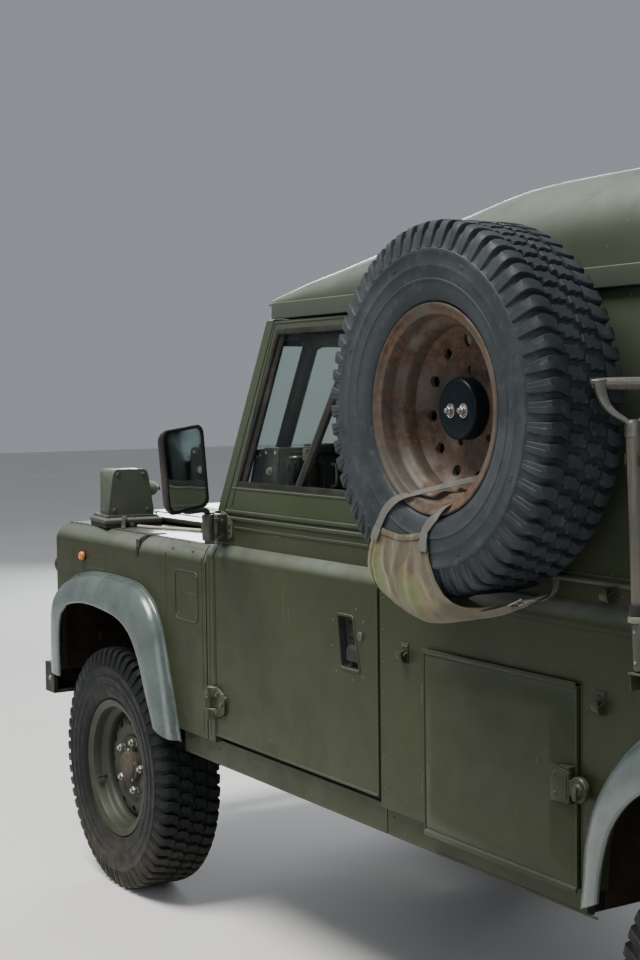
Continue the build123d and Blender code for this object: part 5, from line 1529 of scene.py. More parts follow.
    # hinge leaves on the body, ending short of the moving leaf
    bm = new()
    for z0, z1, yb, yt in ((664.0, 759.0, Y0, Y0 + 9.0), (1176.0, 1270.0, 804.0, 846.0)):
        zc, h = (z0 + z1) / 2, (z1 - z0) / 2
        mt = 0
        pts = [(904, zc - h), (916, zc - h), (944, zc - h * 0.8), (962, zc - h * 0.4), (962, zc + h * 0.4), (944, zc + h * 0.8), (916, zc + h), (904, zc + h)]
        prism(bm, [(x, z) for x, z in pts] if yb >= Y0 else [(min(x, 938), z) for x, z in pts if x < 950] , "y", yb if yb >= Y0 else 803.0, yt if yb >= Y0 else 812.0, 1.6, 2, mat=mt)
        for x, z in ((928, zc + h * 0.45), (928, zc - h * 0.45)):
            hexbolt(bm, (x, yt if yb >= Y0 else 812.0, z), (0, 1, 0), 6.5, 4.4, mat=1)
        if yb >= Y0:
            lathe(bm, [(0, 0), (9.8, 0), (11.0, 1.0), (11.0, h * 0.64 - 1), (9.8, h * 0.64), (0, h * 0.64)], place((912, 849, zc - h * 0.32), (0, 0, 1)), 22, mat=mt)
            hull_piece(bm, [(x, y, z) for x, y in ((926, yt - 7), (926, yt), (913, 859.6), (914, 840)) for z in (zc - h * 0.31, zc + h * 0.31)], 1.0, 1, mat=mt)
        else:
            hull_piece(bm, [(x, y, z) for x, y in ((930, 803), (918, 812), (912, 852), (920, 852)) for z in (zc - h * 0.32, zc + h * 0.32)], 1.0, 1, mat=mt)
            lathe(bm, [(0, 0), (8.2, 0), (9.0, 1.0), (9.0, h * 0.66 - 1), (8.2, h * 0.66), (0, h * 0.66)], place((917, 852, zc - h * 0.33), (0, 0, 1)), 22, mat=mt)
    if side == "right":
        mirrored(bm)
    commit(bm, "door_hinge_posts_" + side, "body", ["paint", "dark"], angle=38)


door_piece("left")
door_piece("right")

# ---------------------------------------------------------------------------
# Body side: locker latches and hinges, tie hooks, sill edges, seams
# ---------------------------------------------------------------------------
def hook(bm, x, z, Y0=835.0, flip=1, mat=0):
    """Pressed tie hook: back plate, small tongue turned up, gussets."""
    rbox(bm, x - 15, x + 15, Y0 - 0.5, Y0 + 2.6, z - 23, z + 25, 1.2, 2, mat=mat)
    prof = [(Y0 + 1, z - 21), (Y0 + 9, z - 20), (Y0 + 17, z - 14), (Y0 + 20, z - 2), (Y0 + 19, z + 7)]
    P_ = catmull([(x, a, b) for a, b in prof], 5)
    sweep(bm, P_, rrect(24, 2.8, 1.0, 2), up=[Vector((0, -0.2, 1))] * 5 + [Vector((0, -0.7, 0.7))] * 5 + [Vector((0, -1, 0.1))] * 11, mat=mat)
    for dx in (-10.6, 10.6):
        hull_piece(bm, [(x + dx + e, a, b) for e in (-1.2, 1.2) for a, b in ((Y0, z - 20), (Y0 + 8, z - 19), (Y0 + 16, z - 13), (Y0 + 18, z - 3), (Y0, z + 6))], 0.4, 1, mat=mat)
    for dx in (-6, 6):
        rivet(bm, (x + dx, Y0 + 2.6, z + 17), (0, 1, 0), 3.4, 2.2, mat=mat)


for side in ("left", "right"):
    # fixed parts
    bm = new()
    Y0 = 835.0
    hook(bm, -82.0, 986.0)
    hook(bm, -776.0, 978.0)
    if side == "left":
        hook(bm, -768.0, 1199.0, 804.0)
    # sill: rolled top edge, joint behind the door and screws
    for x0, x1 in ((36.0, 1104.0), (-740.0, 24.0)):
        sweep(bm, [(x0, 813.2, 592.2), (x1, 813.2, 592.2)], [(-2.4, -1.0), (2.4, -1.0), (2.4, 1.0), (1.2, 2.2), (-1.2, 2.2), (-2.4, 1.0)], up=(0, 0, 1), mat=0)
        sweep(bm, [(x0, 814.6, 523.0), (x1, 814.6, 523.0)], [(-3.0, -0.6), (3.0, -0.6), (2.6, 1.4), (-2.6, 1.4)], up=(0, 1, 0), mat=0)
        n_ = int((x1 - x0) / 170)
        for i in range(n_ + 1):
            screw(bm, (x0 + 22 + (x1 - x0 - 44) * i / n_, 815.0, 566.0), (0, 1, 0), 4.0, 1.5, mat=3)
    # seam of the body side below the crease and spot rows
    sweep(bm, [(-1700.0, 834.4, 1121.0), (24.0, 834.4, 1121.0)], [(-1.2, 0), (1.2, 0), (0.8, 1.3), (-0.8, 1.3)], up=(0, 1, 0), mat=0)
    for x in list(range(-2060, 10, 115)):
        rivet(bm, (x, 804.0, 1203.0), (0, 1, 0), 3.0, 1.3)
    for z in range(640, 1110, 78):
        rivet(bm, (12.0, 835.0, z), (0, 1, 0), 3.0, 1.3)
        if z < 1000 and z > 600:
            rivet(bm, (-736.0 if z < 760 else -724.0, 835.0, z), (0, 1, 0), 2.6, 1.1)
    # frame round the locker: turned-in edge of the side
    L0, L1, Z0_, Z1_ = -713.0, -159.0, 575.0, 1008.0
    for P0, P1 in (((L0 - 3, 834.2, Z1_ + 3), (L1 + 3, 834.2, Z1_ + 3)), ((L1 + 3, 834.2, 592), (L1 + 3, 834.2, Z1_ + 3)), ((L0 - 3, 834.2, 592), (L0 - 3, 834.2, Z1_ + 3))):
        sweep(bm, [P0, P1], [(-2.6, -0.4), (2.6, -0.4), (2.2, 1.5), (-2.2, 1.5)], up=(0, 1, 0), mat=0)
    # capping along the top of the lower body, and the joint with the hard top
    sweep(bm, [(-2088.0, 806.0, 1218.0), (24.0, 806.0, 1218.0)], [(-5.5, -4.0), (5.5, -4.0), (5.5, 2.2), (3.8, 4.0), (-3.8, 4.0), (-5.5, 2.2)], up=(0, 0.35, 1), mat=0)
    # vertical seam and rivets of the hard top side
    for x in (12.0, -1010.0):
        P0, P1 = wall(x, 1232.0, 0), wall(x, 1812.0, 0)
        bar(bm, P0, P1, 26.0, 1.6, 0.8, 0.7, mat=0)
        for i in range(8):
            q = P0 + (P1 - P0) * ((i + 0.5) / 8)
            rivet(bm, q + Vector((0, 1.5, 0)), (0, 1, 0.09), 3.2, 1.3)
    for x in range(-2050, 0, 160):
        rivet(bm, wall(x, 1236.0, 0), (0, 1, 0.09), 3.2, 1.4)
        rivet(bm, wall(x, 1800.0, 0), (0, 1, 0.09), 3.2, 1.4)
    bar(bm, wall(-2084.0, 1226.0, 0), wall(20.0, 1226.0, 0), 12.0, 2.4, 0.8, 1.0, mat=0)
    # fuel flap, right side only; lifting eye cover on both
    T = place((-1900.0, 834.6, 1010.0), (0, 1, 0))
    lathe(bm, [(0, 0), (44, 0), (46, 1.0), (46, 2.4), (43, 3.4), (38, 2.6), (0, 2.2)], T, 40, mat=0)
    lathe(bm, [(0, 2.0), (30, 2.0), (31, 4.0), (30, 11.0), (27, 13.0), (0, 13.0)], T, 36, mat=2 if side == "right" else 0)
    if side == "right":
        mirrored(bm)
    commit(bm, "side_fittings_" + side, "body", ["paint", "seal", "plastic", "dark", "steel"], angle=38)
    # on the lid: folded rim, latch plate on the bevel, turning catch that reaches over the edge
    bm = new()
    XL, XR = -708.0, -164.0
    hull_piece(bm, [(x, y, z) for x, z in ((-640, 838), (-645, 757), (-706, 764), (-704, 826)) for y in (852.0, 861.4)], 1.8, 2, mat=0)
    hull_piece(bm, [(x, y, z) for x, z in ((-644, 832), (-648, 764), (-700, 770), (-699, 821)) for y in (860.5, 863.2)], 1.2, 2, mat=0)
    T = place((-731.0, 848.0, 795.0), (0, 1, 0))
    lathe(bm, [(0, 0), (25.0, 0), (27.0, 1.6), (27.0, 11.0), (25.0, 13.4), (20.5, 12.0), (14.0, 12.0), (12.5, 15.4), (10.0, 17.0), (0, 17.0)], T, 40, mat=0)
    hull_piece(bm, [(x, y, z) for x, z in ((-694, 782), (-694, 810), (-722, 776), (-722, 814)) for y in (848.5, 860.5)], 2.0, 2, mat=0)
    hull_piece(bm, [(-731 + a, 863.5 + c, 795 + b) for a, b in ((-6, -22), (6, -22), (-7, 8), (7, 8)) for c in (0, 6.0)], 2.0, 2, mat=0)
    hexbolt(bm, (-731, 864.5, 795.0), (0, 1, 0), 6.0, 5.0, mat=3)
    for x, z in ((-662, 818), (-664, 776)):
        rivet(bm, (x, 863.2, z), (0, 1, 0), 4.2, 2.0)
    for P0, P1 in (((XL + 2.5, 841.0, 580.5), (XL + 2.5, 841.0, 1000.5)), ((XR - 2.5, 841.0, 580.5), (XR - 2.5, 841.0, 1000.5)), ((XL, 841.0, 1001.0), (XR, 841.0, 1001.0)), ((XL, 841.0, 580.5), (XR, 841.0, 580.5))):
        sweep(bm, [P0, P1], [(-3.2, -1.0), (3.2, -1.0), (3.0, 0.8), (2.0, 1.6), (-2.0, 1.6), (-3.0, 0.8)], up=(0, 1, 0), mat=0)
    # the lid's top and bottom edges reach over the opening
    for za, zb_ in ((1000.0, 1011.0), (570.0, 581.0)):
        rbox(bm, XL + 1, XR - 1, 841.2, 844.6, za, zb_, 1.2, 2, mat=0)
    # hidden hinge: leaf folded inside the front edge
    for z in (690.0, 900.0):
        lathe(bm, [(0, 0), (4.0, 0), (4.6, 0.8), (4.6, 47.2), (4.0, 48), (0, 48)], place((-160.4, 839.0, z - 24), (0, 0, 1)), 14, mat=3)
    if side == "right":
        mirrored(bm)
    commit(bm, "locker_fittings_" + side, "locker_" + side, ["paint", "seal", "plastic", "dark", "steel"], angle=38)

# ---------------------------------------------------------------------------
# Long-handled tool: wooden shaft with a D grip, steel socket at its foot, held in brackets
# ---------------------------------------------------------------------------
SHX, SHY = -945.0, 900.0


def shaft(z):
    """Middle of the leaning shaft at height z."""
    return Vector((-939.5 - 16.5 * (1545.0 - z) / 360.0, SHY, z))


bm = new()
N_ = 14
P_ = [shaft(1180 + (1548 - 1180) * i / N_) for i in range(N_ + 1)]
sweep(bm, P_, [circle(15.6 - 1.4 * math.sin(math.pi * i / N_), 20) for i in range(N_ + 1)], mat=0)
# pressed steel grip, turned outwards: two curved cheeks and a boat-shaped rim round a wooden bar
GO = shaft(1546)
GD = Vector((math.cos(math.radians(56.0)), math.sin(math.radians(56.0)), 0.0))
GE = Vector((-GD.y, GD.x, 0.0))


def grip(a, b, h):
    """Point of the grip: a along the bar, b across it, h above the end of the shaft."""
    return GO + GD * a + GE * b + Vector((0, 0, h))


for sgn in (1, -1):
    prof = [(5.0, -18.0), (9.0, -6.0), (19.0, 3.0), (33.0, 10.5), (47.0, 20.5), (58.5, 33.5), (67.0, 49.0), (72.5, 65.0), (75.0, 80.0)]
    sm = catmull([grip(sgn * a, 0.0, h) for a, h in prof], 4)
    n_ = len(sm)
    secs = []
    for i in range(n_):
        f = i / (n_ - 1)
        w_ = 11.0 + 3.5 * f
        d_ = sgn * (7.0 + 17.0 * f ** 1.5)
        e_ = sgn * 3.0
        row = [(0.0, -w_ * 0.8), (e_ * 0.4, -w_), (d_ * 0.9, -w_), (d_, -w_ + 1.2), (d_ * 0.94, -w_ + 2.6), (e_, -w_ * 0.62), (e_, w_ * 0.62), (d_ * 0.94, w_ - 2.6), (d_, w_ - 1.2), (d_ * 0.9, w_), (e_ * 0.4, w_), (0.0, w_ * 0.8)]
        secs.append([(-a, b) for a, b in row])
    sweep(bm, sm, secs, up=tuple(GE), mat=2)
rim_ = []
for k in range(40):
    t = 2 * math.pi * k / 40
    a, b = 79.0 * math.copysign(abs(math.cos(t)) ** 0.85, math.cos(t)), 15.5 * math.sin(t)
    rim_.append(grip(a, b, 80.0 - 0.22 * b))
sweep(bm, rim_, [(-1.6, -4.0), (1.6, -4.0), (1.9, 2.4), (0.8, 3.8), (-0.8, 3.8), (-1.9, 2.4)], up=(0, 0, 1), closed=True, mat=2)
lathe(bm, [(0, 0), (7.0, 0), (9.6, 3.0), (11.2, 30.0), (11.6, 74.0), (11.2, 118.0), (9.6, 145.0), (7.0, 148.0), (0, 148.0)], place(grip(-74.0, 0.0, 74.5), GD), 24, mat=1)
for sgn in (1, -1):
    rivet(bm, grip(sgn * 76.0, 0.0, 72.0), GD * sgn, 4.6, 2.4, mat=2)
# steel sleeve where the shaft enters the grip
lathe(bm, [(15.0, -26), (16.8, -25), (17.2, -2), (15.4, 4.0), (12.0, 7.0), (0, 8.0)], place(GO, (0, 0, 1)), 28, mat=2)
# dark strap below the shaft, pale ring, socket tube
TF = place(shaft(1182), (shaft(1400) - shaft(1182)))
lathe(bm, [(15.4, 0), (19.4, 0.8), (20.4, 3), (19.6, 21), (17.4, 23), (15.0, 23)], TF, 28, mat=3)
lathe(bm, [(14.2, -13), (21.4, -12.4), (22.8, -10.0), (22.8, -3.0), (21.2, -0.6), (14.0, 0.2)], TF, 32, mat=4)
lathe(bm, [(0, -104), (13.2, -104), (14.6, -102.6), (15.0, -60), (15.6, -12), (14.0, -10), (0, -10)], TF, 32, mat=5)
for h_ in (-30.0, -88.0):
    rivet(bm, TF @ Vector((0, 0, h_)) + Vector((0, 15.2, 0)), (0, 1, 0), 3.4, 1.8, mat=4)
sv = commit(bm, "tool_with_grip", "body", ["wood", "wood", "pressed", "plastic", "dome", "case"], angle=40)
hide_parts("stowed_tool")
# brackets that hold it
bm = new()
for z in (1478.0,):
    yb = side_y(z)
    rbox(bm, SHX - 34, SHX + 34, yb - 1, yb + 4, z - 26, z + 26, 1.5, 2, mat=0)
    rbox(bm, SHX - 12, SHX + 12, yb + 3, SHY - 17, z - 12, z + 12, 2.0, 2, mat=0)
    arc = [(shaft(z).x + 18.4 * math.cos(a), SHY + 18.4 * math.sin(a), z) for a in [math.radians(-205 + 230 * i / 20) for i in range(21)]]
    sweep(bm, arc, rrect(3.0, 22, 1.0, 2), up=(0, 0, 1), mat=0)
# foot bracket: small perforated angle off the body side, a rest under the tube, two bolts
bz0, bz1 = 1030.0, 1076.0
FX0 = shaft(1076).x
rbox(bm, FX0 - 42, FX0 + 22, 834.6, 838.4, bz0, bz1, 1.2, 2, mat=0)
rbox(bm, FX0 + 16, FX0 + 20, 836, 912, bz0 + 8, bz1 - 2, 1.2, 2, mat=0)
rbox(bm, FX0 - 20, FX0 + 20, 884, 918, 1070, 1074, 1.2, 2, mat=0)
rbox(bm, FX0 - 20, FX0 - 16, 836, 912, bz0 + 8, bz1 - 2, 1.2, 2, mat=0)
for z in (1048, 1064):
    for y in (856, 878, 900):
        lathe(bm, [(3.6, 0), (5.6, 0.2), (5.8, 1.4), (4.8, 2.0), (3.6, 1.0), (0, 0.5)], place((FX0 + 20, y, z), (1, 0, 0)), 16, mat=1)
hexbolt(bm, (FX0 + 8, 838.4, 1042.0), (0, 1, 0), 6.0, 5, mat=1)
hexbolt(bm, (FX0 - 32, 838.4, 1052.0), (0, 1, 0), 6.0, 5, mat=1)
commit(bm, "tool_brackets", "body", ["paint", "dark"], angle=38)

# ---------------------------------------------------------------------------
# Front and rear lamps
# ---------------------------------------------------------------------------
bm = new()
# 0 clear lens, 1 black plastic, 2 amber, 3 red, 4 steel, 5 paint
for s in (1, -1):
    T = place((2115.0, s * 690.0, 940.0), (1, 0, 0))
    lathe(bm, [(84, -6), (98, -6), (99.5, 4), (98, 11), (93, 16.5), (87, 18), (84, 15)], T, 64, closed=True, mat=1)
    lathe(bm, [(84.5, 4), (85.5, 10), (80, 14.5), (60, 20), (34, 23.6), (0, 25), ], T, 64, mat=0)
    lathe(bm, [(84.5, 4), (60, -1), (0, -3)], T, 64, mat=4)
    for i in range(9):
        w = 74 * math.sqrt(max(0.0, 1 - ((i - 4) / 4.8) ** 2))
        y = s * 690.0 + (i - 4) * 16.5
        zz = [(-w + 2 * w * k / 8) for k in range(9)]
        sweep(bm, [(2115 + 25.0 - 11.0 * (((i - 4) * 16.5) ** 2 + z * z) / 80 ** 2, y, 940 + z) for z in zz], circle(1.6, 6), up=(0, 1, 0), mat=0)
    for i in range(3):
        a = math.radians(90 + 120 * i)
        screw(bm, (2115 + 15.5, s * 690 + 92 * math.cos(a), 940 + 92 * math.sin(a)), (1, 0, 0), 3.4, 1.8, mat=4)
    for z, m_ in ((1010.0, 0), (890.0, 2)):
        T = place((2115.0, s * 795.0, z), (1, 0, 0))
        lathe(bm, [(0, -9), (36, -9), (37, -6), (37, 5), (35, 9), (32.5, 10), (31, 8), (0, 8)], T, 40, mat=1)
        lathe(bm, [(31.5, 7), (32, 13), (30, 20), (24, 26), (13, 29.3), (0, 30)], T, 40, mat=m_)
        for k in range(5):
            lathe(bm, [(32.4 - 1.6 * k * 0.6, 12 + 3.2 * k), (33.0 - 1.6 * k * 0.6 - 0.3 * k * k, 13 + 3.2 * k), (31.4 - 1.6 * k * 0.6 - 0.3 * k * k, 14.4 + 3.2 * k)], T, 40, closed=True, mat=m_)
        for sg in (-1, 1):
            screw(bm, (2143.5, s * 795.0 + sg * 15, z), (1, 0, 0), 3.0, 1.4, mat=4)
    for z, m_ in ((1010.0, 3), (905.0, 2)):
        T = place((-2090.0, s * 775.0, z), (-1, 0, 0))
        lathe(bm, [(0, 0.2), (38, 0.2), (39, 2.5), (39, 8), (37, 11), (34.5, 11.5), (33, 10), (0, 10)], T, 40, mat=1)
        lathe(bm, [(33.5, 9), (34, 14), (32, 20.5), (25, 25.2), (13, 27.4), (0, 28)], T, 40, mat=m_)
        for k in range(4):
            lathe(bm, [(34.2 - 1.0 * k, 12 + 3.0 * k), (34.9 - 1.0 * k - 0.3 * k * k, 13 + 3.0 * k), (33.2 - 1.0 * k - 0.3 * k * k, 14.2 + 3.0 * k)], T, 40, closed=True, mat=m_)
        for sg in (-1, 1):
            screw(bm, (-2115.4, s * 775.0 + sg * 16, z), (-1, 0, 0), 3.0, 1.4, mat=4)
lm = commit(bm, "lamps_and_lenses", "body", ["white", "plastic", "amber", "red", "steel", "paint"], angle=40)
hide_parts("lamps")

# ---------------------------------------------------------------------------
# Front: grille mesh and frame, lamp surrounds, blank plate, bumper bolts
# ---------------------------------------------------------------------------
bm = new()
# 0 paint, 1 plastic, 2 steel, 3 dark, 4 seal
for i in range(34):
    y = -396 + 24.0 * i
    sweep(bm, [(2113.4, y, 757), (2113.4, y, 1093)], circle(1.7, 6), up=(0, 1, 0), mat=1)
for i in range(14):
    z = 772 + 24.0 * i
    sweep(bm, [(2116.2, -404, z), (2116.2, 404, z)], circle(1.7, 6), up=(0, 0, 1), mat=1)
for y0, y1, z0, z1 in ((-424, 424, 1086, 1112), (-424, 424, 738, 764), (-424, -398, 764, 1086), (398, 424, 764, 1086)):
    rbox(bm, 2114.5, 2121.0, y0, y1, z0, z1, 2.4, 2, mat=0)
for i in range(8):
    for z in (1099, 751):
        screw(bm, (2121.0, -392 + 112 * i, z), (1, 0, 0), 4.6, 2.2, mat=2)
for s in (1, -1):
    for z in (830, 925, 1020):
        screw(bm, (2121.0, s * 411, z), (1, 0, 0), 4.6, 2.2, mat=2)
    # lamp surround: square plate with a round opening
    out, inn = [], []
    for i in range(64):
        a = 2 * math.pi * i / 64
        c, q = math.cos(a), math.sin(a)
        k = (abs(c) ** 7 + abs(q) ** 7) ** (-1 / 7)
        out.append((c * 110 * k, q * 116 * k))
        inn.append((c * 99.4, q * 99.4))
    rows = []
    for (a, b), (c, d) in zip(out, inn):
        rows.append([(2113.0, s * 690 + a, 940 + b), (2118.0, s * 690 + a, 940 + b), (2121.4, s * 690 + a * 0.975, 940 + b * 0.975),
                     (2122.4, s * 690 + c * 1.03, 940 + d * 1.03), (2119.0, s * 690 + c, 940 + d), (2113.0, s * 690 + c, 940 + d)])
    grid(bm, rows, closed_u=True, closed_v=True, mat=1)
    for sy in (-1, 1):
        for sz in (-1, 1):
            screw(bm, (2121.2, s * 690 + sy * 92, 940 + sz * 97), (1, 0, 0), 4.4, 2.2, mat=2)
    # seam strip between wing and front panel, top edge bead of the wing front
    rbox(bm, 2114.4, 2117.6, s * 584.5 - 7, s * 584.5 + 7, 665, 820, 1.2, 1, mat=0)
    rbox(bm, 2114.4, 2117.6, s * 584.5 - 7, s * 584.5 + 7, 1062, 1140, 1.2, 1, mat=0)
    for z in (690, 780, 1080, 1124):
        rivet(bm, (2117.6, s * 584.5, z), (1, 0, 0), 3.4, 1.6, mat=0)
    # bumper fixings, and the jaws of the towing eyes
    for z in (562, 610):
        for y in (366, 414):
            hexbolt(bm, (2262.0 if z < 0 else 2190.2, s * y, z), (-1, 0, 0), 8.0, 6.0, mat=3)
    lathe(bm, [(13.4, -12), (21, -12), (22.5, -10), (22.5, 10), (21, 12), (13.4, 12)], place((2229.0, s * 390.0, 494.0), (0, 1, 0)), 28, closed=True, mat=3)
    hexbolt(bm, (2200, s * 770, 640.0), (0, 0, 1), 8.0, 5.5, mat=2)
    hexbolt(bm, (2240, s * 640, 640.0), (0, 0, 1), 8.0, 5.5, mat=2)
    hexbolt(bm, (2225, s * 815.0, 584.0), (0, s, 0), 7.0, 4.0, mat=2)
# blank plate under the grille
rbox(bm, 2114.6, 2118.2, -260, 260, 668, 730, 1.0, 1, mat=1)
for y in (-244, 244):
    screw(bm, (2118.2, y, 700), (1, 0, 0), 4.0, 1.8, mat=2)
# radiator core behind the bars
for i in range(46):
    z = 712 + 8.0 * i
    rbox(bm, 2025.5, 2027.5, -296, 296, z, z + 2.2, 0.3, 1, mat=3)
commit(bm, "front_grille", "body", ["paint", "plastic", "steel", "dark", "seal"], angle=38)

# ---------------------------------------------------------------------------
# Bonnet: hinge straps, edge folds, catches
# ---------------------------------------------------------------------------
bm = new()
for s in (1, -1):
    prism(bm, [(988, s * 452), (1104, s * 440), (1116, s * 428), (1116, s * 404), (1104, s * 392), (988, s * 380)], "z", 1187.0, 1190.4, 1.0, 1, mat=0)
    cyl(bm, (985, s * 378, 1190), (985, s * 454, 1190), 8.4, seg=20, bev=1.2, mat=2)
    for x in (1030, 1064, 1096):
        hexbolt(bm, (x, s * 416, 1190.4), (0, 0, 1), 5.5, 3.6, mat=2)
    # folded side edge and stiffening ribs
    sweep(bm, [(1000, s * 574.5, 1187.4), (2112, s * 574.5, 1187.4)], [(-3.2, -1.2), (3.2, -1.2), (3.2, 0.5), (2.2, 1.4), (-2.2, 1.4), (-3.2, 0.5)], up=(0, 0, 1), mat=0)
    sweep(bm, [(1040, s * 470, 1187.2), (2060, s * 470, 1187.2)], [(-12, -1.0), (12, -1.0), (8, 2.0), (3, 3.2), (-3, 3.2), (-8, 2.0)], up=(0, 0, 1), mat=0)
    # rubber-footed catch at the side and its T handle
    rbox(bm, 1880, 1912, s * 548 - 10, s * 548 + 10, 1186.0, 1196.0, 3.0, 2, mat=3)
    cyl(bm, (1896, s * 566, 1192), (1896, s * 532, 1192), 4.2, seg=14, bev=1, mat=2)
# front edge: handle of the safety catch
rbox(bm, 2108, 2122, -46, 46, 1166, 1176, 4.0, 2, mat=3)
for y in (-30, 30):
    hexbolt(bm, (2115.2, y, 1181), (1, 0, 0), 4.5, 3.0, mat=2)
# tool clips on the raised centre
for x, y in ((1240, 0), (1640, 0)):
    rbox(bm, x - 16, x + 16, y - 34, y + 34, 1204.6, 1209.0, 1.8, 2, mat=0)
    for d in (-22, 22):
        hexbolt(bm, (x, y + d, 1209.0), (0, 0, 1), 4.6, 3.2, mat=2)
commit(bm, "bonnet_fittings", "bonnet", ["paint", "plastic", "steel", "dark"], angle=38)

# ---------------------------------------------------------------------------
# Scuttle vents, windscreen rubber, wipers, frame brackets
# ---------------------------------------------------------------------------
bm = new()
# 0 paint, 1 seal, 2 plastic, 3 steel, 4 glass-black dark
def scr(y, z, out=0.0):
    return Vector((screen_x(z) + out * 0.928, y, z + out * 0.373))


NS = Vector((0.928, 0, 0.373))
for s in (1, -1):
    # vent flap
    rbox(bm, 942.5, 948.6, s * 348 - 250, s * 348 + 250, 1182, 1240, 2.4, 2, mat=0)
    rbox(bm, 947.5, 951.4, s * 348 - 226, s * 348 + 226, 1194, 1229, 1.8, 2, mat=0)
    cyl(bm, (948, s * 348 - 236, 1243), (948, s * 348 + 236, 1243), 3.8, seg=12, bev=1, mat=3)
    # rubber round the pane, outside
    zb, zt = 1334.0, 1756.0
    c_ = [scr(s * 27, zb, 0.5), scr(s * (side_y(zb) - 56), zb, 0.5), scr(s * (side_y(zt) - 56), zt, 0.5), scr(s * 27, zt, 0.5)]
    for i in range(4):
        P0, P1 = c_[i], c_[(i + 1) % 4]
        d = (P1 - P0).normalized()
        sweep(bm, [P0 - d * 7, P1 + d * 7], [(-8, -14), (8, -14), (8, 1.2), (5.5, 3.6), (-5.5, 3.6), (-8, 1.2)], up=NS, mat=1)
    # edges of the frame
    for za, zb_, ya, yb in ((1268, 1812, side_y(1268) - 9, side_y(1812) - 9),):
        sweep(bm, [scr(s * ya, za), scr(s * yb, zb_)], [(-4, -0.8), (4, -0.8), (3.2, 2.0), (-3.2, 2.0)], up=NS, mat=0)
    for i in range(7):
        z = 1300 + 78 * i
        screw(bm, scr(s * (side_y(z) - 26), z, 0.0), NS, 4.4, 2.0, mat=3)
    # foot bracket of the frame: plates and bolts
    hull_piece(bm, [(x, s * y, z) for x, y, z in ((944.0, 690, 1196), (944.0, 742, 1196), (944.0, 690, 1258), (944.0, 742, 1258), (949, 692, 1200), (949, 740, 1200), (949, 692, 1256), (949, 740, 1256))], 1.4, 2, mat=0)
    hull_piece(bm, [scr(s * y, z, o) for y in (694, 738) for z in (1276, 1318) for o in (-1.0, 5.0)], 1.4, 2, mat=0)
    hexbolt(bm, (949, s * 716, 1226), (1, 0, 0), 8, 6, mat=3)
    hexbolt(bm, scr(s * 716, 1298, 5.0), NS, 8, 6, mat=3)
    # wiper: spindle, arm, blade
    ys = s * 300.0
    cyl(bm, (943, ys, 1250), (962, ys, 1256), 11.0, 8.0, seg=20, bev=2, mat=2)
    A_ = scr(ys + 40, 1300, 14.0)
    B_ = scr(ys + 150, 1346, 9.0)
    sweep(bm, catmull([(962, ys, 1258), A_, B_], 8), rrect(9, 5, 1.6, 2), up=NS, mat=2)
    L0, L1 = scr(ys - 40, 1344, 5.0), scr(ys + 330 if s > 0 else ys + 330, 1352, 5.0)
    sweep(bm, [L0, (L0 + L1) / 2 + NS * 2.5, L1], rrect(7, 6, 1.5, 2), up=NS, mat=2)
    sweep(bm, [L0 - NS * 4, L1 - NS * 4], [(-1.5, -4), (1.5, -4), (3, 2), (-3, 2)], up=NS, mat=1)
# beading along the frame's head and centre post
sweep(bm, [scr(-736, 1800), scr(736, 1800)], [(-5, -0.8), (5, -0.8), (4, 2.4), (-4, 2.4)], up=NS, mat=0)
sweep(bm, [scr(0, 1300), scr(0, 1790)], [(-8, -0.8), (8, -0.8), (6.5, 2.0), (-6.5, 2.0)], up=NS, mat=0)
for i in range(6):
    screw(bm, scr(0, 1350 + 80 * i, 2.0), NS, 4.4, 2.0, mat=3)
for i in range(9):
    screw(bm, (928.0 if False else 944.0, -640 + 160 * i, 1168), (1, 0, 0), 4.4, 2.0, mat=3)
commit(bm, "scuttle_and_wipers", "body", ["paint", "seal", "plastic", "steel", "dark"], angle=38)

# ---------------------------------------------------------------------------
# Seats: soft cushions with piping, on tube frames
# ---------------------------------------------------------------------------
def cushion(bm, T, a, b, c, e=0.30, nu=44, nv=16, crown=6.0, mat=0):
    """Stuffed cushion of half sizes a, b, c: soft corners, a crowned top, piping along its seams."""
    def pw(t, k):
        return math.copysign(abs(t) ** k, t)
    rings = []
    for j in range(nv + 1):
        v = -math.pi / 2 + math.pi * j / nv
        row = []
        for i in range(nu):
            u = 2 * math.pi * i / nu
            cx = pw(math.cos(v), e) * pw(math.cos(u), e)
            cy = pw(math.cos(v), e) * pw(math.sin(u), e)
            cz = pw(math.sin(v), 0.42)
            x, y, z = a * cx, b * cy, c * cz
            if cz > 0.3:
                z += crown * (1 - (x / a) ** 2) * (1 - (y / b) ** 2)
                z -= 3.2 * math.exp(-((x - a * 0.34) / 9.0) ** 2) + 3.2 * math.exp(-((x + a * 0.34) / 9.0) ** 2)
            n_ = noise.noise(Vector((x * 0.012, y * 0.012, z * 0.02))) * 2.2
            row.append(T @ Vector((x, y, z + n_)))
        rings.append(row)
    bot = bm.verts.new(sum(rings[0], Vector()) / nu)
    top = bm.verts.new(T @ Vector((0, 0, c + crown)))
    V = [[bm.verts.new(p) for p in row] for row in rings[1:-1]]
    for r0, r1 in zip(V, V[1:]):
        for i in range(nu):
            bm.faces.new((r0[i], r0[(i + 1) % nu], r1[(i + 1) % nu], r1[i])).material_index = mat
    for i in range(nu):
        bm.faces.new((bot, V[0][(i + 1) % nu], V[0][i])).material_index = mat
        bm.faces.new((top, V[-1][i], V[-1][(i + 1) % nu])).material_index = mat
    for zc in (0.80, -0.80):
        loop = []
        for i in range(56):
            u = 2 * math.pi * i / 56
            k = 0.955
            loop.append(T @ Vector((a * k * pw(math.cos(u), e), b * k * pw(math.sin(u), e), c * zc)))
        sweep(bm, loop, circle(3.4, 7), closed=True, mat=mat)


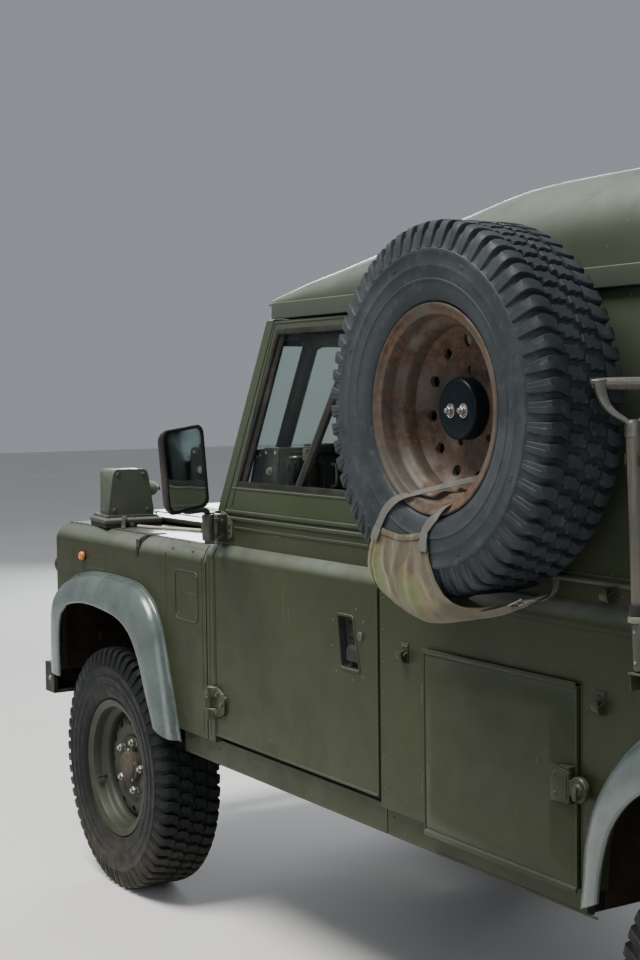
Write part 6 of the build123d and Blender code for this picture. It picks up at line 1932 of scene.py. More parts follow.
bm = new()
for yc in (-520.0, 520.0):
    cushion(bm, Matrix.Translation((345, yc, 927)), 228, 209, 54)
    R = Matrix.Translation((100, yc, 1250)) @ Matrix.Rotation(math.radians(-10), 4, "Y") @ Matrix.Rotation(math.radians(90), 4, "Y")
    cushion(bm, R, 258, 208, 42)
st = commit(bm, "seat_cushions", "body", ["cloth"], angle=60)
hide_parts("seats")

bm = new()
# 0 steel tube, 1 plastic, 2 dark
for yc in (-520.0, 520.0):
    for dy in (-196, 196):
        P_ = catmull([(560, yc + dy, 874), (150, yc + dy, 874), (120, yc + dy * 1.0, 930), (78, yc + dy, 1120), (28, yc + dy * 0.96, 1440)], 8)
        sweep(bm, P_[:-4], circle(8.5, 12), up=(0, 1, 0), mat=0)
    for dy in (-150, 150):
        rbox(bm, 130, 540, yc + dy - 12, yc + dy + 12, 868.2, 874, 2, 2, mat=2)
    rbox(bm, 300, 330, yc - 14, yc + 14, 862, 880, 4, 2, mat=1)
    # buckle stalk and belt reel
    sweep(bm, catmull([(150, yc - math.copysign(232, yc) * 1.0, 880), (170, yc - math.copysign(236, yc), 960), (176, yc - math.copysign(230, yc), 1010)], 8), rrect(14, 4, 1.5, 2), up=(0, 1, 0), mat=1)
    rbox(bm, 158, 198, yc - math.copysign(230, yc) - 10, yc - math.copysign(230, yc) + 10, 1008, 1056, 4, 2, mat=1)
# cubby box between the seats
rbox(bm, 120, 540, -118, 118, 768, 930, 8, 3, mat=1)
rbox(bm, 116, 544, -122, 122, 930, 944, 6, 3, mat=1)
rbox(bm, 536, 549, -24, 24, 916, 938, 3, 2, mat=2)
# gear levers, hand brake, transfer lever
for (x, y), (x2, y2, z2), rk in (((640, -70), (560, -80, 1035), 20), ((640, 60), (600, 62, 960), 16)):
    lathe(bm, [(34, 0), (40, 2), (36, 12), (30, 18), (26, 30), (20, 36), (12, 50), (7.5, 60), (0, 60)], place((x, y, 764.6), (0, 0, 1)), 28, mat=1)
    sweep(bm, catmull([(x, y, 775), (x - 6, y, 880), (x2 + 8, y2, z2 - 60), (x2, y2, z2)], 8), circle(6.2, 12), mat=0)
    lathe(bm, [(0, -rk), (rk * 0.5, -rk * 0.8), (rk * 0.95, -rk * 0.1), (rk, rk * 0.25), (rk * 0.8, rk * 0.8), (rk * 0.4, rk), (0, rk * 1.04)], place((x2, y2, z2), (0, 0, 1)), 24, mat=1)
sweep(bm, catmull([(560, -200, 766), (540, -200, 800), (430, -200, 872), (380, -200, 896)], 8), rrect(9, 22, 2.5, 2), up=(0, 1, 0), mat=0)
cyl(bm, (392, -200, 890), (300, -200, 934), 13.5, seg=20, bev=4, mat=1)
# pedals
for y in (-310, -400, -490):
    hull_piece(bm, [(x, y + dy, z) for dy in (-30, 30) for x, z in ((742, 752), (736, 748), (772, 808), (766, 812))], 2.4, 2, mat=1)
    sweep(bm, catmull([(764, y, 788), (800, y, 820), (832, y, 900), (856, y, 1020)], 6), rrect(8, 14, 2, 2), up=(0, 1, 0), mat=2)
# column shroud and stalks
T = place((566, -400, 1187), (735 - 566, 0, 1085 - 1187))
lathe(bm, [(0, 24), (30, 24), (36, 30), (40, 60), (41, 130), (36, 152), (24, 158)], T, 32, mat=1)
for d, L in ((1, 150), (-1, 150)):
    sweep(bm, catmull([(606, -400 + d * 36, 1166), (596, -400 + d * 90, 1176), (584, -400 + d * L, 1186)], 8), circle(4.4, 10), mat=1)
    lathe(bm, [(0, 0), (6, 1), (7.4, 6), (7.4, 22), (5, 28), (0, 29)], place((584, -400 + d * L, 1186), (-0.2, d, 0.2)), 16, mat=1)
# mat and ribs over the floor
for y0, y1 in ((300, 740), (-740, -300)):
    rbox(bm, 570, 888, y0, y1, 640.4, 646, 2.5, 2, mat=1)
    for k in range(11):
        rbox(bm, 580, 880, y0 + 22 + k * 39, y0 + 30 + k * 39, 645.4, 648.6, 1.2, 1, mat=1)
commit(bm, "cab_controls", "body", ["steel", "plastic", "dark"], angle=40)

# ---------------------------------------------------------------------------
# Dashboard: dials, switches, grab rail, cabinet front
# ---------------------------------------------------------------------------
bm = new()
# 0 plastic, 1 steel, 2 pale marks, 3 glass, 4 seal
def dial(y, z, r, x=705.0):
    T = place((x, y, z), (-1, 0, 0))
    lathe(bm, [(r - 1, -3), (r + 4, -3), (r + 5, 1), (r + 4.4, 6), (r + 1, 8), (r - 1, 6.5)], T, 40, closed=True, mat=0)
    lathe(bm, [(0, 1.2), (r, 1.2), (r, 2.4), (0, 2.4)], T, 40, mat=4)
    for k in range(13):
        a = math.radians(-130 + 260 * k / 12)
        q0, q1 = (r * 0.80, r * 0.95) if k % 3 == 0 else (r * 0.87, r * 0.95)
        p = [Vector((x - 2.8, y + math.sin(a) * q, z + math.cos(a) * q)) for q in (q0, q1)]
        sweep(bm, p, [(-0.9, -0.5), (0.9, -0.5), (0.9, 0.5), (-0.9, 0.5)], up=(-1, 0, 0), mat=2)
    a = math.radians(-70)
    sweep(bm, [(x - 3.2, y, z), (x - 3.2, y + math.sin(a) * r * 0.78, z + math.cos(a) * r * 0.78)], [(-1.1, -0.4), (1.1, -0.4), (0.6, 0.5), (-0.6, 0.5)], up=(-1, 0, 0), mat=2)
    lathe(bm, [(0, 0), (3.6, 0), (3.2, 1.6), (0, 2)], place((x - 3.0, y, z), (-1, 0, 0)), 14, mat=0)


for y in (-330.0, -470.0):
    dial(y, 1362.0, 30.0)
dial(-400.0, 1380.0, 13.0)
for k in range(6):
    rbox(bm, 699.5, 706, -378 + 15 * k - 5, -378 + 15 * k + 5, 1330, 1345, 1.5, 1, mat=0)
# vents and switches in the dash front
for y in (-620, -180, 130, 620):
    rbox(bm, 694, 701.5, y - 56, y + 56, 1198, 1236, 3, 2, mat=0)
    for k in range(5):
        rbox(bm, 691.5, 696, y - 50, y + 50, 1202 + 6.6 * k, 1204.4 + 6.6 * k, 0.8, 1, mat=1)
for k in range(7):
    T = place((640.0, -120 + 44 * k, 1080), (-1, 0, 0))
    lathe(bm, [(0, 0), (11, 0), (11.8, 1.5), (11, 8), (8.5, 10), (0, 10)], T, 20, mat=0)
    sweep(bm, [(629.6, -120 + 44 * k, 1080), (629.6, -120 + 44 * k, 1089)], [(-0.9, -0.5), (0.9, -0.5), (0.9, 0.5), (-0.9, 0.5)], up=(-1, 0, 0), mat=2)
# grab rail
sweep(bm, catmull([(699, 360, 1214), (664, 372, 1214), (656, 400, 1214), (656, 610, 1214), (664, 638, 1214), (699, 650, 1214)], 6), circle(10, 14), up=(0, 0, 1), mat=0)
# padded edge of the cowl
cyl(bm, (702, -636, 1314), (702, -552, 1314), 9, seg=16, bev=3, mat=0)
cyl(bm, (702, -248, 1314), (702, -116, 1314), 9, seg=16, bev=3, mat=0)
# cabinet: front with handles and connectors, folded edges, straps, fittings at its end
for y0, y1 in ((-104, 236), (246, 594)):
    rbox(bm, 661.5, 668.5, y0, y1, 1324, 1424, 3, 2, mat=0)
    yc = (y0 + y1) / 2
    for sg in (-1, 1):
        sweep(bm, catmull([(662, yc + sg * 148, 1342), (640, yc + sg * 148, 1348), (640, yc + sg * 148, 1400), (662, yc + sg * 148, 1406)], 6), circle(4.0, 10), up=(0, 1, 0), mat=1)
    for k in range(4):
        T = place((661.5, yc - 90 + 58 * k, 1398), (-1, 0, 0))
        lathe(bm, [(0, 0), (13, 0), (14, 2), (13, 13), (10, 16), (0, 16)], T, 22, mat=0)
        sweep(bm, [(645.2, yc - 90 + 58 * k, 1398), (645.2, yc - 90 + 58 * k, 1409)], [(-1, -0.5), (1, -0.5), (1, 0.5), (-1, 0.5)], up=(-1, 0, 0), mat=2)
    for k in range(3):
        T = place((661.5, yc - 70 + 70 * k, 1350), (-1, 0, 0))
        lathe(bm, [(0, 0), (15, 0), (15, 4), (11.5, 4.5), (11.5, 14), (9, 14), (9, 6), (0, 6)], T, 22, mat=1)
for x in (700, 764):
    rbox(bm, x - 14, x + 14, -112, 602, 1429, 1432.5, 1.4, 1, mat=4)
    rbox(bm, x - 14, x + 14, 599, 602.6, 1320, 1431, 1.4, 1, mat=4)
for x, z in ((682, 1336), (778, 1336), (682, 1416), (778, 1416), (732, 1376)):
    screw(bm, (x, 600.0, z), (0, 1, 0), 5.0, 2.2, mat=1)
T = place((732, 600, 1404), (0, 1, 0))
lathe(bm, [(0, 0), (12, 0), (12, 5), (9, 6), (9, 14), (0, 14)], T, 20, mat=1)
# speaker grille on the cowl's top
for k in range(9):
    rbox(bm, 712 + 10 * k, 716 + 10 * k, -236, -130, 1317.5, 1320, 0.8, 1, mat=0)
# dark folded cover strapped on the cabinet, and a second case at the cowl's left end
rbox(bm, 676, 784, -98, 128, 1431.5, 1461, 9, 3, mat=4)
rbox(bm, 674, 786, 134, 594, 1431.5, 1463, 11, 3, mat=4)
for y in (20.0, 220.0, 420.0, 560.0):
    rbox(bm, 672, 788, y - 9, y + 9, 1440, 1465, 3, 2, mat=0)
rbox(bm, 672, 752, 606, 742, 1236, 1456, 7, 3, mat=4)
hull_piece(bm, [(748, y, 1240) for y in (696, 742)] + [(860, y, 1240) for y in (696, 742)] + [(852, y, 1310) for y in (696, 742)] + [(798, y, 1450) for y in (696, 742)] + [(748, y, 1452) for y in (696, 742)], 5.0, 2, mat=4)
for x, z in ((770, 1262), (832, 1270), (770, 1434), (790, 1430)):
    screw(bm, (x, 742.0, z), (0, 1, 0), 5.0, 2.2, mat=1)
rbox(bm, 667, 673, 616, 732, 1250, 1446, 4, 2, mat=0)
for z in (1290.0, 1340.0, 1390.0):
    for k in range(5):
        rbox(bm, 663.5, 668, 634 + 18 * k, 644 + 18 * k, z, z + 22, 1.5, 1, mat=4)
sweep(bm, catmull([(668, 646, 1428), (646, 648, 1430), (642, 660, 1430), (642, 690, 1430), (646, 702, 1430), (668, 704, 1428)], 6), circle(4.5, 10), up=(0, 0, 1), mat=1)
for x, z in ((686, 1250), (738, 1250), (686, 1442), (738, 1442)):
    screw(bm, (x, 742.0, z), (0, 1, 0), 5.0, 2.2, mat=1)
for z in (1300.0, 1390.0):
    lathe(bm, [(0, 0), (12, 0), (12, 4), (9, 5), (9, 10), (0, 10)], place((712, 742, z), (0, 1, 0)), 20, mat=1)
commit(bm, "dash_details", "body", ["plastic", "steel", "cream", "glass", "seal"], angle=40)

# ---------------------------------------------------------------------------
# Roll cage joints, roof lining ribs, load space fittings
# ---------------------------------------------------------------------------
bm = new()
for s in (1, -1):
    for x, y, z in ((-25, 650, 1752), (640, 641, 1758)):
        cyl(bm, (x - 26, s * (y - 0), z), (x + 26, s * (y - 0), z), 27.5, seg=24, bev=4, mat=0)
    rbox(bm, -70, 20, s * 690 - 45, s * 690 + 45, 735.2, 741, 2, 2, mat=0)
    for dx, dy in ((-32, -32), (32, -32), (-32, 32), (32, 32)):
        hexbolt(bm, (-25 + dx, s * 690 + dy, 741), (0, 0, 1), 6.5, 5, mat=1)
    # bench squabs folded against the sides
    for x0, x1 in ((-1990, -1500), (-1460, -970), (-930, -440)):
        rbox(bm, x0, x1, s * 730 - 26, s * 730 + 26, 1080, 1420, 14, 4, mat=2)
        rbox(bm, x0 + 6, x1 - 6, s * 604 - 110, s * 604 + 110, 1014.4, 1064, 16, 4, mat=2)
    for x in (-1900, -1200, -500):
        T = place((x, s * 474 * 1.0, 860), (0, -s, 0))
        lathe(bm, [(20, 0), (24, 0), (25, 2), (24, 4), (20, 4)], T, 24, closed=True, mat=1)
for x in (-300, -700, -1100, -1500, -1900):
    sweep(bm, [(x, -620, 1868), (x, 0, 1878), (x, 620, 1868)], rrect(34, 14, 4, 2), up=(0, 0, 1), mat=0)
for k in range(9):
    rbox(bm, -2010, -170, -400 + 96 * k, -388 + 96 * k, 735.1, 738.4, 1.2, 1, mat=3)
commit(bm, "cage_and_load_space", "body", ["plastic", "steel", "cloth", "dark"], angle=40)

# ---------------------------------------------------------------------------
# Back of the car
# ---------------------------------------------------------------------------
bm = new()
# 0 paint, 1 seal, 2 plastic, 3 dark, 4 steel
XB = -2108.0      # outer face of the back door
# rubber round the glass, folded edge, pressed panel, handle, hinges
zb, zt = 1294.0, 1696.0
c_ = [(XB, -326, zb), (XB, 326, zb), (XB, 326, zt), (XB, -326, zt)]
for i in range(4):
    P0, P1 = Vector(c_[i]), Vector(c_[(i + 1) % 4])
    d = (P1 - P0).normalized()
    sweep(bm, [P0 - d * 8, P1 + d * 8], [(-9, -6), (9, -6), (9, 1.6), (6, 4.4), (-6, 4.4), (-9, 1.6)], up=(-1, 0, 0), mat=1)
for P0, P1 in (((XB, -440, 756), (XB, 440, 756)), ((XB, 440, 756), (XB, 440, 1780)), ((XB, 440, 1780), (XB, -440, 1780)), ((XB, -440, 1780), (XB, -440, 756))):
    sweep(bm, [P0, P1], [(-4.5, -1), (4.5, -1), (4.5, 1.2), (3, 2.2), (-3, 2.2), (-4.5, 1.2)], up=(-1, 0, 0), mat=0)
for z0, z1 in ((800, 1010), (1050, 1240)):
    for P0, P1 in (((XB, -380, z0), (XB, 380, z0)), ((XB, 380, z0), (XB, 380, z1)), ((XB, 380, z1), (XB, -380, z1)), ((XB, -380, z1), (XB, -380, z0))):
        sweep(bm, [P0, P1], [(-7, -0.8), (7, -0.8), (5, 1.4), (2, 2.2), (-2, 2.2), (-5, 1.4)], up=(-1, 0, 0), mat=0)
# handle
prism(bm, [(330 + a, 1140 + b) for a, b in rrect(74, 150, 14, 4)], "x", XB - 5, XB + 0.5, 1.6, 2, mat=2)
sweep(bm, catmull([(XB - 5, 330, 1196), (XB - 24, 330, 1186), (XB - 30, 330, 1150), (XB - 30, 330, 1104), (XB - 24, 330, 1084), (XB - 5, 330, 1078)], 6), rrect(17, 9, 3.5, 3), up=(0, 1, 0), mat=2)
lathe(bm, [(0, 0), (12, 0), (12.6, 1.5), (11.6, 6), (0, 6.4)], place((XB - 5, 330, 1052), (-1, 0, 0)), 26, mat=4)
for z in (1246.0, 840.0, 1620.0):
    prism(bm, [(-438, z - 34), (-424, z - 34), (-300, z - 20), (-290, z - 10), (-290, z + 10), (-300, z + 20), (-424, z + 34), (-438, z + 34)], "x", XB - 6, XB + 0.5, 1.6, 2, mat=0)
    cyl(bm, (-2116, -440, z - 36), (-2116, -440, z + 36), 9.5, seg=22, bev=1.4, mat=0)
    for y in (-320, -366, -408):
        hexbolt(bm, (XB - 6, y, z), (-1, 0, 0), 6, 4.4, mat=3)
# wiper on the glass, its motor box
lathe(bm, [(0, 0), (16, 0), (17, 3), (15, 12), (9, 16), (0, 16)], place((XB, -120, 1738), (-1, 0, 0)), 26, mat=2)
sweep(bm, catmull([(XB - 14, -120, 1738), (XB - 16, -60, 1660), (XB - 7, 30, 1560)], 8), rrect(8, 4, 1.5, 2), up=(-1, 0, 0), mat=2)
sweep(bm, [(XB - 5.5, -60, 1640), (XB - 5.5, 120, 1480)], rrect(6, 6, 1.4, 2), up=(-1, 0, 0), mat=1)
commit(bm, "back_door_fittings", "rear_door", ["paint", "seal", "plastic", "dark", "steel"], angle=38)

bm = new()
for s in (1, -1):
    # corner plates with rivets, lamp guards, reflector, side step bracket
    prism(bm, [(s * (835.6 - 0), 640), (s * 760, 640), (s * 760, 1128), (s * 835.6, 1128)], "x", -2092.6, -2089.6, 0.8, 1, mat=0)
    rbox(bm, -2091, -2042, s * 835.2 - 0.6, s * 835.2 + 2.2, 640, 1128, 1.2, 1, mat=0)
    for z in range(660, 1120, 57):
        rivet(bm, (-2092.6, s * 826, z), (-1, 0, 0), 3.4, 1.5)
        rivet(bm, (-2056, s * 837.2, z), (0, s, 0), 3.4, 1.5)
    lathe(bm, [(0, 0), (29, 0), (31, 1.5), (31, 5), (28, 7.5), (0, 7.5)], place((-2092.4, s * 775, 805), (-1, 0, 0)), 32, mat=2)
    lathe(bm, [(0, 7), (26, 7), (25, 9.4), (0, 10)], place((-2092.4, s * 775, 805), (-1, 0, 0)), 32, mat=5)
    prism(bm, [(s * 735, 1050), (s * 735, 862), (s * 728, 862), (s * 728, 1050)], "x", -2124, -2090, 1.5, 1, mat=3)
    # capping at the top of the lower body and the lean of the hard top corner
    sweep(bm, [(-2092, s * 796, 1218), (-2092, s * 462, 1218)], [(-5, -2), (5, -2), (4, 3.4), (-4, 3.4)], up=(-1, 0, 0), mat=0)
    P0, P1 = Vector((-2090, s * (side_y(1232) - 14), 1232)), Vector((-2090, s * (side_y(1806) - 14), 1806))
    sweep(bm, [P0, P1], [(-14, -1), (14, -1), (14, 1.2), (12.6, 2.2), (-12.6, 2.2), (-14, 1.2)], up=(-1, 0, 0), mat=0)
    for i in range(9):
        rivet(bm, P0 + (P1 - P0) * ((i + 0.5) / 9) + Vector((-2.2, 0, 0)), (-1, 0, 0), 3.4, 1.5)
    # corner windows of the hard top: blanked, with a raised frame
    c_ = [(-2090.4, s * 520, 1330), (-2090.4, s * 700, 1330), (-2090.4, s * 672, 1700), (-2090.4, s * 520, 1700)]
    for i in range(4):
        A_, B_ = Vector(c_[i]), Vector(c_[(i + 1) % 4])
        sweep(bm, [A_, B_], [(-8, -0.8), (8, -0.8), (6, 2.0), (-6, 2.0)], up=(-1, 0, 0), mat=0)
    # lifting ring and bumperette
    lathe(bm, [(19, -6), (28, -6), (30, 0), (28, 6), (19, 6), (17, 0)], place((-2112, s * 395, 640), (0, 1, 0)), 28, closed=True, mat=3)
    rbox(bm, -2093, -2089, s * 395 - 40, s * 395 + 40, 602, 690, 2, 2, mat=3)
    rbox(bm, -2188, -2092, s * 575 - 108, s * 575 + 108, 600.2, 603.6, 1.0, 1, mat=2)
    for k in range(7):
        rbox(bm, -2184, -2096, s * 575 - 96 + 30 * k, s * 575 - 90 + 30 * k, 603.0, 606.0, 1.0, 1, mat=2)
# round the door opening: rubber, drip rail
for P0, P1 in (((-2091, -461, 745), (-2091, -461, 1796)), ((-2091, 461, 745), (-2091, 461, 1796)), ((-2091, -466, 1800), (-2091, 466, 1800))):
    sweep(bm, [P0, P1], [(-5, -2), (5, -2), (4, 3.0), (-4, 3.0)], up=(-1, 0, 0), mat=1)
sweep(bm, [(-2094, -700, 1812), (-2094, 700, 1812)], [(-4, -4), (4, -4), (5, 3), (3, 5), (-4, 3)], up=(-1, 0, 0.2), mat=0)
# blank plate, its lamp, cross member bolts, tow pin with its chain
rbox(bm, -2093.2, -2089.8, 480, 690, 716, 800, 1.2, 1, mat=2)
rbox(bm, -2108, -2092, 560, 612, 802, 820, 4, 2, mat=2)
for y in (-620, -540, -200, 200, 540, 620):
    for z in (590, 668):
        hexbolt(bm, (-2088.2, y, z), (-1, 0, 0), 8, 6, mat=3)
for sy in (-1, 1):
    for z in (578, 684):
        hexbolt(bm, (-2120, sy * 58, z), (-1, 0, 0), 9, 7, mat=4)
cyl(bm, (-2215, 0, 566), (-2215, 0, 696), 12.6, seg=24, bev=2, mat=4)
lathe(bm, [(0, 0), (19, 0), (20, 3), (18, 9), (11, 12), (0, 12)], place((-2215, 0, 674.6), (0, 0, 1)), 24, mat=4)
ch = catmull([(-2206, 12, 690), (-2170, 34, 672), (-2150, 52, 640), (-2126, 60, 634)], 10)
for i in range(0, len(ch) - 1, 2):
    d = (ch[i + 1] - ch[i]).normalized()
    T = Matrix.Translation(ch[i]) @ frame_for(d) @ Matrix.Rotation(math.radians(90) * ((i // 2) % 2), 4, "Z") @ Matrix.Rotation(math.radians(90), 4, "X")
    loop = [T @ Vector((4.0 * math.cos(a), 6.4 * math.sin(a), 0)) for a in [2 * math.pi * k / 12 for k in range(12)]]
    sweep(bm, loop, circle(1.3, 6), closed=True, mat=4)
commit(bm, "back_fittings", "body", ["paint", "seal", "plastic", "dark", "steel", "red"], angle=38)

# ---------------------------------------------------------------------------
# Underside: coil springs, dampers, arms, axle details, pipes and straps
# ---------------------------------------------------------------------------
STOP = {RX: 598.0, FX: 588.0}


def suspension_side(bm):
    """Springs, arm, link and dampers of the left side."""
    for x in (FX, RX):
        zb, zt = TR + 52.3 + 8, STOP[x] - 8
        turns = 5.5
        N = int(turns * 22)
        pts = []
        for i in range(N + 1):
            a = 2 * math.pi * turns * i / N
            f = min(1.0, max(0.0, (i / N - 0.09) / 0.82))
            pts.append((x + 49 * math.cos(a), 390 + 49 * math.sin(a), zb + (zt - zb) * f))
        sweep(bm, pts, circle(8.0, 9), up=(0, 0, 1), mat=0)
        lathe(bm, [(0, 0), (57, 0), (58, 2), (57, 5), (30, 6), (22, 30), (0, 34)], place((x, 390, TR + 52.3), (0, 0, 1)), 32, mat=1)
        lathe(bm, [(0, 0), (30, 0), (34, -30), (24, -44), (0, -48)], place((x, 390, STOP[x]), (0, 0, 1)), 28, mat=1)
    pts = [(FX - 48, 374), (FX - 44, 420), (FX - 120, 426), (1180, 446), (940, 462), (872, 464), (868, 430), (940, 424), (1180, 410), (FX - 130, 384)]
    prism(bm, pts, "y", 303, 339, 5.0, 2, mat=0)
    cyl(bm, (902, 296, 446), (902, 346, 446), 30, seg=24, bev=3, mat=1)
    cyl(bm, (RX + 60, 330, 360), (-420, 330, 440), 19.5, seg=20, bev=3, mat=0)
    for x, z in ((RX + 60, 360), (-420, 440)):
        cyl(bm, (x, 300, z), (x, 345, z), 27, seg=24, bev=3, mat=1)
    for p, q in (((FX + 75, 460, 400), (FX + 110, 470, 690)), ((RX - 75, 315, 400), (RX - 60, 315, 690))):
        P0, P1 = Vector(p), Vector(q)
        mid = P0 + (P1 - P0) * 0.55
        cyl(bm, P0 + (P1 - P0) * 0.06, mid, 22, seg=24, bev=3, mat=0)
        cyl(bm, mid - (P1 - P0) * 0.08, P0 + (P1 - P0) * 0.93, 26, seg=24, bev=4, mat=1)
        for e in (P0, P1):
            cyl(bm, e + Vector((0, -16, 0)), e + Vector((0, 16, 0)), 17, seg=20, bev=3, mat=1)


bm = new()
suspension_side(bm)
n0 = len(bm.verts)
other = new()
suspension_side(other)
mirrored(other)
tmp = bpy.data.meshes.new("suspension_half")
other.to_mesh(tmp)
other.free()
bm.from_mesh(tmp)
bpy.data.meshes.remove(tmp)
su = commit(bm, "springs_and_dampers", "body", ["grime", "dark", "steel"], angle=40)
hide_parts("suspension")

# axles: cover bolts, brake pipes, pad ribs; shafts: joints; pipe: clamps; tank: straps
bm = new()
# 0 grime, 1 dark, 2 steel, 3 black
DY = -150.0
for x, R_, sg in ((FX, 128, 1), (RX, 132, -1)):
    for i in range(12):
        a = 2 * math.pi * (i + 0.5) / 12
        hexbolt(bm, (x - sg * 40, DY + 118 * math.cos(a), TR + 118 * math.sin(a)), (-sg, 0, 0), 6, 6, washer=False, mat=1)
    lathe(bm, [(122, -7), (130, -7), (132, -4), (132, 4), (130, 7), (122, 7)], place((x - sg * 36, DY, TR), (sg, 0, 0)), 48, closed=True, mat=0)
    lathe(bm, [(0, 0), (16, 0), (18, 3), (16, 9), (0, 10)], place((x + sg * 126, DY + 10, TR + 20), (sg, 0, 0.1)), 6, mat=1)
    for y0, y1 in ((-592, -282), (-20, 592)):
        for y in range(int(y0) + 20, int(y1), 96):
            lathe(bm, [(42.0, -3), (44.4, -3), (44.4, 3), (42.0, 3)], place((x, y, TR), (0, 1, 0)), 28, closed=True, mat=0)
        sweep(bm, catmull([(x - 12, y0 + 8, TR + 46), (x - 10, (y0 + y1) / 2, TR + 48), (x - 12, y1 - 8, TR + 46)], 10), circle(3.0, 8), mat=2)
    # flange joints of the open shafts
    xs = FX - 195 if x == FX else RX + 195
    d = Vector((1, 0, 0))
    for dx in (0, 1):
        cyl(bm, (xs + (6 if x == FX else -18), DY, TR + 12), (xs + (18 if x == FX else -6), DY, TR + 12), 46, seg=30, bev=3, mat=1)
    for i in range(4):
        a = math.pi / 4 + math.pi / 2 * i
        hexbolt(bm, (xs - 6 if x == FX else xs + 6, DY + 34 * math.cos(a), TR + 12 + 34 * math.sin(a)), (-1 if x == FX else 1, 0, 0), 7, 8, mat=2)
for s in (1, -1):
    for x, z0 in ((FX, 590.0), (RX, 600.0)):
        for k in range(3):
            rbox(bm, x - 70 + 60 * k, x - 64 + 60 * k, s * 433, s * 452, z0 + 4, z0 + 70, 1.5, 1, mat=3)
    # brackets between the rails and the sills, rail stiffeners, brake line along the rail
    for x in (925, 30, -695):
        rbox(bm, x - 42, x + 42, s * 432, s * 437, 512, 604, 2, 1, mat=3)
        for dz in (-30, 30):
            hexbolt(bm, (x - 34, s * 437, 558 + dz), (0, s, 0), 6, 5, mat=1)
            hexbolt(bm, (x + 34, s * 437, 558 + dz), (0, s, 0), 6, 5, mat=1)
    for x in range(-700, 1000, 190):
        if abs(x - 925) > 60 and abs(x - 30) > 60 and abs(x + 695) > 60:
            lathe(bm, [(0, 0), (14, 0), (15, 1.5), (14, 3), (0, 3)], place((x, s * 432, 545), (0, s, 0)), 20, mat=3)
sweep(bm, catmull([(1060, 345.5, 560), (600, 345.5, 560), (0, 345.5, 562), (-760, 345.5, 560)], 12), circle(2.6, 8), mat=2)
sweep(bm, catmull([(1060, 345.0, 574), (600, 345.0, 575), (0, 345.0, 574), (-760, 345.0, 575)], 12), circle(3.6, 8), mat=2)
# silencer: end folds, straps, hangers
for x in (-520, 120):
    lathe(bm, [(66, -5), (72.4, -5), (73.4, 0), (72.4, 5), (66, 5)], place((x, 230, 425), (1, 0, 0)), 40, closed=True, mat=1)
for x in (-440, 40, -860):
    r_ = 71.6 if x > -600 else 25.6
    lathe(bm, [(r_ - 1, -11), (r_ + 2.2, -11), (r_ + 3, -9), (r_ + 3, 9), (r_ + 2.2, 11), (r_ - 1, 11)], place((x, 230, 425), (1, 0, 0)), 40, closed=True, mat=1)
    sweep(bm, catmull([(x, 230, 425 + r_), (x, 250, 425 + r_ + 30), (x, 330, 520), (x, 346, 545)], 6), rrect(20, 4, 1.2, 2), up=(1, 0, 0), mat=1)
cyl(bm, (-2078, 300, 480), (-2098, 300, 480), 25.6, seg=28, bev=1.5, mat=1)
# tank: seam, straps, drain
sweep(bm, [(108.5, -757, 543), (521.5, -757, 543), (521.5, -443, 543), (108.5, -443, 543)], rrect(5, 9, 1.5, 2), up=(0, 0, 1), closed=True, mat=3)
for x in (200, 430):
    sweep(bm, [(x, -757.5, 616), (x, -757.5, 467.5), (x, -442.5, 467.5), (x, -442.5, 616)], rrect(34, 3, 1, 2), up=(1, 0, 0), mat=1)
lathe(bm, [(0, 0), (18, 0), (18, 4), (10, 5), (10, 13), (0, 13)], place((315, -600, 470), (0, 0, -1)), 6, mat=1)
# gearbox: ribs, sump bolts
for x in range(520, 1100, 72):
    rbox(bm, x, x + 9, -146, 146, 474, 490, 3, 2, mat=0)
    rbox(bm, x, x + 9, -146, -136, 486, 660, 3, 2, mat=0)
    rbox(bm, x, x + 9, 136, 146, 486, 660, 3, 2, mat=0)
for x in range(350, 560, 40):
    for y in (-250, 90):
        hexbolt(bm, (x, y, 440.0), (0, 0, -1), 6, 5, mat=1)
commit(bm, "underside_details", "body", ["grime", "dark", "steel", "black"], angle=40)

# --------------------------------------------------------------------------- Steering knuckles: swivel bolts, bolted ring, arm boss
# Steering knuckles: swivel bolts, arm boss, brake caliper
# ---------------------------------------------------------------------------
for side in ("left", "right"):
    bm = new()
    for z, d in ((TR + 96, 1), (TR - 96, -1)):
        for i in range(4):
            a = math.pi / 4 + math.pi / 2 * i
            hexbolt(bm, (FX + 19 * math.cos(a), 670 + 19 * math.sin(a), z), (0, 0, d), 5.4, 5, washer=False, mat=1)
    lathe(bm, [(62, -5), (79, -5), (80, -3), (80, 3), (79, 5), (62, 5)], place((FX, 648, TR), (0, 1, 0)), 48, closed=True, mat=0)
    for i in range(10):
        a = 2 * math.pi * i / 10
        hexbolt(bm, (FX + 71 * math.cos(a), 642.5, TR + 71 * math.sin(a)), (0, -1, 0), 4.6, 4, washer=False, mat=1)
    lathe(bm, [(0, -14), (15, -14), (17, -10), (17, 10), (15, 14), (0, 14)], place((FX - 150, 628, TR - 100), (0, 0, 1)), 24, mat=0)
    hexbolt(bm, (FX - 150, 628, TR - 86), (0, 0, 1), 8, 6, mat=1)
    if side == "right":
        mirrored(bm)
    commit(bm, "knuckle_details_" + side, "knuckle_" + side, ["grime", "dark"], angle=40)

# --------------------------------------------------------------------------- Wheel arch liners: thin sheet following the arch, caked with brown dirt whose near-black colour is partly painted shade
# Wheel arch liners: thin sheet following the arch, caked with brown dirt
# ---------------------------------------------------------------------------
LIN_F = [(2058, 645), (2059, 800), (2040, 893), (1990, 952), (1896, 986), (1740, 996.5), (1571, 996.5), (1436, 982), (1322, 912), (1232, 808), (1182, 706), (1152, 606)]


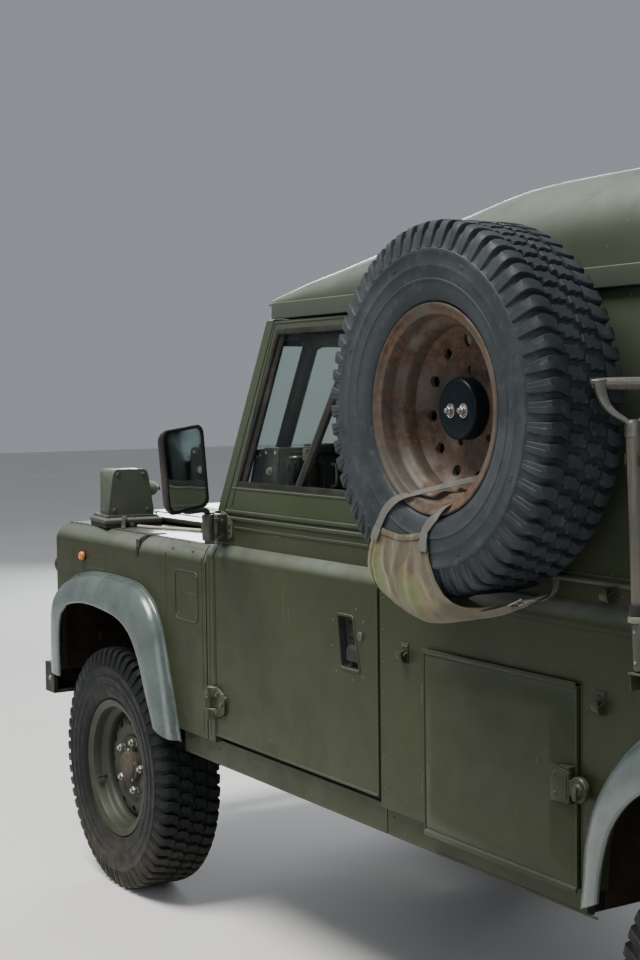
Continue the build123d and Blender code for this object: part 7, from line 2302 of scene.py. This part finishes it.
def liner(bm, pts, y0, y1, t=2.5):
    P_ = catmull([(x, 0, z) for x, z in pts], 5)
    rows, inn = [], []
    ys = [y0 + (y1 - y0) * k / 14 for k in range(15)]
    for i, p in enumerate(P_):
        a, b = P_[max(i - 1, 0)], P_[min(i + 1, len(P_) - 1)]
        d = (b - a).normalized()
        nx, nz = d.z, -d.x
        row, row2 = [], []
        for k, y in enumerate(ys):
            w = 2.4 * noise.noise(Vector((p.x * 0.013, y * 0.017, p.z * 0.013))) - (1.6 if k in (4, 9) else 0)
            row.append((p.x - nx * w, y, p.z - nz * w))
            row2.append((p.x - nx * (w - t), y, p.z - nz * (w - t)))
        rows.append(row)
        inn.append(row2)
    shell(bm, rows, inn, mat=0)


for side in ("left", "right"):
    bm = new()
    liner(bm, LIN_F, 458.0, 812.5)
    # stiffening flange and clods of dirt
    P_ = catmull([(x, 812, z) for x, z in LIN_F], 5)
    sweep(bm, P_, rrect(7, 5, 1.2, 2), up=(0, 1, 0), mat=0)
    R_ = random.Random(11)
    for k in range(150):
        i = R_.randrange(2, len(P_) - 2)
        p, d = P_[i], (P_[i + 1] - P_[i - 1]).normalized()
        nx, nz = d.z, -d.x
        y = R_.uniform(470, 800)
        r_ = R_.uniform(4, 17)
        T = Matrix.Translation((p.x - nx * 1.0, y, p.z - nz * 1.0)) @ frame_for((nx, 0, nz) if (nx * (FX - p.x) + nz * (TR - p.z)) > 0 else (-nx, 0, -nz))
        lathe(bm, [(r_, -2), (r_ * 0.9, 1.2), (r_ * 0.55, r_ * 0.32), (0, r_ * 0.42)], T, 7, mat=0, start=R_.random() * 3)
    if side == "right":
        mirrored(bm)
    commit(bm, "arch_liner_front_" + side, "body", ["mud"], angle=50)
    bm = new()
    up_ = [(a, b) for a, b, c, d in FLARE_R]
    ins = []
    for i, (x, z) in enumerate(up_):
        (xa, za), (xb, zb) = up_[max(i - 1, 0)], up_[min(i + 1, len(up_) - 1)]
        n_ = math.hypot(xb - xa, zb - za)
        ins.append((x - 22 * (zb - za) / n_, min(994.0, z + 22 * (xb - xa) / n_)))
    liner(bm, ins, 478.0, 812.5)
    if side == "right":
        mirrored(bm)
    commit(bm, "arch_liner_rear_" + side, "body", ["mud"], angle=50)

# ---------------------------------------------------------------------------
# CAD nodes that stay: finish and softened edges
# ---------------------------------------------------------------------------
KEEP = {  # node: material, edge radius in mm
    "chassis_frame": ("black", 3.0), "front_bumper": ("black", 4.0), "tow_hitch": ("black", 3.0),
    "front_axle": ("grime", 3.0), "rear_axle": ("grime", 3.0), "suspension": ("grime", 1.5),
    "transmission": ("engine", 8.0), "engine_block": ("engine", 8.0), "fuel_tank": ("black", 12.0),
    "exhaust": ("pipe", 3.0), "bulkhead": ("paint", 2.5), "front_wings": ("paint", 3.0),
    "front_panel": ("paint", 1.5), "lamps": ("white", 2.0), "cab_floor": ("plastic", 2.0),
    "sills": ("paint", 2.5), "windscreen_frame": ("paint", 3.0), "windscreen_glass": ("glass", 0.0),
    "dashboard": ("plastic", 10.0), "steering_wheel": ("plastic", 2.0), "seats": ("cloth", 20.0),
    "roll_cage": ("plastic", 1.0), "body_tub": ("paint", 2.5), "wheel_arch_flares": ("flare", 1.0),
    "hard_top_walls": ("paint", 3.0), "roof": ("roof", 1.5), "spare_rim": ("rust", 1.0),
    "spare_tyre": ("spare", 2.0), "spare_carrier": ("paint", 1.5), "spare_sling": ("canvas", 1.0),
    "stowed_tool": ("wood", 2.0), "antenna_box": ("paint", 2.0), "bonnet": ("paint", 3.0),
    "door_left": ("paint", 2.5), "door_right": ("paint", 2.5),
    "door_glass_left": ("glass", 0.0), "door_glass_right": ("glass", 0.0),
    "mirror_left": ("plastic", 4.0), "mirror_right": ("plastic", 4.0),
    "locker_door_left": ("paint", 1.5), "locker_door_right": ("paint", 1.5),
    "rear_door": ("paint", 3.0), "rear_glass": ("glass", 0.0),
    "knuckle_left": ("grime", 2.0), "knuckle_right": ("grime", 2.0),
}
for w in ("front_left", "front_right", "rear_left", "rear_right"):
    KEEP["rim_" + w] = ("rim", 1.0)
    KEEP["tyre_" + w] = ("tyre", 2.0)

for name, ob in NODES.items():
    if ob.hide_render:
        continue
    key, r = KEEP[name]
    if not ob.data.materials:
        ob.data.materials.append(None)
    for i in range(len(ob.data.materials)):
        ob.data.materials[i] = M[key]
    if r > 0:
        weld = ob.modifiers.new("weld", "WELD")
        weld.merge_threshold = 0.00002
        flat = ob.modifiers.new("flat", "DECIMATE")
        flat.decimate_type = "DISSOLVE"
        flat.angle_limit = math.radians(1.0)
        bev = ob.modifiers.new("edge", "BEVEL")
        bev.width = r * MM
        bev.segments = 2
        bev.limit_method = "ANGLE"
        bev.angle_limit = math.radians(35.0)
        bev.use_clamp_overlap = True
        bev.miter_outer = "MITER_ARC"
        wn = ob.modifiers.new("shade", "WEIGHTED_NORMAL")
        wn.keep_sharp = False
        wn.weight = 80

# ---------------------------------------------------------------------------
# Floor and light
# ---------------------------------------------------------------------------
me = bpy.data.meshes.new("floor")
bm = bmesh.new()
bmesh.ops.create_grid(bm, x_segments=1, y_segments=1, size=40.0)
bm.to_mesh(me)
bm.free()
floor = bpy.data.objects.new("floor", me)
bpy.context.scene.collection.objects.link(floor)
n = Net("pale_floor")
n.principled(n.mix(n.ramp(n.noise(0.8, 3.0, 0.5), 0.3, 0.7), (0.66, 0.655, 0.64), (0.70, 0.695, 0.68)), 0.85)
me.materials.append(n.mat)

world = bpy.data.worlds.new("studio")
bpy.context.scene.world = world
world.use_nodes = True
bg = world.node_tree.nodes["Background"]
bg.inputs[0].default_value = (0.82, 0.88, 0.96, 1.0)
bg.inputs[1].default_value = 0.34


def area(name, loc, to, size, power, col=(1, 1, 1)):
    L = bpy.data.lights.new(name, "AREA")
    L.shape = "RECTANGLE"
    L.size, L.size_y = size
    L.energy = power
    L.color = col
    o = bpy.data.objects.new(name, L)
    bpy.context.scene.collection.objects.link(o)
    o.location = loc
    o.rotation_euler = (Vector(to) - Vector(loc)).to_track_quat("-Z", "Y").to_euler()
    return o


area("key", (1.2, 3.8, 8.2), (0.2, 0.6, 0.9), (3.5, 3.5), 1180.0, (1.0, 0.97, 0.91))
area("fill", (-6.5, 5.5, 3.6), (-0.3, 0.8, 1.0), (5.0, 4.0), 150.0, (0.92, 0.96, 1.0))
back = area("back", (8.0, -6.0, 3.4), (-0.2, 0.2, 1.2), (7.0, 3.4), 760.0, (0.93, 0.97, 1.0))
back.visible_camera = False
back.visible_transmission = False
